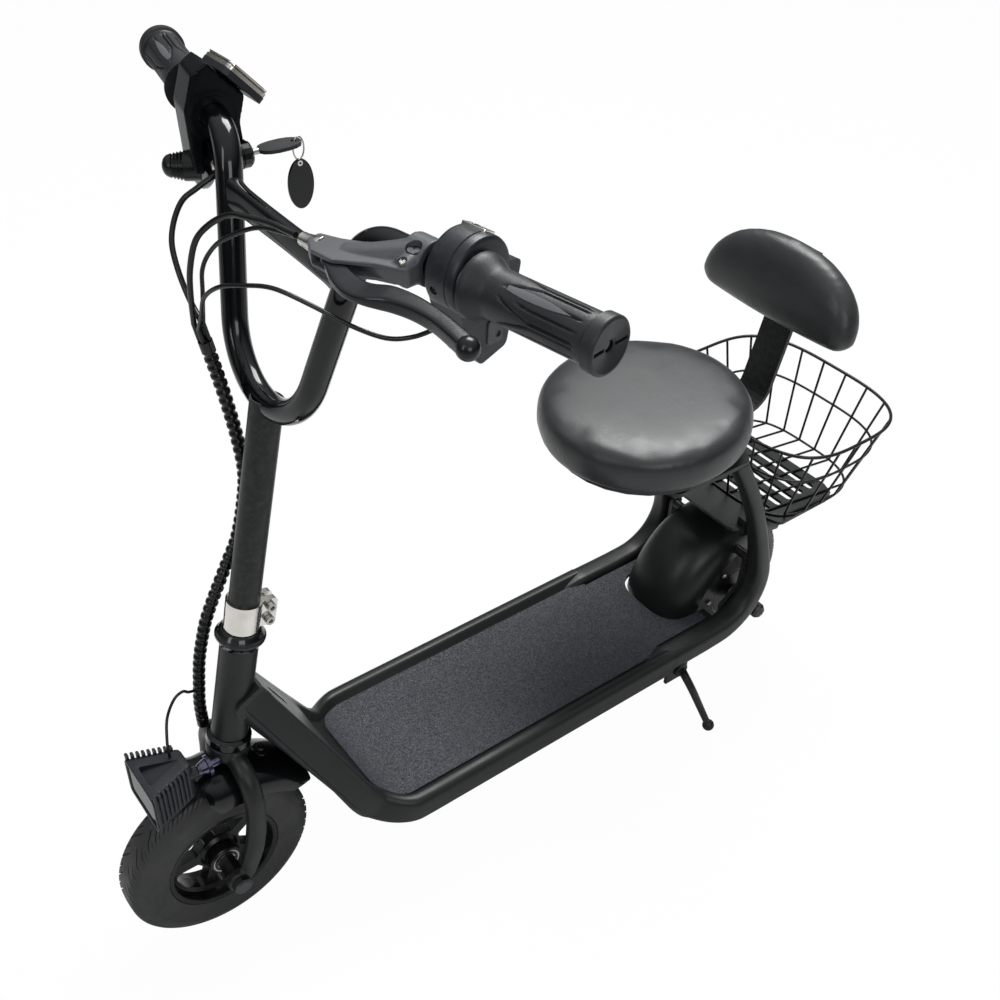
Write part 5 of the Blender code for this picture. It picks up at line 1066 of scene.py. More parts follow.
def wheel_rear():
    here = wheel_frame(REAR_AXLE)
    half = [(AXLE_R + RUN, MOTOR_HALF), (0.0140, MOTOR_HALF), (0.0147, MOTOR_HALF - 0.0007),
            (0.0160, MOTOR_HALF - 0.005), (0.0185, MOTOR_HALF - 0.0062), (0.0330, MOTOR_HALF - 0.0078),
            (0.0345, MOTOR_HALF - 0.0090), (0.0360, MOTOR_HALF - 0.0085), (0.0400, MOTOR_HALF - 0.0105),
            (MOTOR_R - 0.001, RIM_HALF + 0.0050), (MOTOR_R + 0.001, RIM_HALF + 0.0036),
            (0.0525, RIM_HALF + 0.0028), (RIM_FLANGE_R - 0.0006, RIM_HALF), (RIM_FLANGE_R, RIM_HALF - 0.0006),
            (RIM_FLANGE_R, RIM_FLANGE_IN), (RIM_SEAT_R, RIM_FLANGE_IN)]
    drum = shape("rear_motor_drum", turned(half + [(r, -h) for r, h in reversed(half)], here, 96))
    dress(drum, DARK_STEEL_LOOK, "rear_wheel", "dark_steel", "rear_hub_motor")
    heads = []
    for side in (-1, 1):
        for i in range(6):
            a = 2 * pi * i / 6
            face = MOTOR_HALF - 0.0095
            at = REAR_AXLE + Vector((0.0415 * cos(a), side * face, 0.0415 * sin(a)))
            spot = frame_at(at, ACROSS * side, (1, 0, 0))
            heads.append(spun([(0.0, -0.004), (0.0030, -0.004), (0.0030, 0.0008), (0.0024, 0.0016),
                               (0.0014, 0.0016), (0.0012, 0.0006), (0.0, 0.0006)], spot, 18))
    dress(shape("rear_motor_screws", merged(*heads)), STEEL_LOOK, "rear_wheel", "steel")


# Steering column
def fork_piece():
    yoke = on_steering(YOKE_S)
    route = []
    for side in (-1, 1):
        leg = [(-0.0040, side * BLADE_Y, TYRE_R), (-0.0120, side * BLADE_Y, TYRE_R + 0.0080),
               (-0.0208, side * BLADE_Y, TYRE_R + 0.0340), (-0.0262, side * BLADE_Y, TYRE_R + 0.0650),
               (-0.0285, side * BLADE_Y, TYRE_R + 0.0900), (yoke.x, side * 0.0470, yoke.z - 0.0242),
               (yoke.x, side * 0.0375, yoke.z - 0.0082), (yoke.x, side * 0.0220, yoke.z - 0.0012)]
        route += leg if side < 0 else list(reversed(leg))
    route.insert(len(route) // 2, tuple(yoke))
    path = smooth(route, 90)

    def section(i):
        return oval(BLADE_R, between(EYE_HALF, BLADE_R, ease((path[i].z - TYRE_R - 0.008) / 0.040)), 1.0, 24)

    frame_here = steering_frame()
    column = [(0.0, CROWN_S), (CROWN_R - 0.002, CROWN_S), (CROWN_R, CROWN_S + 0.002),
              (CROWN_R, LOWER_CUP_S - GAP), (STEERER_R, LOWER_CUP_S - GAP), (STEERER_R, STEERER_TOP_S - 0.02),
              (0.0, STEERER_TOP_S - 0.02)]
    forms = [sweep(path, (1, 0, 0), section), spun(column, frame_here, 48)]
    for side in (-1, 1):
        eye = frame_at(FRONT_AXLE + ACROSS * side * BLADE_Y, ACROSS, (1, 0, 0))
        forms.append(rod(EYE_R, -EYE_HALF, EYE_HALF, eye, 40))
    body = fused("fork_casting", forms, 0.0013, 6)
    dress(body, SATIN, "steering", "frame_black", "fork")


def head_pieces():
    here = steering_frame()
    close = STEERER_R + RUN
    inner = HEAD_R - HEAD_WALL
    tube = shape("head_tube_fine", hollow(inner, HEAD_R, HEAD_S, HEAD_TOP_S, here, 72))
    dress(soften(tube, 0.0006), SATIN, "frame", "frame_black", "head_tube")
    lower = [(close, LOWER_CUP_S), (LOWER_CUP_R - 0.001, LOWER_CUP_S), (LOWER_CUP_R, LOWER_CUP_S + 0.0015),
             (LOWER_CUP_R, HEAD_S - 0.003), (HEAD_R, HEAD_S - GAP), (inner - GAP, HEAD_S - GAP),
             (inner - GAP, HEAD_S + 0.008), (close, HEAD_S + 0.008)]
    dress(soften(shape("lower_cup_fine", turned(lower, here, 72)), 0.0005), GLOSS, "frame", "bar_gloss",
          "headset_cup_lower")
    upper = [(close, HEAD_TOP_S - 0.008), (inner - GAP, HEAD_TOP_S - 0.008), (inner - GAP, HEAD_TOP_S + GAP),
             (HEAD_R + 0.0004, HEAD_TOP_S + GAP), (HEAD_R + 0.0010, HEAD_TOP_S + 0.0030),
             (UPPER_CUP_R - 0.0018, HEAD_TOP_S + 0.0082), (UPPER_CUP_R - 0.0004, HEAD_TOP_S + 0.0088),
             (UPPER_CUP_R, HEAD_TOP_S + 0.0100), (UPPER_CUP_R, HEAD_TOP_S + 0.0118),
             (UPPER_CUP_R - 0.0014, HEAD_TOP_S + 0.0126), (UPPER_CUP_R - 0.0016, HEAD_TOP_S + 0.0140),
             (UPPER_CUP_R - 0.0028, HEAD_TOP_S + 0.0152), (BAND_R + 0.0030, BAND_S - 0.0022),
             (BAND_R + 0.001, BAND_S - RUN), (close, BAND_S - RUN)]
    dress(soften(shape("upper_cup_fine", turned(upper, here, 72)), 0.0003), GLOSS, "frame", "bar_gloss",
          "headset_cup_upper")


def stem_pieces():
    here = steering_frame()
    fit = STEM_R + GAP
    middle = (BAND_S + BAND_TOP_S) / 2
    band = hollow(fit, BAND_R, BAND_S, BAND_TOP_S, here, 64)
    reach = 0.0270
    ears = []
    for y in (-1, 1):
        ear = frame_at(on_steering(middle, -(BAND_R + reach) / 2 + 0.0015, y * 0.0055), ACROSS, STEER_FWD)
        outline = rounded_box(reach - BAND_R + 0.009, BAND_TOP_S - BAND_S - 0.0012, 0.004, 6)
        ears.append(prism(outline, -0.0030, 0.0030, ear))
    cuts = [block((0.020, 0.0035, 0.05), frame_at(on_steering(middle, -0.021, 0), STEER_DIR, STEER_FWD)),
            rod(fit, BAND_S - 0.01, BAND_TOP_S + 0.01, here, 64)]
    for s in (middle - 0.0075, middle + 0.0075):
        axis = frame_at(on_steering(s, -0.0222, 0), ACROSS, STEER_FWD)
        cuts.append(rod(0.0026 + GAP, -0.02, 0.02, axis, 24))
    collar = carved("clamp_collar_fine", band, ears, cuts)
    dress(soften(collar, 0.0006), CHROME_LOOK, "steering", "chrome", "clamp_collar")
    tube = hollow(STEERER_R + GAP, STEM_R, BAND_S, BAR_BOTTOM_S + 0.004, here, 64)
    dress(shape("stem_tube_fine", tube), SATIN, "steering", "frame_black", "stem_tube")


def fine_bar_path(step):
    rise = (BAR_CORNER_Y - BAR_BOTTOM_Y) / (BAR_CORNER_S - BAR_BOTTOM_S)
    tip_s = BAR_BOTTOM_S - BAR_BOTTOM_Y / rise
    corners = [bar_end(-1), bar_corner(-1), on_steering(tip_s), bar_corner(1), bar_end(1)]
    return flow(corners, (BAR_BEND, BAR_U_RADIUS, BAR_BEND), step)


def bar_pieces():
    path = fine_bar_path(radians(4))
    dress(shape("handlebar_fine", pipe(path, BAR_R, 36)), GLOSS, "steering", "bar_gloss", "handlebar")
    half = bar_arm_y(BRACE_S) - 0.004
    rings = []
    for part in (2 * i / 28 - 1 for i in range(29)):
        flare = max(0.0, (abs(part) - 0.72) / 0.28) ** 2
        height = BRACE_HEIGHT * (0.78 + 0.14 * part * part + 0.20 * flare)
        thick = BRACE_THICK * (1.0 + 0.35 * flare)
        centre = on_steering(BRACE_S, 0, part * half)
        rings.append([centre + STEER_FWD * x + STEER_DIR * z for x, z in oval(thick / 2, height / 2, 0.62, 32)])
    dress(shape("cross_brace_fine", loft(rings)), GLOSS, "steering", "bar_gloss", "cross_brace")


# Brake and grip details: x, y, radius and lift of each perch's screws
SCREWS = ((0.0572, 0.0098, 0.0058, 0.0124), (0.0588, 0.0222, 0.0033, 0.0098))
BOOT_LENGTH = 0.0200
HOOD_FOOT = (0.0205, 0.0464, 0.0084)
HOOD_TIP = (0.0300, 0.0484, 0.0375)
HOOD_R = 0.0125
# Angle round the bar of the painted highlight on each grip's upper leaf
HIGHLIGHT_TURN = radians(58)
GRIP_AROUND = 216
FLANGE_LENGTH = 0.0105
FLANGE_ROUND = 0.0018
LEAF_DEPTH = 0.0019


# Grips: a flared collar, long moulded leaves and a flanged end
def grip_radius(angle, along, length):
    """Radius of the grip's skin at an angle round it and a distance along the bar."""
    into = along - GRIP_START
    left = length - along
    base = GRIP_R + (GRIP_COLLAR_R - GRIP_R) * (1 - ease((into - 0.0015) / 0.0160))
    if left < FLANGE_LENGTH:
        base += (GRIP_FLANGE_R - GRIP_R) * ease((FLANGE_LENGTH - left) / 0.0012)
        if left < FLANGE_ROUND:
            base -= 0.0013 * (1 - left / FLANGE_ROUND) ** 2
        return base
    groove = 0.0
    start, stop = 0.028, length - GRIP_START - 0.016
    if start < into < stop:
        turn = (angle / (2 * pi) * 4) % 1.0
        part = (into - start) / (stop - start)
        spread = 0.10 + 0.34 * min(1.0, part / 0.42) ** 0.7
        for k, deep in ((-1.0, 1.0), (-0.34, 0.75), (0.34, 0.75), (1.0, 1.0)):
            offset = abs(turn - 0.5 - spread * k)
            late = 1.0 if abs(k) == 1.0 else hold((part - 0.22) / 0.05)
            groove = max(groove, deep * late * max(0.0, 1 - (offset / 0.040) ** 2))
        groove *= max(0.0, min(1.0, (into - start) / 0.003, (stop - into) / 0.004))
    return base - LEAF_DEPTH * groove


def grip_piece(name, side, body, node):
    length = grip_length() + GRIP_CAP
    here = around_bar(side, 0)
    turns = [2 * pi * k / GRIP_AROUND for k in range(GRIP_AROUND)]

    def ring(along, radius=None):
        """One ring round the bar; without a radius it follows the grip's skin."""
        return [here @ polar(radius or grip_radius(a, along, length), a, along) for a in turns]

    slack = BAR_R + (GAP if side > 0 else RUN)
    rings = [ring(grip_length() + GAP, slack), ring(GRIP_START, slack)]
    along = GRIP_START
    while along < length - 0.0004:
        rings.append(ring(along))
        fine = length - along < 0.014 or along < GRIP_START + 0.008
        along += 0.0009 if fine else 0.0016
    rings.append(ring(length))
    cap = [(GRIP_FLANGE_R - 0.0030, 0.0), (GRIP_FLANGE_R - 0.0036, -0.0007), (0.0062, -0.0007), (0.0050, -0.0016)]
    rings += [ring(length + drop, radius) for radius, drop in cap]
    end = here @ Matrix.Translation((0, 0, length))
    slots = [rod(0.0042, -0.0040, 0.01, end, 32)]
    slots += [block((0.0120, 0.0026, 0.0060), end @ Matrix.Translation((x, 0, 0)), 0.0012) for x in (-0.0112, 0.0112)]
    grip = carved(name, loft(rings), cuts=slots, sharp=50)
    dress(grip, GRIP_RUBBER, body, "grip_rubber", node)
    # Painted highlight: a thin pale grey patch along the upper leaf stands in for the glossy highlight there
    patch = []
    for i in range(25):
        part = i / 24
        along = GRIP_START + 0.032 + 0.050 * part
        spread = radians(9.5) * max(0.05, 1 - abs(2 * part - 0.8) ** 2.0 / 1.46)
        angles = [HIGHLIGHT_TURN + spread * (k / 4 - 1) for k in range(9)]
        patch.append([here @ polar(GRIP_R + rise, -side * a, along)
                      for rise, row in ((0.0003, angles), (-0.0020, angles[::-1])) for a in row])
    dress(shape(name + "_inlay", loft(patch), 40), PALE_GREY_AND_HIGHLIGHT_LOOK, body, "grip_rubber")


def brake_pieces(word, side, opened, body):
    here = brake_frame(side)
    px, py = LEVER_PIVOT
    path = smooth([(x, y, 0) for x, y in lever_points(opened)], 60)
    last = len(path) - 1
    lean = 1 if carried_frames(path, (0, 1, 0))[30].col[0].y > 0 else -1

    def section(i):
        part = i / last
        thick = min(0.0110, 0.0068 + max(0.0, part - 0.36) * 0.040)
        leaf = ease(1 - abs(part - 0.38) / 0.40)
        wide = 0.0125 + 0.0070 * leaf
        return [(x - 0.0010 * leaf * lean, y) for x, y in oval(wide / 2, thick / 2, 0.42, 28)]

    pin = here @ Matrix.Translation((px, py, 0))
    blade = moved(sweep(path, (0, 1, 0), section), here)
    knob = ball(here @ path[-1], LEVER_BALL_R, 40)
    lever = carved(word + "_lever_cast", blade, [rod(0.0072, -0.0033, 0.0033, pin, 48), knob], sharp=30)
    dress(soften(lever, 0.0007, 3, 28), LEVER_LOOK, body, "control_plastic", word + "_lever")
    perch_piece(word, side)


def perch_piece(word, side):
    """Casting that saddles the bar and carries the lever's slot, with its screws and cable boot."""
    here = brake_frame(side)
    px, py = LEVER_PIVOT
    top = PERCH_THICK / 2
    clamp = frame_at(here @ Vector((CLAMP_AT, 0, 0)), here.col[0].to_3d(), here.col[1].to_3d())
    arm = rounded_outline([(CLAMP_AT + 0.0095, -0.0050, 0.002), (CLAMP_AT + 0.0095, 0.0255, 0.005),
                           (CLAMP_AT - 0.012, 0.0330, 0.006), (px + 0.010, py + 0.0085, 0.004),
                           (px - 0.010, py + 0.0085, 0.005), (-0.0150, 0.0400, 0.004),
                           (-0.0150, 0.0290, 0.004), (0.0020, 0.0240, 0.006),
                           (CLAMP_AT - 0.026, 0.0100, 0.012), (CLAMP_AT - 0.010, 0.0020, 0.002),
                           (CLAMP_AT - 0.010, -0.0050, 0.001)], 4)
    line = smooth([(0.0510, 0.0060, 0), (0.0400, 0.0150, 0), (0.0260, 0.0240, 0), (0.0120, 0.0310, 0)], 18)
    ridge = sweep(line, UP, lambda i: oval(0.0150 - 0.0080 * i / 18, 0.0130 - 0.0050 * i / 18, 0.8, 24))
    line = smooth([(0.0570, 0.0050, 0), (0.0580, 0.0150, 0), (0.0585, 0.0235, 0)], 12)
    saddle = sweep(line, UP, lambda i: oval(0.0134 - 0.0034 * i / 12, 0.0072, 0.7, 24))
    forms = [prism(arm, -top, top, here), rod(CLAMP_R, -0.0098, 0.0098, clamp, 48), moved(ridge, here),
             moved(saddle, here)]
    slot = block((0.064, 0.046, 0.0076), here @ Matrix.Translation((px + 0.0225, py + 0.0140, 0)))
    cuts = [rod(BAR_R + GAP, -0.03, 0.03, clamp, 48), slot]
    screws = []
    for x, y, radius, lift in SCREWS:
        at = here @ Matrix.Translation((x, y, lift))
        cuts.append(rod(radius, -0.0016, 0.012, at, 36))
        head = [(0.0, -0.0022), (radius - 0.0007, -0.0022), (radius - 0.0007, -0.0008), (radius - 0.0012, -0.0003),
                (0.0, -0.0003)]
        groove = block((radius * 2.4, 0.0012, 0.0016), at @ Matrix.Rotation(radians(50), 4, "Z"))
        screws.append((spun(head, at, 32), groove))
    perch = fused(word + "_perch_cast", forms, 0.0009, 5, cuts)
    look = CASTING_LOOK if side > 0 else GLOSS_PLASTIC
    dress(perch, look, "steering", "control_plastic", word + "_perch")
    for number, (head, groove) in enumerate(screws):
        look = (DARK_STEEL_LOOK, STEEL_LOOK)[number]
        dress(carved(f"{word}_perch_screw_{number}", head, cuts=[groove]), look, "steering", "steel")
    boot_at = frame_at(here @ Vector((-0.0060, 0.0345, 0)), -here.col[0].to_3d(), here.col[1].to_3d())
    boot = [(0.0, 0.0), (0.0078, 0.0), (0.0078, 0.0030), (0.0070, 0.0052), (0.0052, 0.0150), (0.0050, BOOT_LENGTH),
            (0.0, BOOT_LENGTH)]
    dress(soften(shape(word + "_cable_boot", spun(boot, boot_at, 40)), 0.0004), CHROME_LOOK, "steering", "chrome")


def hood_piece():
    """Ribbed rubber hood over the right brake's cable."""
    here = brake_frame(-1)
    foot, tip = here @ Vector(HOOD_FOOT), here @ Vector(HOOD_TIP)
    long = (tip - foot).length
    hood = [(0.0, 0.0), (HOOD_R, 0.0), (HOOD_R, long * 0.42)]
    for k in range(4):
        start = long * (0.42 + 0.09 * k)
        r = HOOD_R - 0.0006 * k
        hood += [(r, start + 0.0006), (r - 0.0014, start + 0.0012), (r - 0.0014, start + 0.0018),
                 (r - 0.0006, start + long * 0.09)]
    tail = HOOD_R - 0.0030
    hood += [(tail * cos(pi * k / 16), long * 0.80 + tail * 0.75 * sin(pi * k / 16)) for k in range(1, 8)]
    hood.append((0.0, long * 0.80 + tail * 0.75))
    at = frame_at(foot, tip - foot, here.col[0].to_3d())
    dress(shape("right_cable_hood", spun(hood, at, 48), 50), CABLE_RUBBER, "steering", "cable_rubber")


def left_switch_piece():
    """Round switch drum with its block, screws, side plate and the dark ring before the grip."""
    here = around_bar(1, SWITCH_AT)
    flip = facing_up(here)
    cx, cy = SWITCH_OFFSET
    long = SWITCH_LENGTH
    r = SWITCH_R
    drum_at = here @ Matrix.Translation((cx, flip * cy, 0))
    near = 0.0060
    drum = [(0.0, near), (r - 0.0034, near), (r - 0.0012, near + 0.0007), (r - 0.0002, near + 0.0022),
            (r, near + 0.0040), (r, long - 0.0088),
            (r - 0.0007, long - 0.0084), (r - 0.0007, long - 0.0078), (r, long - 0.0074), (r, long - 0.0032),
            (r - 0.0006, long - 0.0014), (r - 0.0020, long - 0.0003), (r - 0.0034, long), (0.0, long)]
    low = rounded_outline([(cx + r - 0.0060, -0.0080, 0.004), (-0.0240, 0.0060, 0.001), (-0.0465, 0.0010, 0.004),
                           (-0.0400, -0.0330, 0.006), (-0.0340, -SWITCH_LOW, 0.006),
                           (-0.0080, -SWITCH_LOW - 0.006, 0.006), (0.0040, -0.0500, 0.007)], 6)
    lower = prism([(x, flip * y) for x, y in low], 0.0040, long - 0.0015, here)
    out = Vector((-0.984, flip * 0.179, 0)).normalized()
    horn = here @ frame_at(Vector((-0.0440, flip * -0.0110, long / 2)), out, (0, 0, 1))
    cuts = [rod(BAR_R + GAP, -0.01, long + 0.01, here, 64), rod(0.0062 + GAP, -0.0078, 0.02, horn, 40),
            block((0.0190, 0.0090, 0.0120), rocker_frame(here, flip), 0.0010)]
    places = []
    for turn, along in ((-12, 0.0150), (-70, 0.0150)):
        aim = Vector((cos(radians(turn)), flip * sin(radians(turn)), 0))
        at = here @ frame_at(Vector((cx, flip * cy, along)) + aim * (r - 0.0024), aim, (0, 0, 1))
        cuts.append(rod(0.0031, 0.0, 0.01, at, 32))
        places.append(at)
    plate_at = here @ Matrix.Translation((-0.0215, flip * -0.0440, long - 0.0015))
    body = carved("left_switch_drum", spun(drum, drum_at, 112), [lower], cuts, 30)
    dress(soften(body, 0.0008, 3, 34), CONTROL, "steering", "control_plastic", "left_switch_housing")
    for number, at in enumerate(places):
        head = spun([(0.0, -0.0006), (0.0026, -0.0006), (0.0026, 0.0008), (0.0018, 0.0013), (0.0, 0.0013)], at, 28)
        cross = [block((0.0036, 0.0007, 0.0016), at @ Matrix.Translation((0, 0, 0.0012)) @ Matrix.Rotation(a, 4, "Z"))
                 for a in (0.0, pi / 2)]
        dress(carved(f"left_switch_screw_{number}", head, cuts=cross), DARK_STEEL_LOOK, "steering", "dark_steel")
    plate = carved("left_switch_plate", block((0.0150, 0.0190, 0.0022), plate_at, 0.0030),
                   cuts=[rod(0.0024, -0.01, 0.01, plate_at @ Matrix.Translation((-0.0030, 0.0035, 0)), 24)])
    dress(soften(plate, 0.0004), CASTING_LOOK, "steering", "control_plastic")
    rocker_at = rocker_frame(here, flip)
    rocker = carved("light_rocker",
                    block((0.0110, 0.0062, 0.0056), rocker_at @ Matrix.Translation((-0.0025, 0, -0.0018)), 0.0012),
                    [block((0.0022, 0.0056, 0.0030), rocker_at @ Matrix.Translation((-0.0025, 0, 0.0008)), 0.0008)])
    dress(soften(rocker, 0.0003), CONTROL, "light_slide", "chrome", "light_switch")
    bezel = carved("left_rocker_bezel", block((0.0212, 0.0112, 0.0040), rocker_at, 0.0012),
                   cuts=[block((0.0172, 0.0072, 0.0200), rocker_at, 0.0008)])
    dress(soften(bezel, 0.0005), CHROME_LOOK, "steering", "chrome")
    ring = turned([(BAR_R + GAP, long + GAP), (0.0212, long + GAP), (0.0216, long + 0.0010), (0.0212, long + 0.0026),
                   (BAR_R + GAP, long + 0.0026)], here, 72)
    dress(shape("left_gap_ring", ring), CABLE_RUBBER, "steering", "cable_rubber")


# Front fender and lamp
def front_fender_piece():
    def edge(part):
        front = FENDER_EDGE_R + 0.022 * max(0.0, 1 - part / 0.12) ** 2
        return front + 0.016 * part + 0.016 * max(0.0, (part - 0.90) / 0.10) ** 2

    rings = [shell_ring(FRONT_AXLE, between(FENDER_FROM, FENDER_TO, i / 44), FENDER_R, edge(i / 44), FENDER_HALF,
                        FENDER_WALL, 0.80, 33) for i in range(45)]
    out = Vector((cos(FENDER_SCREW_AT), 0, sin(FENDER_SCREW_AT)))
    axis = frame_at(FRONT_AXLE + out * FENDER_R, out, ACROSS)
    post = rod(0.0090, FENDER_R - 0.0015, YOKE_S - BLADE_R - 2 * GAP, steering_frame(), 40)
    seat = spun([(0.0, -0.0012), (0.0095, -0.0012), (0.0092, 0.0006), (0.0082, 0.0016), (0.0, 0.0016)], axis, 40)
    fender = carved("front_fender_fine", loft(rings), [post, seat], [rod(0.0022 + GAP, -0.02, 0.02, axis, 24)])
    dress(soften(fender, 0.0005), FENDER_GLOSS, "steering", "fender_gloss", "front_fender")


def lamp_size(part):
    """Middle's x and z, width and height of the lamp's funnel at a share of its length."""
    return [between(rear, front, part) for rear, front in
            zip(LAMP_REAR + LAMP_REAR_SIZE, LAMP_FRONT + LAMP_FRONT_SIZE)]


def lamp_ring(part, shrink, steps=6):
    x, z, width, height = lamp_size(part)
    outline = rounded_box(width - 2 * shrink, height - 2 * shrink, 0.0065 - shrink * 0.8, steps)
    return [Vector((x, y, z + h)) for y, h in outline]


def lamp_pieces():
    body = [lamp_ring(0, 0.0024), lamp_ring(0.02, 0.0008), lamp_ring(0.06, 0)]
    body += [lamp_ring(0.06 + 0.88 * k / 6, 0) for k in range(1, 7)] + [lamp_ring(0.985, 0.0003), lamp_ring(1, 0.001)]
    ribs = []
    for i in range(9):
        x, z, width, height = lamp_size(0.14 + 0.80 * i / 8)
        for side in (-1, 1):
            centre = Matrix.Translation((x, side * (width / 2 - 0.0010), LAMP_REAR[1] + 0.0046))
            ribs.append(block((0.0030, 0.0062, height * 0.86), centre, 0.0014))
    wedge_at = Matrix.Translation((0.0430, 0, LAMP_FRONT[1] + 0.0262)) @ Matrix.Rotation(radians(9), 4, "Y")
    wedge = prism(rounded_outline([(-0.0230, 0.0, 0.0010), (0.0130, -0.0140, 0.002), (0.0130, 0.0140, 0.002)], 3),
                  -0.0058, 0.012, wedge_at)
    bowl = loft([lamp_ring(0.80, LAMP_WALL + 0.009), lamp_ring(0.90, LAMP_WALL + 0.002), lamp_ring(1.1, LAMP_WALL)])
    seat = frame_at((0, 0, 0), (1, 0, 0), ACROSS)
    boss = rod(0.0055, 0.010, LAMP_REAR[0] + 0.006, Matrix.Translation((0, LAMP_BOLT_Y, LAMP_BOLT_Z)) @ seat, 32)
    housing = carved("lamp_housing_fine", loft(body), ribs + [boss], [bowl, wedge])
    dress(soften(housing, 0.0005), CONTROL, "steering", "body_plastic", "headlight_housing")
    lens = [lamp_ring(part, LAMP_WALL + GAP) for part in (0.975 - LAMP_LENS_DEPTH / 0.048, 0.965, 0.975)]
    dress(soften(shape("lamp_lens_fine", loft(lens)), 0.0006), LENS_LOOK, "steering", "lens_clear", "headlight_lens")
    cup_at = Matrix.Translation((LAMP_FRONT[0] - 0.0050, 0, LAMP_FRONT[1])) @ seat
    cup = [(0.0180, 0.0), (0.0168, -0.0012), (0.0130, -0.0030), (0.0060, -0.0044), (0.0, -0.0048),
           (0.0, -0.0056), (0.0068, -0.0052), (0.0140, -0.0038), (0.0180, -0.0020), (0.0192, 0.0)]
    bowl_form = turned([(max(r, 0.0002), h) for r, h in cup], cup_at, 48)
    dress(shape("lamp_reflector", bowl_form), DARK_STEEL_LOOK, "steering", "dark_steel")
    led = spun([(0.0, -0.0052), (0.0042, -0.0052), (0.0042, -0.0030), (0.0030, -0.0022), (0.0, -0.0020)], cup_at, 32)
    dress(shape("lamp_emitter", led), PALE_GREY_AND_HIGHLIGHT_LOOK, "steering", "steel")


# Deck
def fine_deck_line(step=radians(3)):
    ax, az = NECK_TOP
    bx, bz = NECK_FOOT
    slope = (bz - az) / (bx - ax)
    foot_x = bx + (DECK_TOP_Z - bz) / slope
    corners = [(ax, 0, az), (foot_x, 0, DECK_TOP_Z), (PAN_END_X, 0, DECK_TOP_Z)]
    bend = flow(corners, (NECK_FILLET,), step)
    points = [bend[0].lerp(bend[1], k / 16) for k in range(16)] + bend[1:-1]
    start = bend[-2].x
    points += [Vector((start + (PAN_END_X - start) * k / 30, 0, DECK_TOP_Z)) for k in range(1, 31)]
    return points


def fine_pan_section(half, drop):
    """Pressed pan with rolled edges: rounded corners of one closed outline."""
    edge = min(RIM_WIDTH, half * 0.42)
    k = edge / RIM_WIDTH
    floor = min(FLOOR_DROP, drop)
    low = -RIM_DEPTH
    wall = PAN_WALL
    side = [(half - edge, -floor, 0.0040 * k), (half - edge * 0.68, 0.0, 0.0060 * k), (half, 0.0, 0.0085 * k),
            (half, low, 0.0005), (half - wall, low, 0.0005), (half - wall, -wall, 0.0065 * k),
            (half - edge * 0.62, -wall, 0.0040 * k), (half - edge * 0.94, -floor - wall, 0.0040 * k)]
    corners = side + [(-y, n, r) for y, n, r in reversed(side)]
    return rounded_outline(corners, 4)


def sunk(point):
    """Share of the pan's floor drop: the neck's top is almost flush with its rolled edges."""
    return between(0.18, 1.0, ease((NECK_TOP[0] - 0.030 - point.x) / 0.055))


def head_bore():
    return rod(HEAD_R + GAP, 0.10, 0.45, steering_frame(), 72)


def fender_hole(level, margin):
    return prism(fender_mark(level, margin), DECK_TOP_Z - 0.08, DECK_TOP_Z + 0.07)


def leg_gaps(end_x, inner_y):
    """Blocks that clear the deck beside the legs, behind a place along it."""
    return merged(*[block((0.12, 0.06, 0.08),
                          Matrix.Translation((end_x - 0.06, side * (inner_y + 0.03), DECK_TOP_Z - 0.02)))
                    for side in (-1, 1)])


def pan_piece():
    slope = Vector((NECK_TOP[0] - NECK_FOOT[0], 0, NECK_TOP[1] - NECK_FOOT[1])).normalized()
    normal = Vector((-slope.z, 0, slope.x))
    slot = frame_at((SLOT_AT[0], 0, SLOT_AT[1]), normal, slope)
    cuts = [head_bore(), prism(rounded_box(SLOT_LENGTH, SLOT_WIDTH, SLOT_WIDTH / 2 - 0.0002, 8), -0.02, 0.02, slot),
            fender_hole(0.020, 0.0006), leg_gaps(RIM_END_X, LEG_Y - LEG_WIDTH / 2 - GAP)]
    pan = along_deck(fine_deck_line(), lambda i, p: fine_pan_section(half_width(p), floor_drop(p) * sunk(p)))
    dress(carved("deck_pan", pan, cuts=cuts), SATIN, "frame", "frame_black", "deck_shell")
    side_on = frame_at((NECK_TOP[0], 0, NECK_TOP[1]), ACROSS, slope)
    flip = 1 if side_on.col[1].to_3d().dot(normal) > 0 else -1
    lobe = rounded_outline([(-0.0150, flip * 0.0004, 0), (0.0040, flip * 0.0004, 0.004),
                            (0.0040, flip * -0.0376, 0.013), (-0.0150, flip * -0.0376, 0)], 6)
    cap = carved("neck_cap", prism(lobe, -NECK_HALF - 0.0006, NECK_HALF + 0.0006, side_on), cuts=[head_bore()])
    dress(soften(cap, 0.0016, 3), SATIN, "frame", "frame_black")


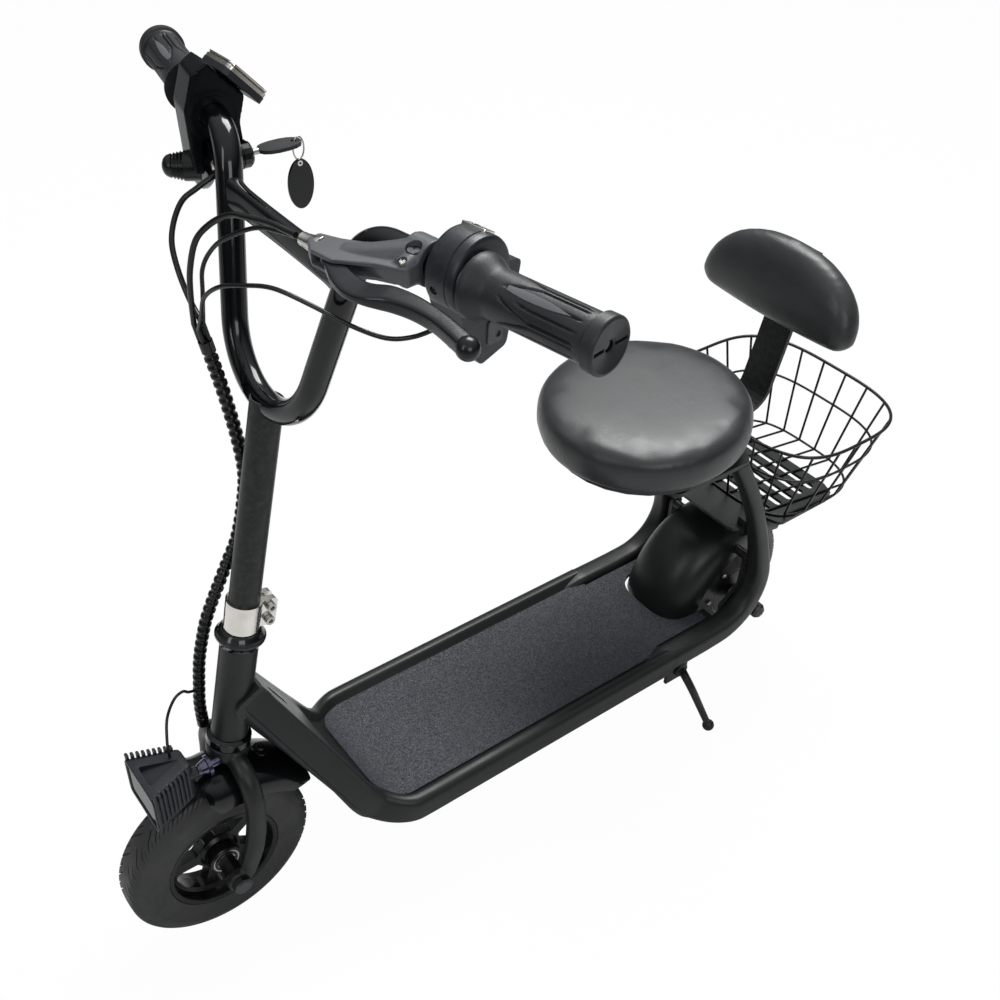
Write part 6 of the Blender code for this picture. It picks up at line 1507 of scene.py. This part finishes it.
def mat_piece():
    """Grip mat: thin sheet laid on the pan's floor, with rounded front corners."""
    points = fine_deck_line()
    start = next(i for i, p in enumerate(points) if p.x < MAT_FRONT_X)
    laid = points[start:]
    lengths = [0.0]
    for p, q in zip(laid, laid[1:]):
        lengths.append(lengths[-1] + (q - p).length)
    rings = []
    corner = 0.016
    extra = [0.0, 0.0006, 0.0018, 0.0036, 0.0060, 0.0095, 0.0130]
    for d in sorted(set(extra) | {d for d in lengths if d > 0.014}):
        i = max(k for k, l in enumerate(lengths) if l <= d + 1e-9)
        j = min(i + 1, len(laid) - 1)
        span = lengths[j] - lengths[i]
        part = (d - lengths[i]) / span if span > 0 else 0.0
        place = laid[i].lerp(laid[j], part)
        place.x = max(place.x, MAT_REAR_X)
        normal = deck_normal(points, start + i).lerp(deck_normal(points, start + j), part)
        narrow = corner - sqrt(max(corner ** 2 - (corner - d) ** 2, 0.0)) if d < corner else 0.0
        half = min(MAT_HALF, half_width(place) - RIM_WIDTH - 0.0005) - narrow
        base = GAP - floor_drop(place)
        outline = [(-half, 0.0), (-half, MAT_THICK - 0.0005), (-half + 0.0005, MAT_THICK)]
        outline += [(half * t, MAT_THICK) for t in (-0.6, -0.2, 0.2, 0.6)]
        outline += [(half - 0.0005, MAT_THICK), (half, MAT_THICK - 0.0005), (half, 0.0)]
        rings.append([place + ACROSS * y + normal * (base + h) for y, h in outline])
        if place.x <= MAT_REAR_X:
            break
    mat = carved("deck_mat_fine", loft(rings),
                 cuts=[fender_hole(0.022, 0.0010), leg_gaps(RIM_END_X + 0.002, LEG_Y - LEG_WIDTH / 2 - 0.002)])
    dress(mat, GRIT_LOOK, "frame", "mat_grit", "deck_mat")


def fine_tub_section(half, depth, flat):
    top = -RIM_DEPTH - GAP
    wall = TUB_WALL
    flat = min(flat, half * 0.62)
    lip = min(0.0040, depth * 0.4)
    turn = min(0.0075, depth * 0.7)
    k = min(1.0, depth / 0.020)
    outer = [(half, top, 0.0004), (half, top - lip, 0.0015 * k), (half - 0.0035, top - turn, 0.0030 * k),
             (flat, top - depth, 0.0080 * k)]
    inner = [(flat, top - depth + wall, 0.0060 * k), (half - 0.0035 - wall, top - turn * 0.75, 0.0020 * k),
             (half - wall, top - lip * 0.8, 0.0010 * k), (half - wall, top, 0.0003)]
    mirrored = [(-y, n, r) for y, n, r in reversed(inner + outer)]
    return rounded_outline(outer + mirrored + inner, 3)


def tub_piece():
    points = [p for p in fine_deck_line() if p.x > TUB_TAIL_X]
    points += [Vector((between(TUB_TAIL_X, TUB_END_X, k / 10), 0, DECK_TOP_Z)) for k in range(11)]

    def section(i, point):
        high = hold((point.z - TYRE_R - 0.08) / 0.10)
        tail = hold((point.x - TUB_END_X) / (TUB_TAIL_X - TUB_END_X))
        shallow = between(NECK_FOOT_DEPTH, NECK_DEPTH, high) - RIM_DEPTH
        depth = between(shallow, TUB_DEPTH - RIM_DEPTH + 0.008, ease((NECK_FOOT[0] + 0.02 - point.x) / 0.07))
        return fine_tub_section(half_width(point) - 0.0015, between(0.0060, depth, sqrt(tail)), TUB_FLAT_HALF)

    cup = rod(LOWER_CUP_R + 0.0010, LOWER_CUP_S - 0.02, HEAD_S + 2 * GAP, steering_frame(), 64)
    cover = carved("bottom_cover_fine", along_deck(points, section), cuts=[head_bore(), cup])
    dress(cover, BODY, "frame", "body_plastic", "bottom_cover")


# Rear end
def fender_mark(level, margin):
    """Outline of the rear fender's skin at a height over the axle, with a margin round it."""
    points = []
    for k in range(49):
        a = pi * k / 48
        radius = between(REAR_FENDER_EDGE_R, REAR_FENDER_R, sin(a) ** 0.62) + margin
        points.append((-WHEELBASE + sqrt(max(radius ** 2 - level ** 2, 0.0)),
                       (REAR_FENDER_HALF + margin) * bent(cos(a), 0.62)))
    far = -WHEELBASE - 0.08
    return [*points, (far, -REAR_FENDER_HALF - margin), (far, REAR_FENDER_HALF + margin)]


def leg_line(side):
    """Leg's centreline, led out of the rim over the first eight places."""
    line = smooth([leg_place(i) for i in range(len(LEG_ROUTE))], 64)
    ahead = (line[0] - line[2]).normalized()
    lead = [line[0] + ahead * (0.058 * k / 8) - UP * (0.012 * (k / 8) ** 1.4) for k in range(8, 0, -1)]
    return [Vector((p.x, side * LEG_Y, p.z)) for p in (*lead, *line)]


def leg_pieces():
    for word, side in (("l", 1), ("r", -1)):
        path = leg_line(side)
        last = len(path) - 1

        def section(i):
            part = ease(((i - 8) / (last - 8) - 0.22) / 0.50)
            grown = min(1.0, 0.45 + 0.55 * i / 8)
            return oval(between(LEG_DEPTH, LEG_TOP_DEPTH, part) / 2 * grown,
                        between(LEG_WIDTH, LEG_TOP_WIDTH, part) / 2 * grown, 0.60, 32)

        top = block((0.2, 0.2, 0.1), Matrix.Translation((leg_place(-1).x, side * LEG_Y, LEG_TOP_Z + 0.05)))
        leg = carved("rear_leg_fine_" + word, sweep(path, UP, section), cuts=[top])
        dress(soften(leg, 0.0005), SATIN, "frame", "frame_black", "rear_leg_" + word)


def rear_fender_piece():
    rings = []
    for i in range(65):
        angle = between(REAR_FENDER_FIRST, REAR_FENDER_TO, i / 64)
        part = max(0.0, (angle - REAR_FENDER_FROM) / (REAR_FENDER_TO - REAR_FENDER_FROM))
        crown = between(REAR_FENDER_R, REAR_FENDER_TAIL_R, max(0.0, part - 0.35) / 0.65)
        half = between(REAR_FENDER_HALF, REAR_FENDER_TAIL_HALF, max(0.0, part - 0.45) / 0.55)
        edge = REAR_FENDER_EDGE_R + 0.014 * max(0.0, part - 0.80) / 0.20
        rings.append(shell_ring(REAR_AXLE, angle, crown, edge, half, 0.0024, 0.62, 37))
    lugs = []
    for side in (-1, 1):
        lug = frame_at(REAR_AXLE + Vector((0.0240, 0, 0.0930)), (0, side, 0), (1, 0, 0))
        lugs.append(rod(0.0060, REAR_FENDER_HALF - 0.0080, DROPOUT_IN - GAP, lug, 32))
    fender = carved("rear_fender_fine", loft(rings), lugs)
    dress(soften(fender, 0.0005), REAR_SATIN, "frame", "rear_fender_black", "rear_fender")


def tapered_bridge():
    """Seat bridge over the two legs, narrowing behind them to the strap."""
    half = LEG_Y + LEG_TOP_WIDTH / 2
    behind = leg_place(-1).x - LEG_TOP_DEPTH / 2
    low = LEG_TOP_Z + GAP
    outline = rounded_outline([(BRIDGE_FRONT_X, half, 0.012), (behind, half, 0.010),
                               (BRIDGE_REAR_X, STRAP_WIDTH / 2 + 0.004, 0.006),
                               (BRIDGE_REAR_X, -STRAP_WIDTH / 2 - 0.004, 0.006), (behind, -half, 0.010),
                               (BRIDGE_FRONT_X, -half, 0.012)], 8)
    bridge = shape("seat_bridge_fine", prism(outline, low, low + BRIDGE_THICK))
    dress(soften(bridge, 0.0008), SATIN, "frame", "frame_black", "seat_bridge")


# Soft pieces
def swollen(thing, voxel, pressure, cap):
    """Cloth under pressure fills the form; no point moves further than the cap."""
    settle(altered(thing, "REMESH", mode="VOXEL", voxel_size=voxel), 80)
    before = [v.co.copy() for v in thing.data.vertices]
    cloth = thing.modifiers.new("cloth", "CLOTH")
    cloth.settings.use_pressure = True
    cloth.settings.uniform_pressure_force = pressure
    cloth.settings.effector_weights.gravity = 0.0
    cloth.settings.quality = 6
    cloth.collision_settings.use_collision = False
    scene = bpy.context.scene
    for step in range(1, 21):
        scene.frame_set(step)
    graph = bpy.context.evaluated_depsgraph_get()
    after = [v.co.copy() for v in thing.evaluated_get(graph).data.vertices]
    thing.modifiers.clear()
    scene.frame_set(1)
    for vertex, old, new in zip(thing.data.vertices, before, after):
        move = new - old
        if move.length > cap:
            move = move.normalized() * cap
        vertex.co = old + move
    altered(altered(thing, "SMOOTH", iterations=8), "SUBSURF", levels=1, render_levels=1)
    return settle(thing, 80)


def flattened(thing, base, up):
    """Move the points under a seat plane up to just over it."""
    for vertex in thing.data.vertices:
        height = (vertex.co - base - SHIFT).dot(up)
        if height < GAP:
            vertex.co += up * (GAP - height)
    return thing


def seat_piece():
    here = seat_frame(SEAT_BASE_Z)
    r, t = SEAT_R * 0.992, SEAT_THICK * 0.975
    rows = [(r * 0.950, 0.0012), (r * 0.985, 0.0050), (r * 0.997, 0.0130), (r, t * 0.48), (r * 0.994, t * 0.66),
            (r * 0.962, t * 0.82), (r * 0.905, t * 0.915), (r * 0.82, t * 0.960), (r * 0.55, t * 0.992), (0.0, t)]
    fine = smooth([(r, 0, h) for r, h in rows], 40)
    profile = [(0.0, 0.0012)] + [(max(p.x, 0.0), p.z) for p in fine]
    profile[-1] = (0.0, profile[-1][1])
    cushion = swollen(shape("seat_cushion_soft", spun(profile, here, 96), 80), 0.0050, 2.0, 0.0012)
    flattened(cushion, here.translation, here.col[2].to_3d())
    dress(cushion, VINYL_LOOK, "frame", "cushion_vinyl", "seat_cushion")


def backrest_piece():
    rise = Vector((-sin(STRAP_TILT), 0, cos(STRAP_TILT)))
    corner = Vector((STRAP_CORNER_X, 0, LEG_TOP_Z - STRAP_THICK / 2))
    face = Vector((cos(STRAP_TILT), 0, sin(STRAP_TILT)))
    base = corner + rise * PAD_LOW_S + face * (STRAP_THICK / 2 + GAP)
    here = frame_at(base, face, ACROSS)
    flip = facing_up(here)

    def outline(inset):
        half = PAD_HALF - 0.0015 - inset
        foot = 0.016 + inset * 0.72
        tall = PAD_HEIGHT - 0.0015 - foot - inset
        points = [(half * bent(cos(a), 0.92), foot + tall * sin(a) ** 0.86) for a in (pi * k / 60 for k in range(61))]
        for part in (2 * k / 24 - 1 for k in range(1, 24)):
            points.append((half * 0.965 * part, 0.0055 + inset * 0.9 - 0.004 * (1 - part * part)))
        return points

    t = PAD_THICK - 0.002
    layers = ((0.0006, 0.010), (t * 0.10, 0.004), (t * 0.30, 0.0005), (t * 0.50, 0.0), (t * 0.68, 0.0022),
              (t * 0.84, 0.0080), (t * 0.94, 0.0190), (t, 0.0340))
    rings = [[here @ Vector((x, flip * y, h)) for x, y in outline(inset)] for h, inset in layers]
    pad = flattened(swollen(shape("backrest_pad_soft", loft(rings), 80), 0.0045, 2.2, 0.0014), base, face)
    dress(pad, VINYL_LOOK, "frame", "cushion_vinyl", "backrest_pad")


def basket_piece():
    """Welded wire basket: rim, middle and floor loops, uprights, and straight wires across the floor."""
    around = 22
    base_z = RACK_Z + GAP + WIRE_R
    even = []
    last, walked = None, 0.0
    for a in (2 * pi * k / 720 for k in range(721)):
        here = Vector((bent(cos(a), 0.62) * (BASKET_RIM_X[0] - BASKET_RIM_X[1]) / 2,
                       bent(sin(a), 0.62) * BASKET_RIM_HALF, 0))
        walked += (here - last).length if last else 0.0
        even.append((walked, a))
        last = here

    def turn_at(share):
        """Angle at a share of the way round the rim, from 0 to 1."""
        goal = share % 1.0 * walked
        i = next(i for i in range(1, len(even)) if even[i][0] >= goal)
        (low, from_a), (high, to_a) = even[i - 1], even[i]
        return from_a + (to_a - from_a) * (goal - low) / (high - low)

    def spot(part, place):
        front, rear = (between(BASKET_FLOOR_X[i], BASKET_RIM_X[i], part) for i in (0, 1))
        a = turn_at((place + 0.5) / around)
        return Vector(((front + rear) / 2 + (front - rear) / 2 * bent(cos(a), 0.62),
                       between(BASKET_FLOOR_HALF, BASKET_RIM_HALF, part) * bent(sin(a), 0.62),
                       between(base_z, BASKET_RIM_Z, part)))

    forms = []
    for part, radius in ((0.0, WIRE_R), (BASKET_MIDDLE, WIRE_R), (1.0, WIRE_R * 1.3)):
        loop = [spot(part, k / 8) for k in range(around * 8)]
        rings = []
        for i, p in enumerate(loop):
            here = frame_at(p, loop[(i + 1) % len(loop)] - loop[i - 1], UP)
            rings.append([here @ Vector((x, y, 0)) for x, y in circle(radius, 12)])
        forms.append(loft(rings, closed=True))
    for k in range(around):
        forms.append(pipe([spot(part / 8, k) for part in range(9)], WIRE_R, 12, (0, 0.1, 1)))
    quarter = around // 4
    floor = [spot(0.0, k) for k in range(around)]
    front = floor[quarter - 1::-1] + floor[:-quarter - 1:-1]
    for a, b in zip(front, floor[quarter:3 * quarter]):
        forms.append(pipe([a.lerp(b, t / 4) for t in range(5)], WIRE_R, 12))
    dress(shape("basket_wires", merged(*forms), 60), WIRE_COAT, "frame", "wire_black", "basket")


def stand_piece():
    pivot = Vector((STAND_X, STAND_Y, STAND_Z))
    foot = Vector(STAND_FOOT)
    knee = Vector((STAND_X - 0.004, STAND_Y + 0.020, STAND_Z - 0.020))
    path = smooth([pivot + Vector((0, 0.004, 0)), knee, knee.lerp(foot, 0.5), foot], 60)
    axis = frame_at(pivot, ACROSS, (1, 0, 0))
    forms = [sweep(path, (1, 0, 0), lambda i: circle(0.0052 - 0.0010 * i / 60, 24)),
             rod(0.0095, -0.0035, 0.0035, axis, 40), ball(foot, STAND_FOOT_R, 32)]
    leg = fused("kickstand_fine", forms, 0.0007, 3, [rod(STAND_PIN_R + GAP, -0.05, 0.05, axis, 24)])
    dress(leg, SATIN, "side_stand", "frame_black", "kickstand")


# Cables
def cable_routes():
    harness = above_axle([(-0.0765, -0.0350, 0.5620), (-0.0817, -0.0335, 0.5330), (-0.0859, -0.0310, 0.5050),
                          (-0.0900, -0.0270, 0.4660), (-0.0905, -0.0228, 0.4320), (-0.0860, -0.0232, 0.4000),
                          (-0.0770, -0.0245, 0.3640), (-0.0660, -0.0265, 0.3390), (-0.0549, -0.0270, 0.3170),
                          (-0.0400, -0.0290, 0.2830), (-0.0325, -0.0310, 0.2559), (-0.0265, -0.0315, 0.2298),
                          (-0.0222, -0.0310, 0.2000), (-0.0195, -0.0305, 0.1759), (-0.0195, -0.0300, 0.1480)])
    path = smooth(harness, 40)
    top = path[0]
    into = (path[0] - path[1]).normalized()
    side = into.cross(ACROSS).normalized()
    across = into.cross(side).normalized()

    def entry(a, b, reach):
        return top + into * (GAP * 2 + reach) + side * a + across * b

    near = HARNESS_R * 0.47
    left = brake_frame(1)
    perch = left @ Vector((-0.0135 - ADJUSTER_LEFT - GAP, 0.0345, 0))
    inward = -left.col[0].to_3d()
    right = brake_frame(-1)
    far_perch = right @ Vector((-0.0135 - ADJUSTER_RIGHT - GAP, 0.0345, 0))
    far_inward = -right.col[0].to_3d()
    return harness, {
        "brake_cable_left": (CABLE_R, [perch, perch + inward * 0.006,
                                       (-0.0985, 0.0520, 0.6930), (-0.0904, 0.0330, 0.6917),
                                       (-0.0857, 0.0180, 0.6885), (-0.0780, 0.0010, 0.6770),
                                       (-0.0700, -0.0110, 0.6610), (-0.0665, -0.0200, 0.6358),
                                       (-0.0670, -0.0275, 0.6107), entry(-near, near, 0.016),
                                       entry(-near, near, 0)]),
        "sensor_cable_left": (THIN_CABLE_R, [(-0.1210, 0.0905, 0.6830), (-0.1130, 0.0700, 0.6850),
                                             (-0.0990, 0.0350, 0.6820), (-0.0850, 0.0060, 0.6650),
                                             (-0.0800, -0.0120, 0.6480), (-0.0775, -0.0240, 0.6290),
                                             (-0.0775, -0.0290, 0.6080), entry(near, -near, 0.016),
                                             entry(near, -near, 0)]),
        "brake_cable_right": (CABLE_R, [far_perch, far_perch + far_inward * 0.005,
                                        (-0.1330, -0.1100, 0.6575), (-0.1180, -0.1120, 0.6500),
                                        (-0.1060, -0.1130, 0.6430), (-0.0940, -0.1060, 0.6320),
                                        (-0.0840, -0.0930, 0.6200), (-0.0790, -0.0760, 0.6060),
                                        (-0.0780, -0.0600, 0.5890), entry(near, near, 0.018),
                                        entry(near, near, 0)]),
        "switch_cable": (THIN_CABLE_R, [switch_entry(0.0012), switch_entry(-0.0070),
                                        (-0.1530, 0.1480, 0.6310), (-0.1400, 0.1330, 0.6270),
                                        (-0.1250, 0.1100, 0.6310), (-0.1100, 0.0830, 0.6390),
                                        (-0.0955, 0.0550, 0.6440),
                                        (-0.0830, 0.0330, 0.6400), (-0.0735, 0.0120, 0.6320),
                                        (-0.0690, -0.0070, 0.6160), (-0.0700, -0.0190, 0.5960),
                                        entry(-near, -near, 0.012), entry(-near, -near, 0)]),
        "headlight_cable": (THIN_CABLE_R * 0.8, [(-0.0155, -0.0309, 0.1960), (-0.0105, -0.0309, 0.1975),
                                                 (-0.0050, -0.0315, 0.2010),
                                                 (0.0050, -0.0300, 0.1970), (0.0160, -0.0250, 0.1830),
                                                 (0.0235, -0.0140, 0.1680), (0.0260, -0.0080, 0.1590),
                                                 (0.0260, -0.0080, 0.1514)])}


def cable(name, path, radius, node):
    """A cable: one poly curve with a round bevel."""
    curve = bpy.data.curves.new(name, "CURVE")
    curve.dimensions = "3D"
    curve.bevel_depth = radius
    curve.bevel_resolution = 4
    curve.use_fill_caps = True
    line = curve.splines.new("POLY")
    line.points.add(len(path) - 1)
    for knot, point in zip(line.points, path):
        knot.co = (*(point + SHIFT), 1.0)
    thing = dress(placed(name, curve), CABLE_RUBBER, "steering", "cable_rubber", node)


def cable_pieces():
    harness, routes = cable_routes()
    count = HARNESS_RIBS * 6
    path = smooth(harness, count)

    def section(i):
        wave = 1.0 if i % 6 in (0, 1, 2) else 0.0
        ends = 0.0 if i < 8 or i > count - 9 else 1.0
        return circle(HARNESS_R - 0.0013 * (1 - wave) * ends, 18)

    tube = shape("harness_sleeve", sweep(path, (0, 1, 0), section), 70)
    dress(tube, CABLE_RUBBER, "steering", "cable_rubber", "wiring_harness")
    for name, (radius, places) in routes.items():
        route = above_axle(places)
        middle = smooth(route[1:-1], 70)
        cable(name + "_line", [route[0], *middle, route[-1]], radius, name)


# Display housing, lock and key tag, then the CAD nodes that stay
def right_switch_piece():
    """Display housing as one soft-edged moulding with a seam ring, and the layered display slab."""
    here = around_bar(-1, DISPLAY_AT)
    flip = facing_up(here)
    outline = rounded_outline([(0.0240, 0.0060, 0.008), (0.0150, 0.0350, 0.006), (0.0020, 0.0440, 0.003),
                               (-0.0267, 0.0140, 0.003), (-0.0210, -0.0080, 0.006), (-0.0230, -0.0380, 0.005),
                               (-0.0080, -0.0380, 0.003), (-0.0065, -0.0185, 0.002), (0.0110, -0.0185, 0.002),
                               (0.0125, -0.0480, 0.003), (0.0215, -0.0480, 0.006)], 5)
    forms = [prism([(x, flip * y) for x, y in outline], 0.0003, DISPLAY_LENGTH, here),
             rod(0.0205, 0.0, DISPLAY_LENGTH + 0.0010, here, 64)]
    slab = display_frame()
    under = DISPLAY_RISE
    cuts = [rod(BAR_R + GAP, -0.02, DISPLAY_LENGTH + 0.02, here, 64),
            prism(rounded_box(0.16, 0.16, 0.006), under - GAP, under + 0.08, slab),
            hollow(0.0168, 0.0178, -0.01, 0.0007, here, 72)]
    housing = fused("display_housing_moulded", forms, 0.0012, 7, cuts)
    dress(housing, GLOSS_PLASTIC, "steering", "control_plastic", "display_housing")
    wide, deep, tall = DISPLAY_SIZE
    layers = (("base", 0.0, 0.0056, 0.0, BODY), ("trim", 0.0056, 0.0090, -0.0003, STEEL_LOOK),
              ("band", 0.0090, 0.0102, -0.0012, BRONZE_LOOK), ("top", 0.0102, 0.0116, -0.0006, CHROME_LOOK),
              ("glass", 0.0116, tall, -0.0024, SCREEN))
    for word, low, high, grow, look in layers:
        plate = prism(rounded_box(wide + 2 * grow, deep + 2 * grow, 0.0055, 8), under + low, under + high, slab)
        piece = soften(shape("display_" + word, plate), 0.0003)
        dress(piece, look, "steering", "control_plastic", *(("display_panel",) if word == "base" else ()))
    button = slab @ Matrix.Translation((wide / 2 - 0.004, deep / 2 - 0.0002, under + 0.0040))
    dress(shape("display_button", block((0.0040, 0.0016, 0.0026), button, 0.0005)), PALE_GREY_AND_HIGHLIGHT_LOOK, "steering",
          "control_plastic")
    lock = frame_at((LOCK_FACE_X, LOCK_Y, LOCK_Z), (-1, 0, 0), (0, 0, 1))
    ring = turned([(LOCK_R - 0.0036, 0.0001), (LOCK_R - 0.0012, 0.0001), (LOCK_R - 0.0016, 0.0010),
                   (LOCK_R - 0.0036, 0.0010)], lock, 48)
    dress(shape("lock_ring", ring), CHROME_LOOK, "steering", "chrome")
    sleeve = hollow(0.0017, 0.0028, 0.0008, KEY_SHANK, lock, 32)
    dress(shape("key_shank", sleeve), STEEL_LOOK, "ignition_key", "steel")


def tag_piece():
    """Hanging oval tag with its wire ring and eyelet."""
    wide, tall, wire, lift = 0.0052, 0.0100, 0.0007, 0.0060
    hole_x = LOCK_FACE_X - KEY_SHANK - KEY_HEAD[0] + 0.0065
    middle = Vector((hole_x - wide * sqrt(1 - (lift / tall) ** 2), LOCK_Y, LOCK_Z - lift))
    loops = []
    for a in (2 * pi * i / 48 for i in range(48)):
        centre = middle + Vector((wide * cos(a), 0, tall * sin(a)))
        out = Vector((cos(a) * tall, 0, sin(a) * wide)).normalized()
        loops.append([centre + out * x + ACROSS * y for x, y in circle(wire, 12)])
    dress(shape("key_ring", loft(loops, closed=True)), STEEL_LOOK, "tag", "steel")
    width, height, thick = TAG_SIZE
    flat = frame_at((middle.x, LOCK_Y, middle.z - tall - height / 2 + 0.0006), ACROSS, (1, 0, 0))
    plate = shape("key_tag_plate", prism(oval(width / 2, height / 2, 1.0, 80), -thick / 2, thick / 2, flat))
    dress(soften(plate, 0.0006, 3), GLOSS, "tag", "bar_gloss", "key_tag")
    eye = frame_at((middle.x, LOCK_Y, middle.z - tall - 0.0030), ACROSS, (1, 0, 0))
    rim = thick / 2 + 0.0003
    dress(shape("key_tag_eyelet", hollow(0.0012, 0.0024, -rim, rim, eye, 32)), CHROME_LOOK, "tag", "chrome")


def kept_pieces():
    """CAD nodes that stay, each with its look and the width of its rounded edges."""
    for look, width, nodes in (
            (SATIN, 0.0008, "dropout_l dropout_r backrest_bracket"), (REAR_SATIN, 0.0007, "rear_rack"),
            (BODY, 0.0010, "seat_pan"), (BODY, 0.0008, "battery_pack"), (BODY, 0.0003, "key"),
            (DARK_STEEL_LOOK, 0.0004, "kickstand_bracket rear_axle front_axle"),
            (DARK_STEEL_LOOK, 0.0002, "fender_screw"), (STEEL_LOOK, 0.0002, "clamp_bolt_a clamp_bolt_b"),
            (CHROME_LOOK, 0.0002, "horn_button"), (GLOSS, 0.0003, "key_lock"), (PAINTED_REFLECTION_CHROME, 0.0004, "headlight_mount")):
        for node in nodes.split():
            keep(node, look, width)


wheel_front()
wheel_rear()
dress(shape("front_tyre_fine", tyre_form(FRONT_AXLE), 40), TYRE, "front_wheel", "tyre", "front_tyre")
dress(shape("rear_tyre_fine", tyre_form(REAR_AXLE), 40), TYRE, "rear_wheel", "tyre", "rear_tyre")
fork_piece()
head_pieces()
stem_pieces()
bar_pieces()
grip_piece("left_grip_fine", 1, "steering", "left_grip")
grip_piece("throttle_grip_fine", -1, "throttle", "throttle_grip")
brake_pieces("left", 1, 0.0, "left_brake")
brake_pieces("right", -1, LEVER_OPEN_RIGHT, "right_brake")
hood_piece()
front_fender_piece()
lamp_pieces()
pan_piece()
mat_piece()
tub_piece()
leg_pieces()
rear_fender_piece()
tapered_bridge()
seat_piece()
backrest_piece()
basket_piece()
stand_piece()
cable_pieces()
left_switch_piece()
right_switch_piece()
tag_piece()
kept_pieces()


# Camera, at the photograph's place
CAM_AT = Vector((0.64935, 0.7660, 1.1796))
CAM_YAW = radians(231.418)
CAM_PITCH = radians(-38.68)
CAM_ROLL = radians(2.447)


def camera():
    ahead = Vector((cos(CAM_YAW) * cos(CAM_PITCH), sin(CAM_YAW) * cos(CAM_PITCH), sin(CAM_PITCH)))
    right = Vector((sin(CAM_YAW), -cos(CAM_YAW), 0))
    above = right.cross(ahead)
    level = right * cos(CAM_ROLL) + above * sin(CAM_ROLL)
    upright = above * cos(CAM_ROLL) - right * sin(CAM_ROLL)
    lens = bpy.data.cameras.new("camera")
    lens.lens = 44.156
    lens.sensor_width = 36.0
    lens.clip_start = 0.01
    lens.clip_end = 60.0
    eye = placed("camera", lens)
    eye.matrix_world = axes_at(CAM_AT, level, upright, -ahead)
    bpy.context.scene.camera = eye


# Floor, world and lamps
FLOOR_RADIUS = 14.0
FLOOR_TONE = 0.62
WHITE_SHARE = 0.975
HORIZON_LEVEL = 0.07
ZENITH_LEVEL = 0.85
LAMPS = (("key_top", (-0.9, -0.6, 2.4), (-0.1, 0.0, 0.5), (1.2, 1.2), 66.0),
         ("side_soft", (0.8, 2.2, 1.7), (0.0, 0.0, 0.4), (1.1, 0.9), 12.5),
         ("front_soft", (2.2, 0.4, 1.9), (0.2, 0.0, 0.4), (0.5, 1.4), 9.0))


def bright_to_eye(tree, dark, share):
    """Mix a shader with plain white for the rays that show the background."""
    path = tree.nodes.new("ShaderNodeLightPath")
    either = tree.nodes.new("ShaderNodeMath")
    either.operation = "MAXIMUM"
    tree.links.new(path.outputs["Is Camera Ray"], either.inputs[0])
    tree.links.new(path.outputs["Is Transmission Ray"], either.inputs[1])
    amount = tree.nodes.new("ShaderNodeMath")
    amount.operation = "MULTIPLY"
    amount.inputs[1].default_value = share
    tree.links.new(either.outputs[0], amount.inputs[0])
    white = tree.nodes.new("ShaderNodeEmission")
    white.inputs["Strength"].default_value = 1.0
    blend = tree.nodes.new("ShaderNodeMixShader")
    tree.links.new(amount.outputs[0], blend.inputs[0])
    tree.links.new(dark, blend.inputs[1])
    tree.links.new(white.outputs[0], blend.inputs[2])
    return blend.outputs[0]


def studio():
    work = bmesh.new()
    bmesh.ops.create_circle(work, cap_ends=True, segments=96, radius=FLOOR_RADIUS)
    mesh = bpy.data.meshes.new("floor")
    work.to_mesh(mesh)
    work.free()
    skin = Skin("floor_paint", (FLOOR_TONE,) * 3, 0.9)
    output = skin.tree.nodes["Material Output"]
    skin.link(bright_to_eye(skin.tree, skin.shader.outputs[0], WHITE_SHARE), output.inputs["Surface"])
    ground = finish(placed("floor", mesh), skin.material)

    world = bpy.data.worlds.new("studio")
    bpy.context.scene.world = world
    world.use_nodes = True
    back = world.node_tree.nodes["Background"]
    back.inputs["Color"].default_value = (0.96, 0.98, 1.0, 1.0)
    tree = world.node_tree
    way = tree.nodes.new("ShaderNodeTexCoord")
    split = tree.nodes.new("ShaderNodeSeparateXYZ")
    rise = fill(tree.nodes.new("ShaderNodeMapRange"), From_Min=0.05, From_Max=1.0, To_Min=HORIZON_LEVEL,
                To_Max=ZENITH_LEVEL)
    rise.interpolation_type = "SMOOTHSTEP"
    tree.links.new(way.outputs["Generated"], split.inputs[0])
    tree.links.new(split.outputs["Z"], rise.inputs["Value"])
    tree.links.new(rise.outputs["Result"], back.inputs["Strength"])
    output = tree.nodes["World Output"]
    tree.links.new(bright_to_eye(tree, back.outputs[0], 1.0), output.inputs["Surface"])
    for name, place, target, size, power in LAMPS:
        light = bpy.data.lights.new(name, "AREA")
        light.shape = "RECTANGLE"
        light.size, light.size_y = size
        light.energy = power
        lamp = placed(name, light)
        lamp.location = place
        lamp.rotation_euler = (Vector(target) - Vector(place)).to_track_quat("-Z", "Y").to_euler()


camera()
studio()
bpy.context.scene.view_settings.view_transform = "Standard"
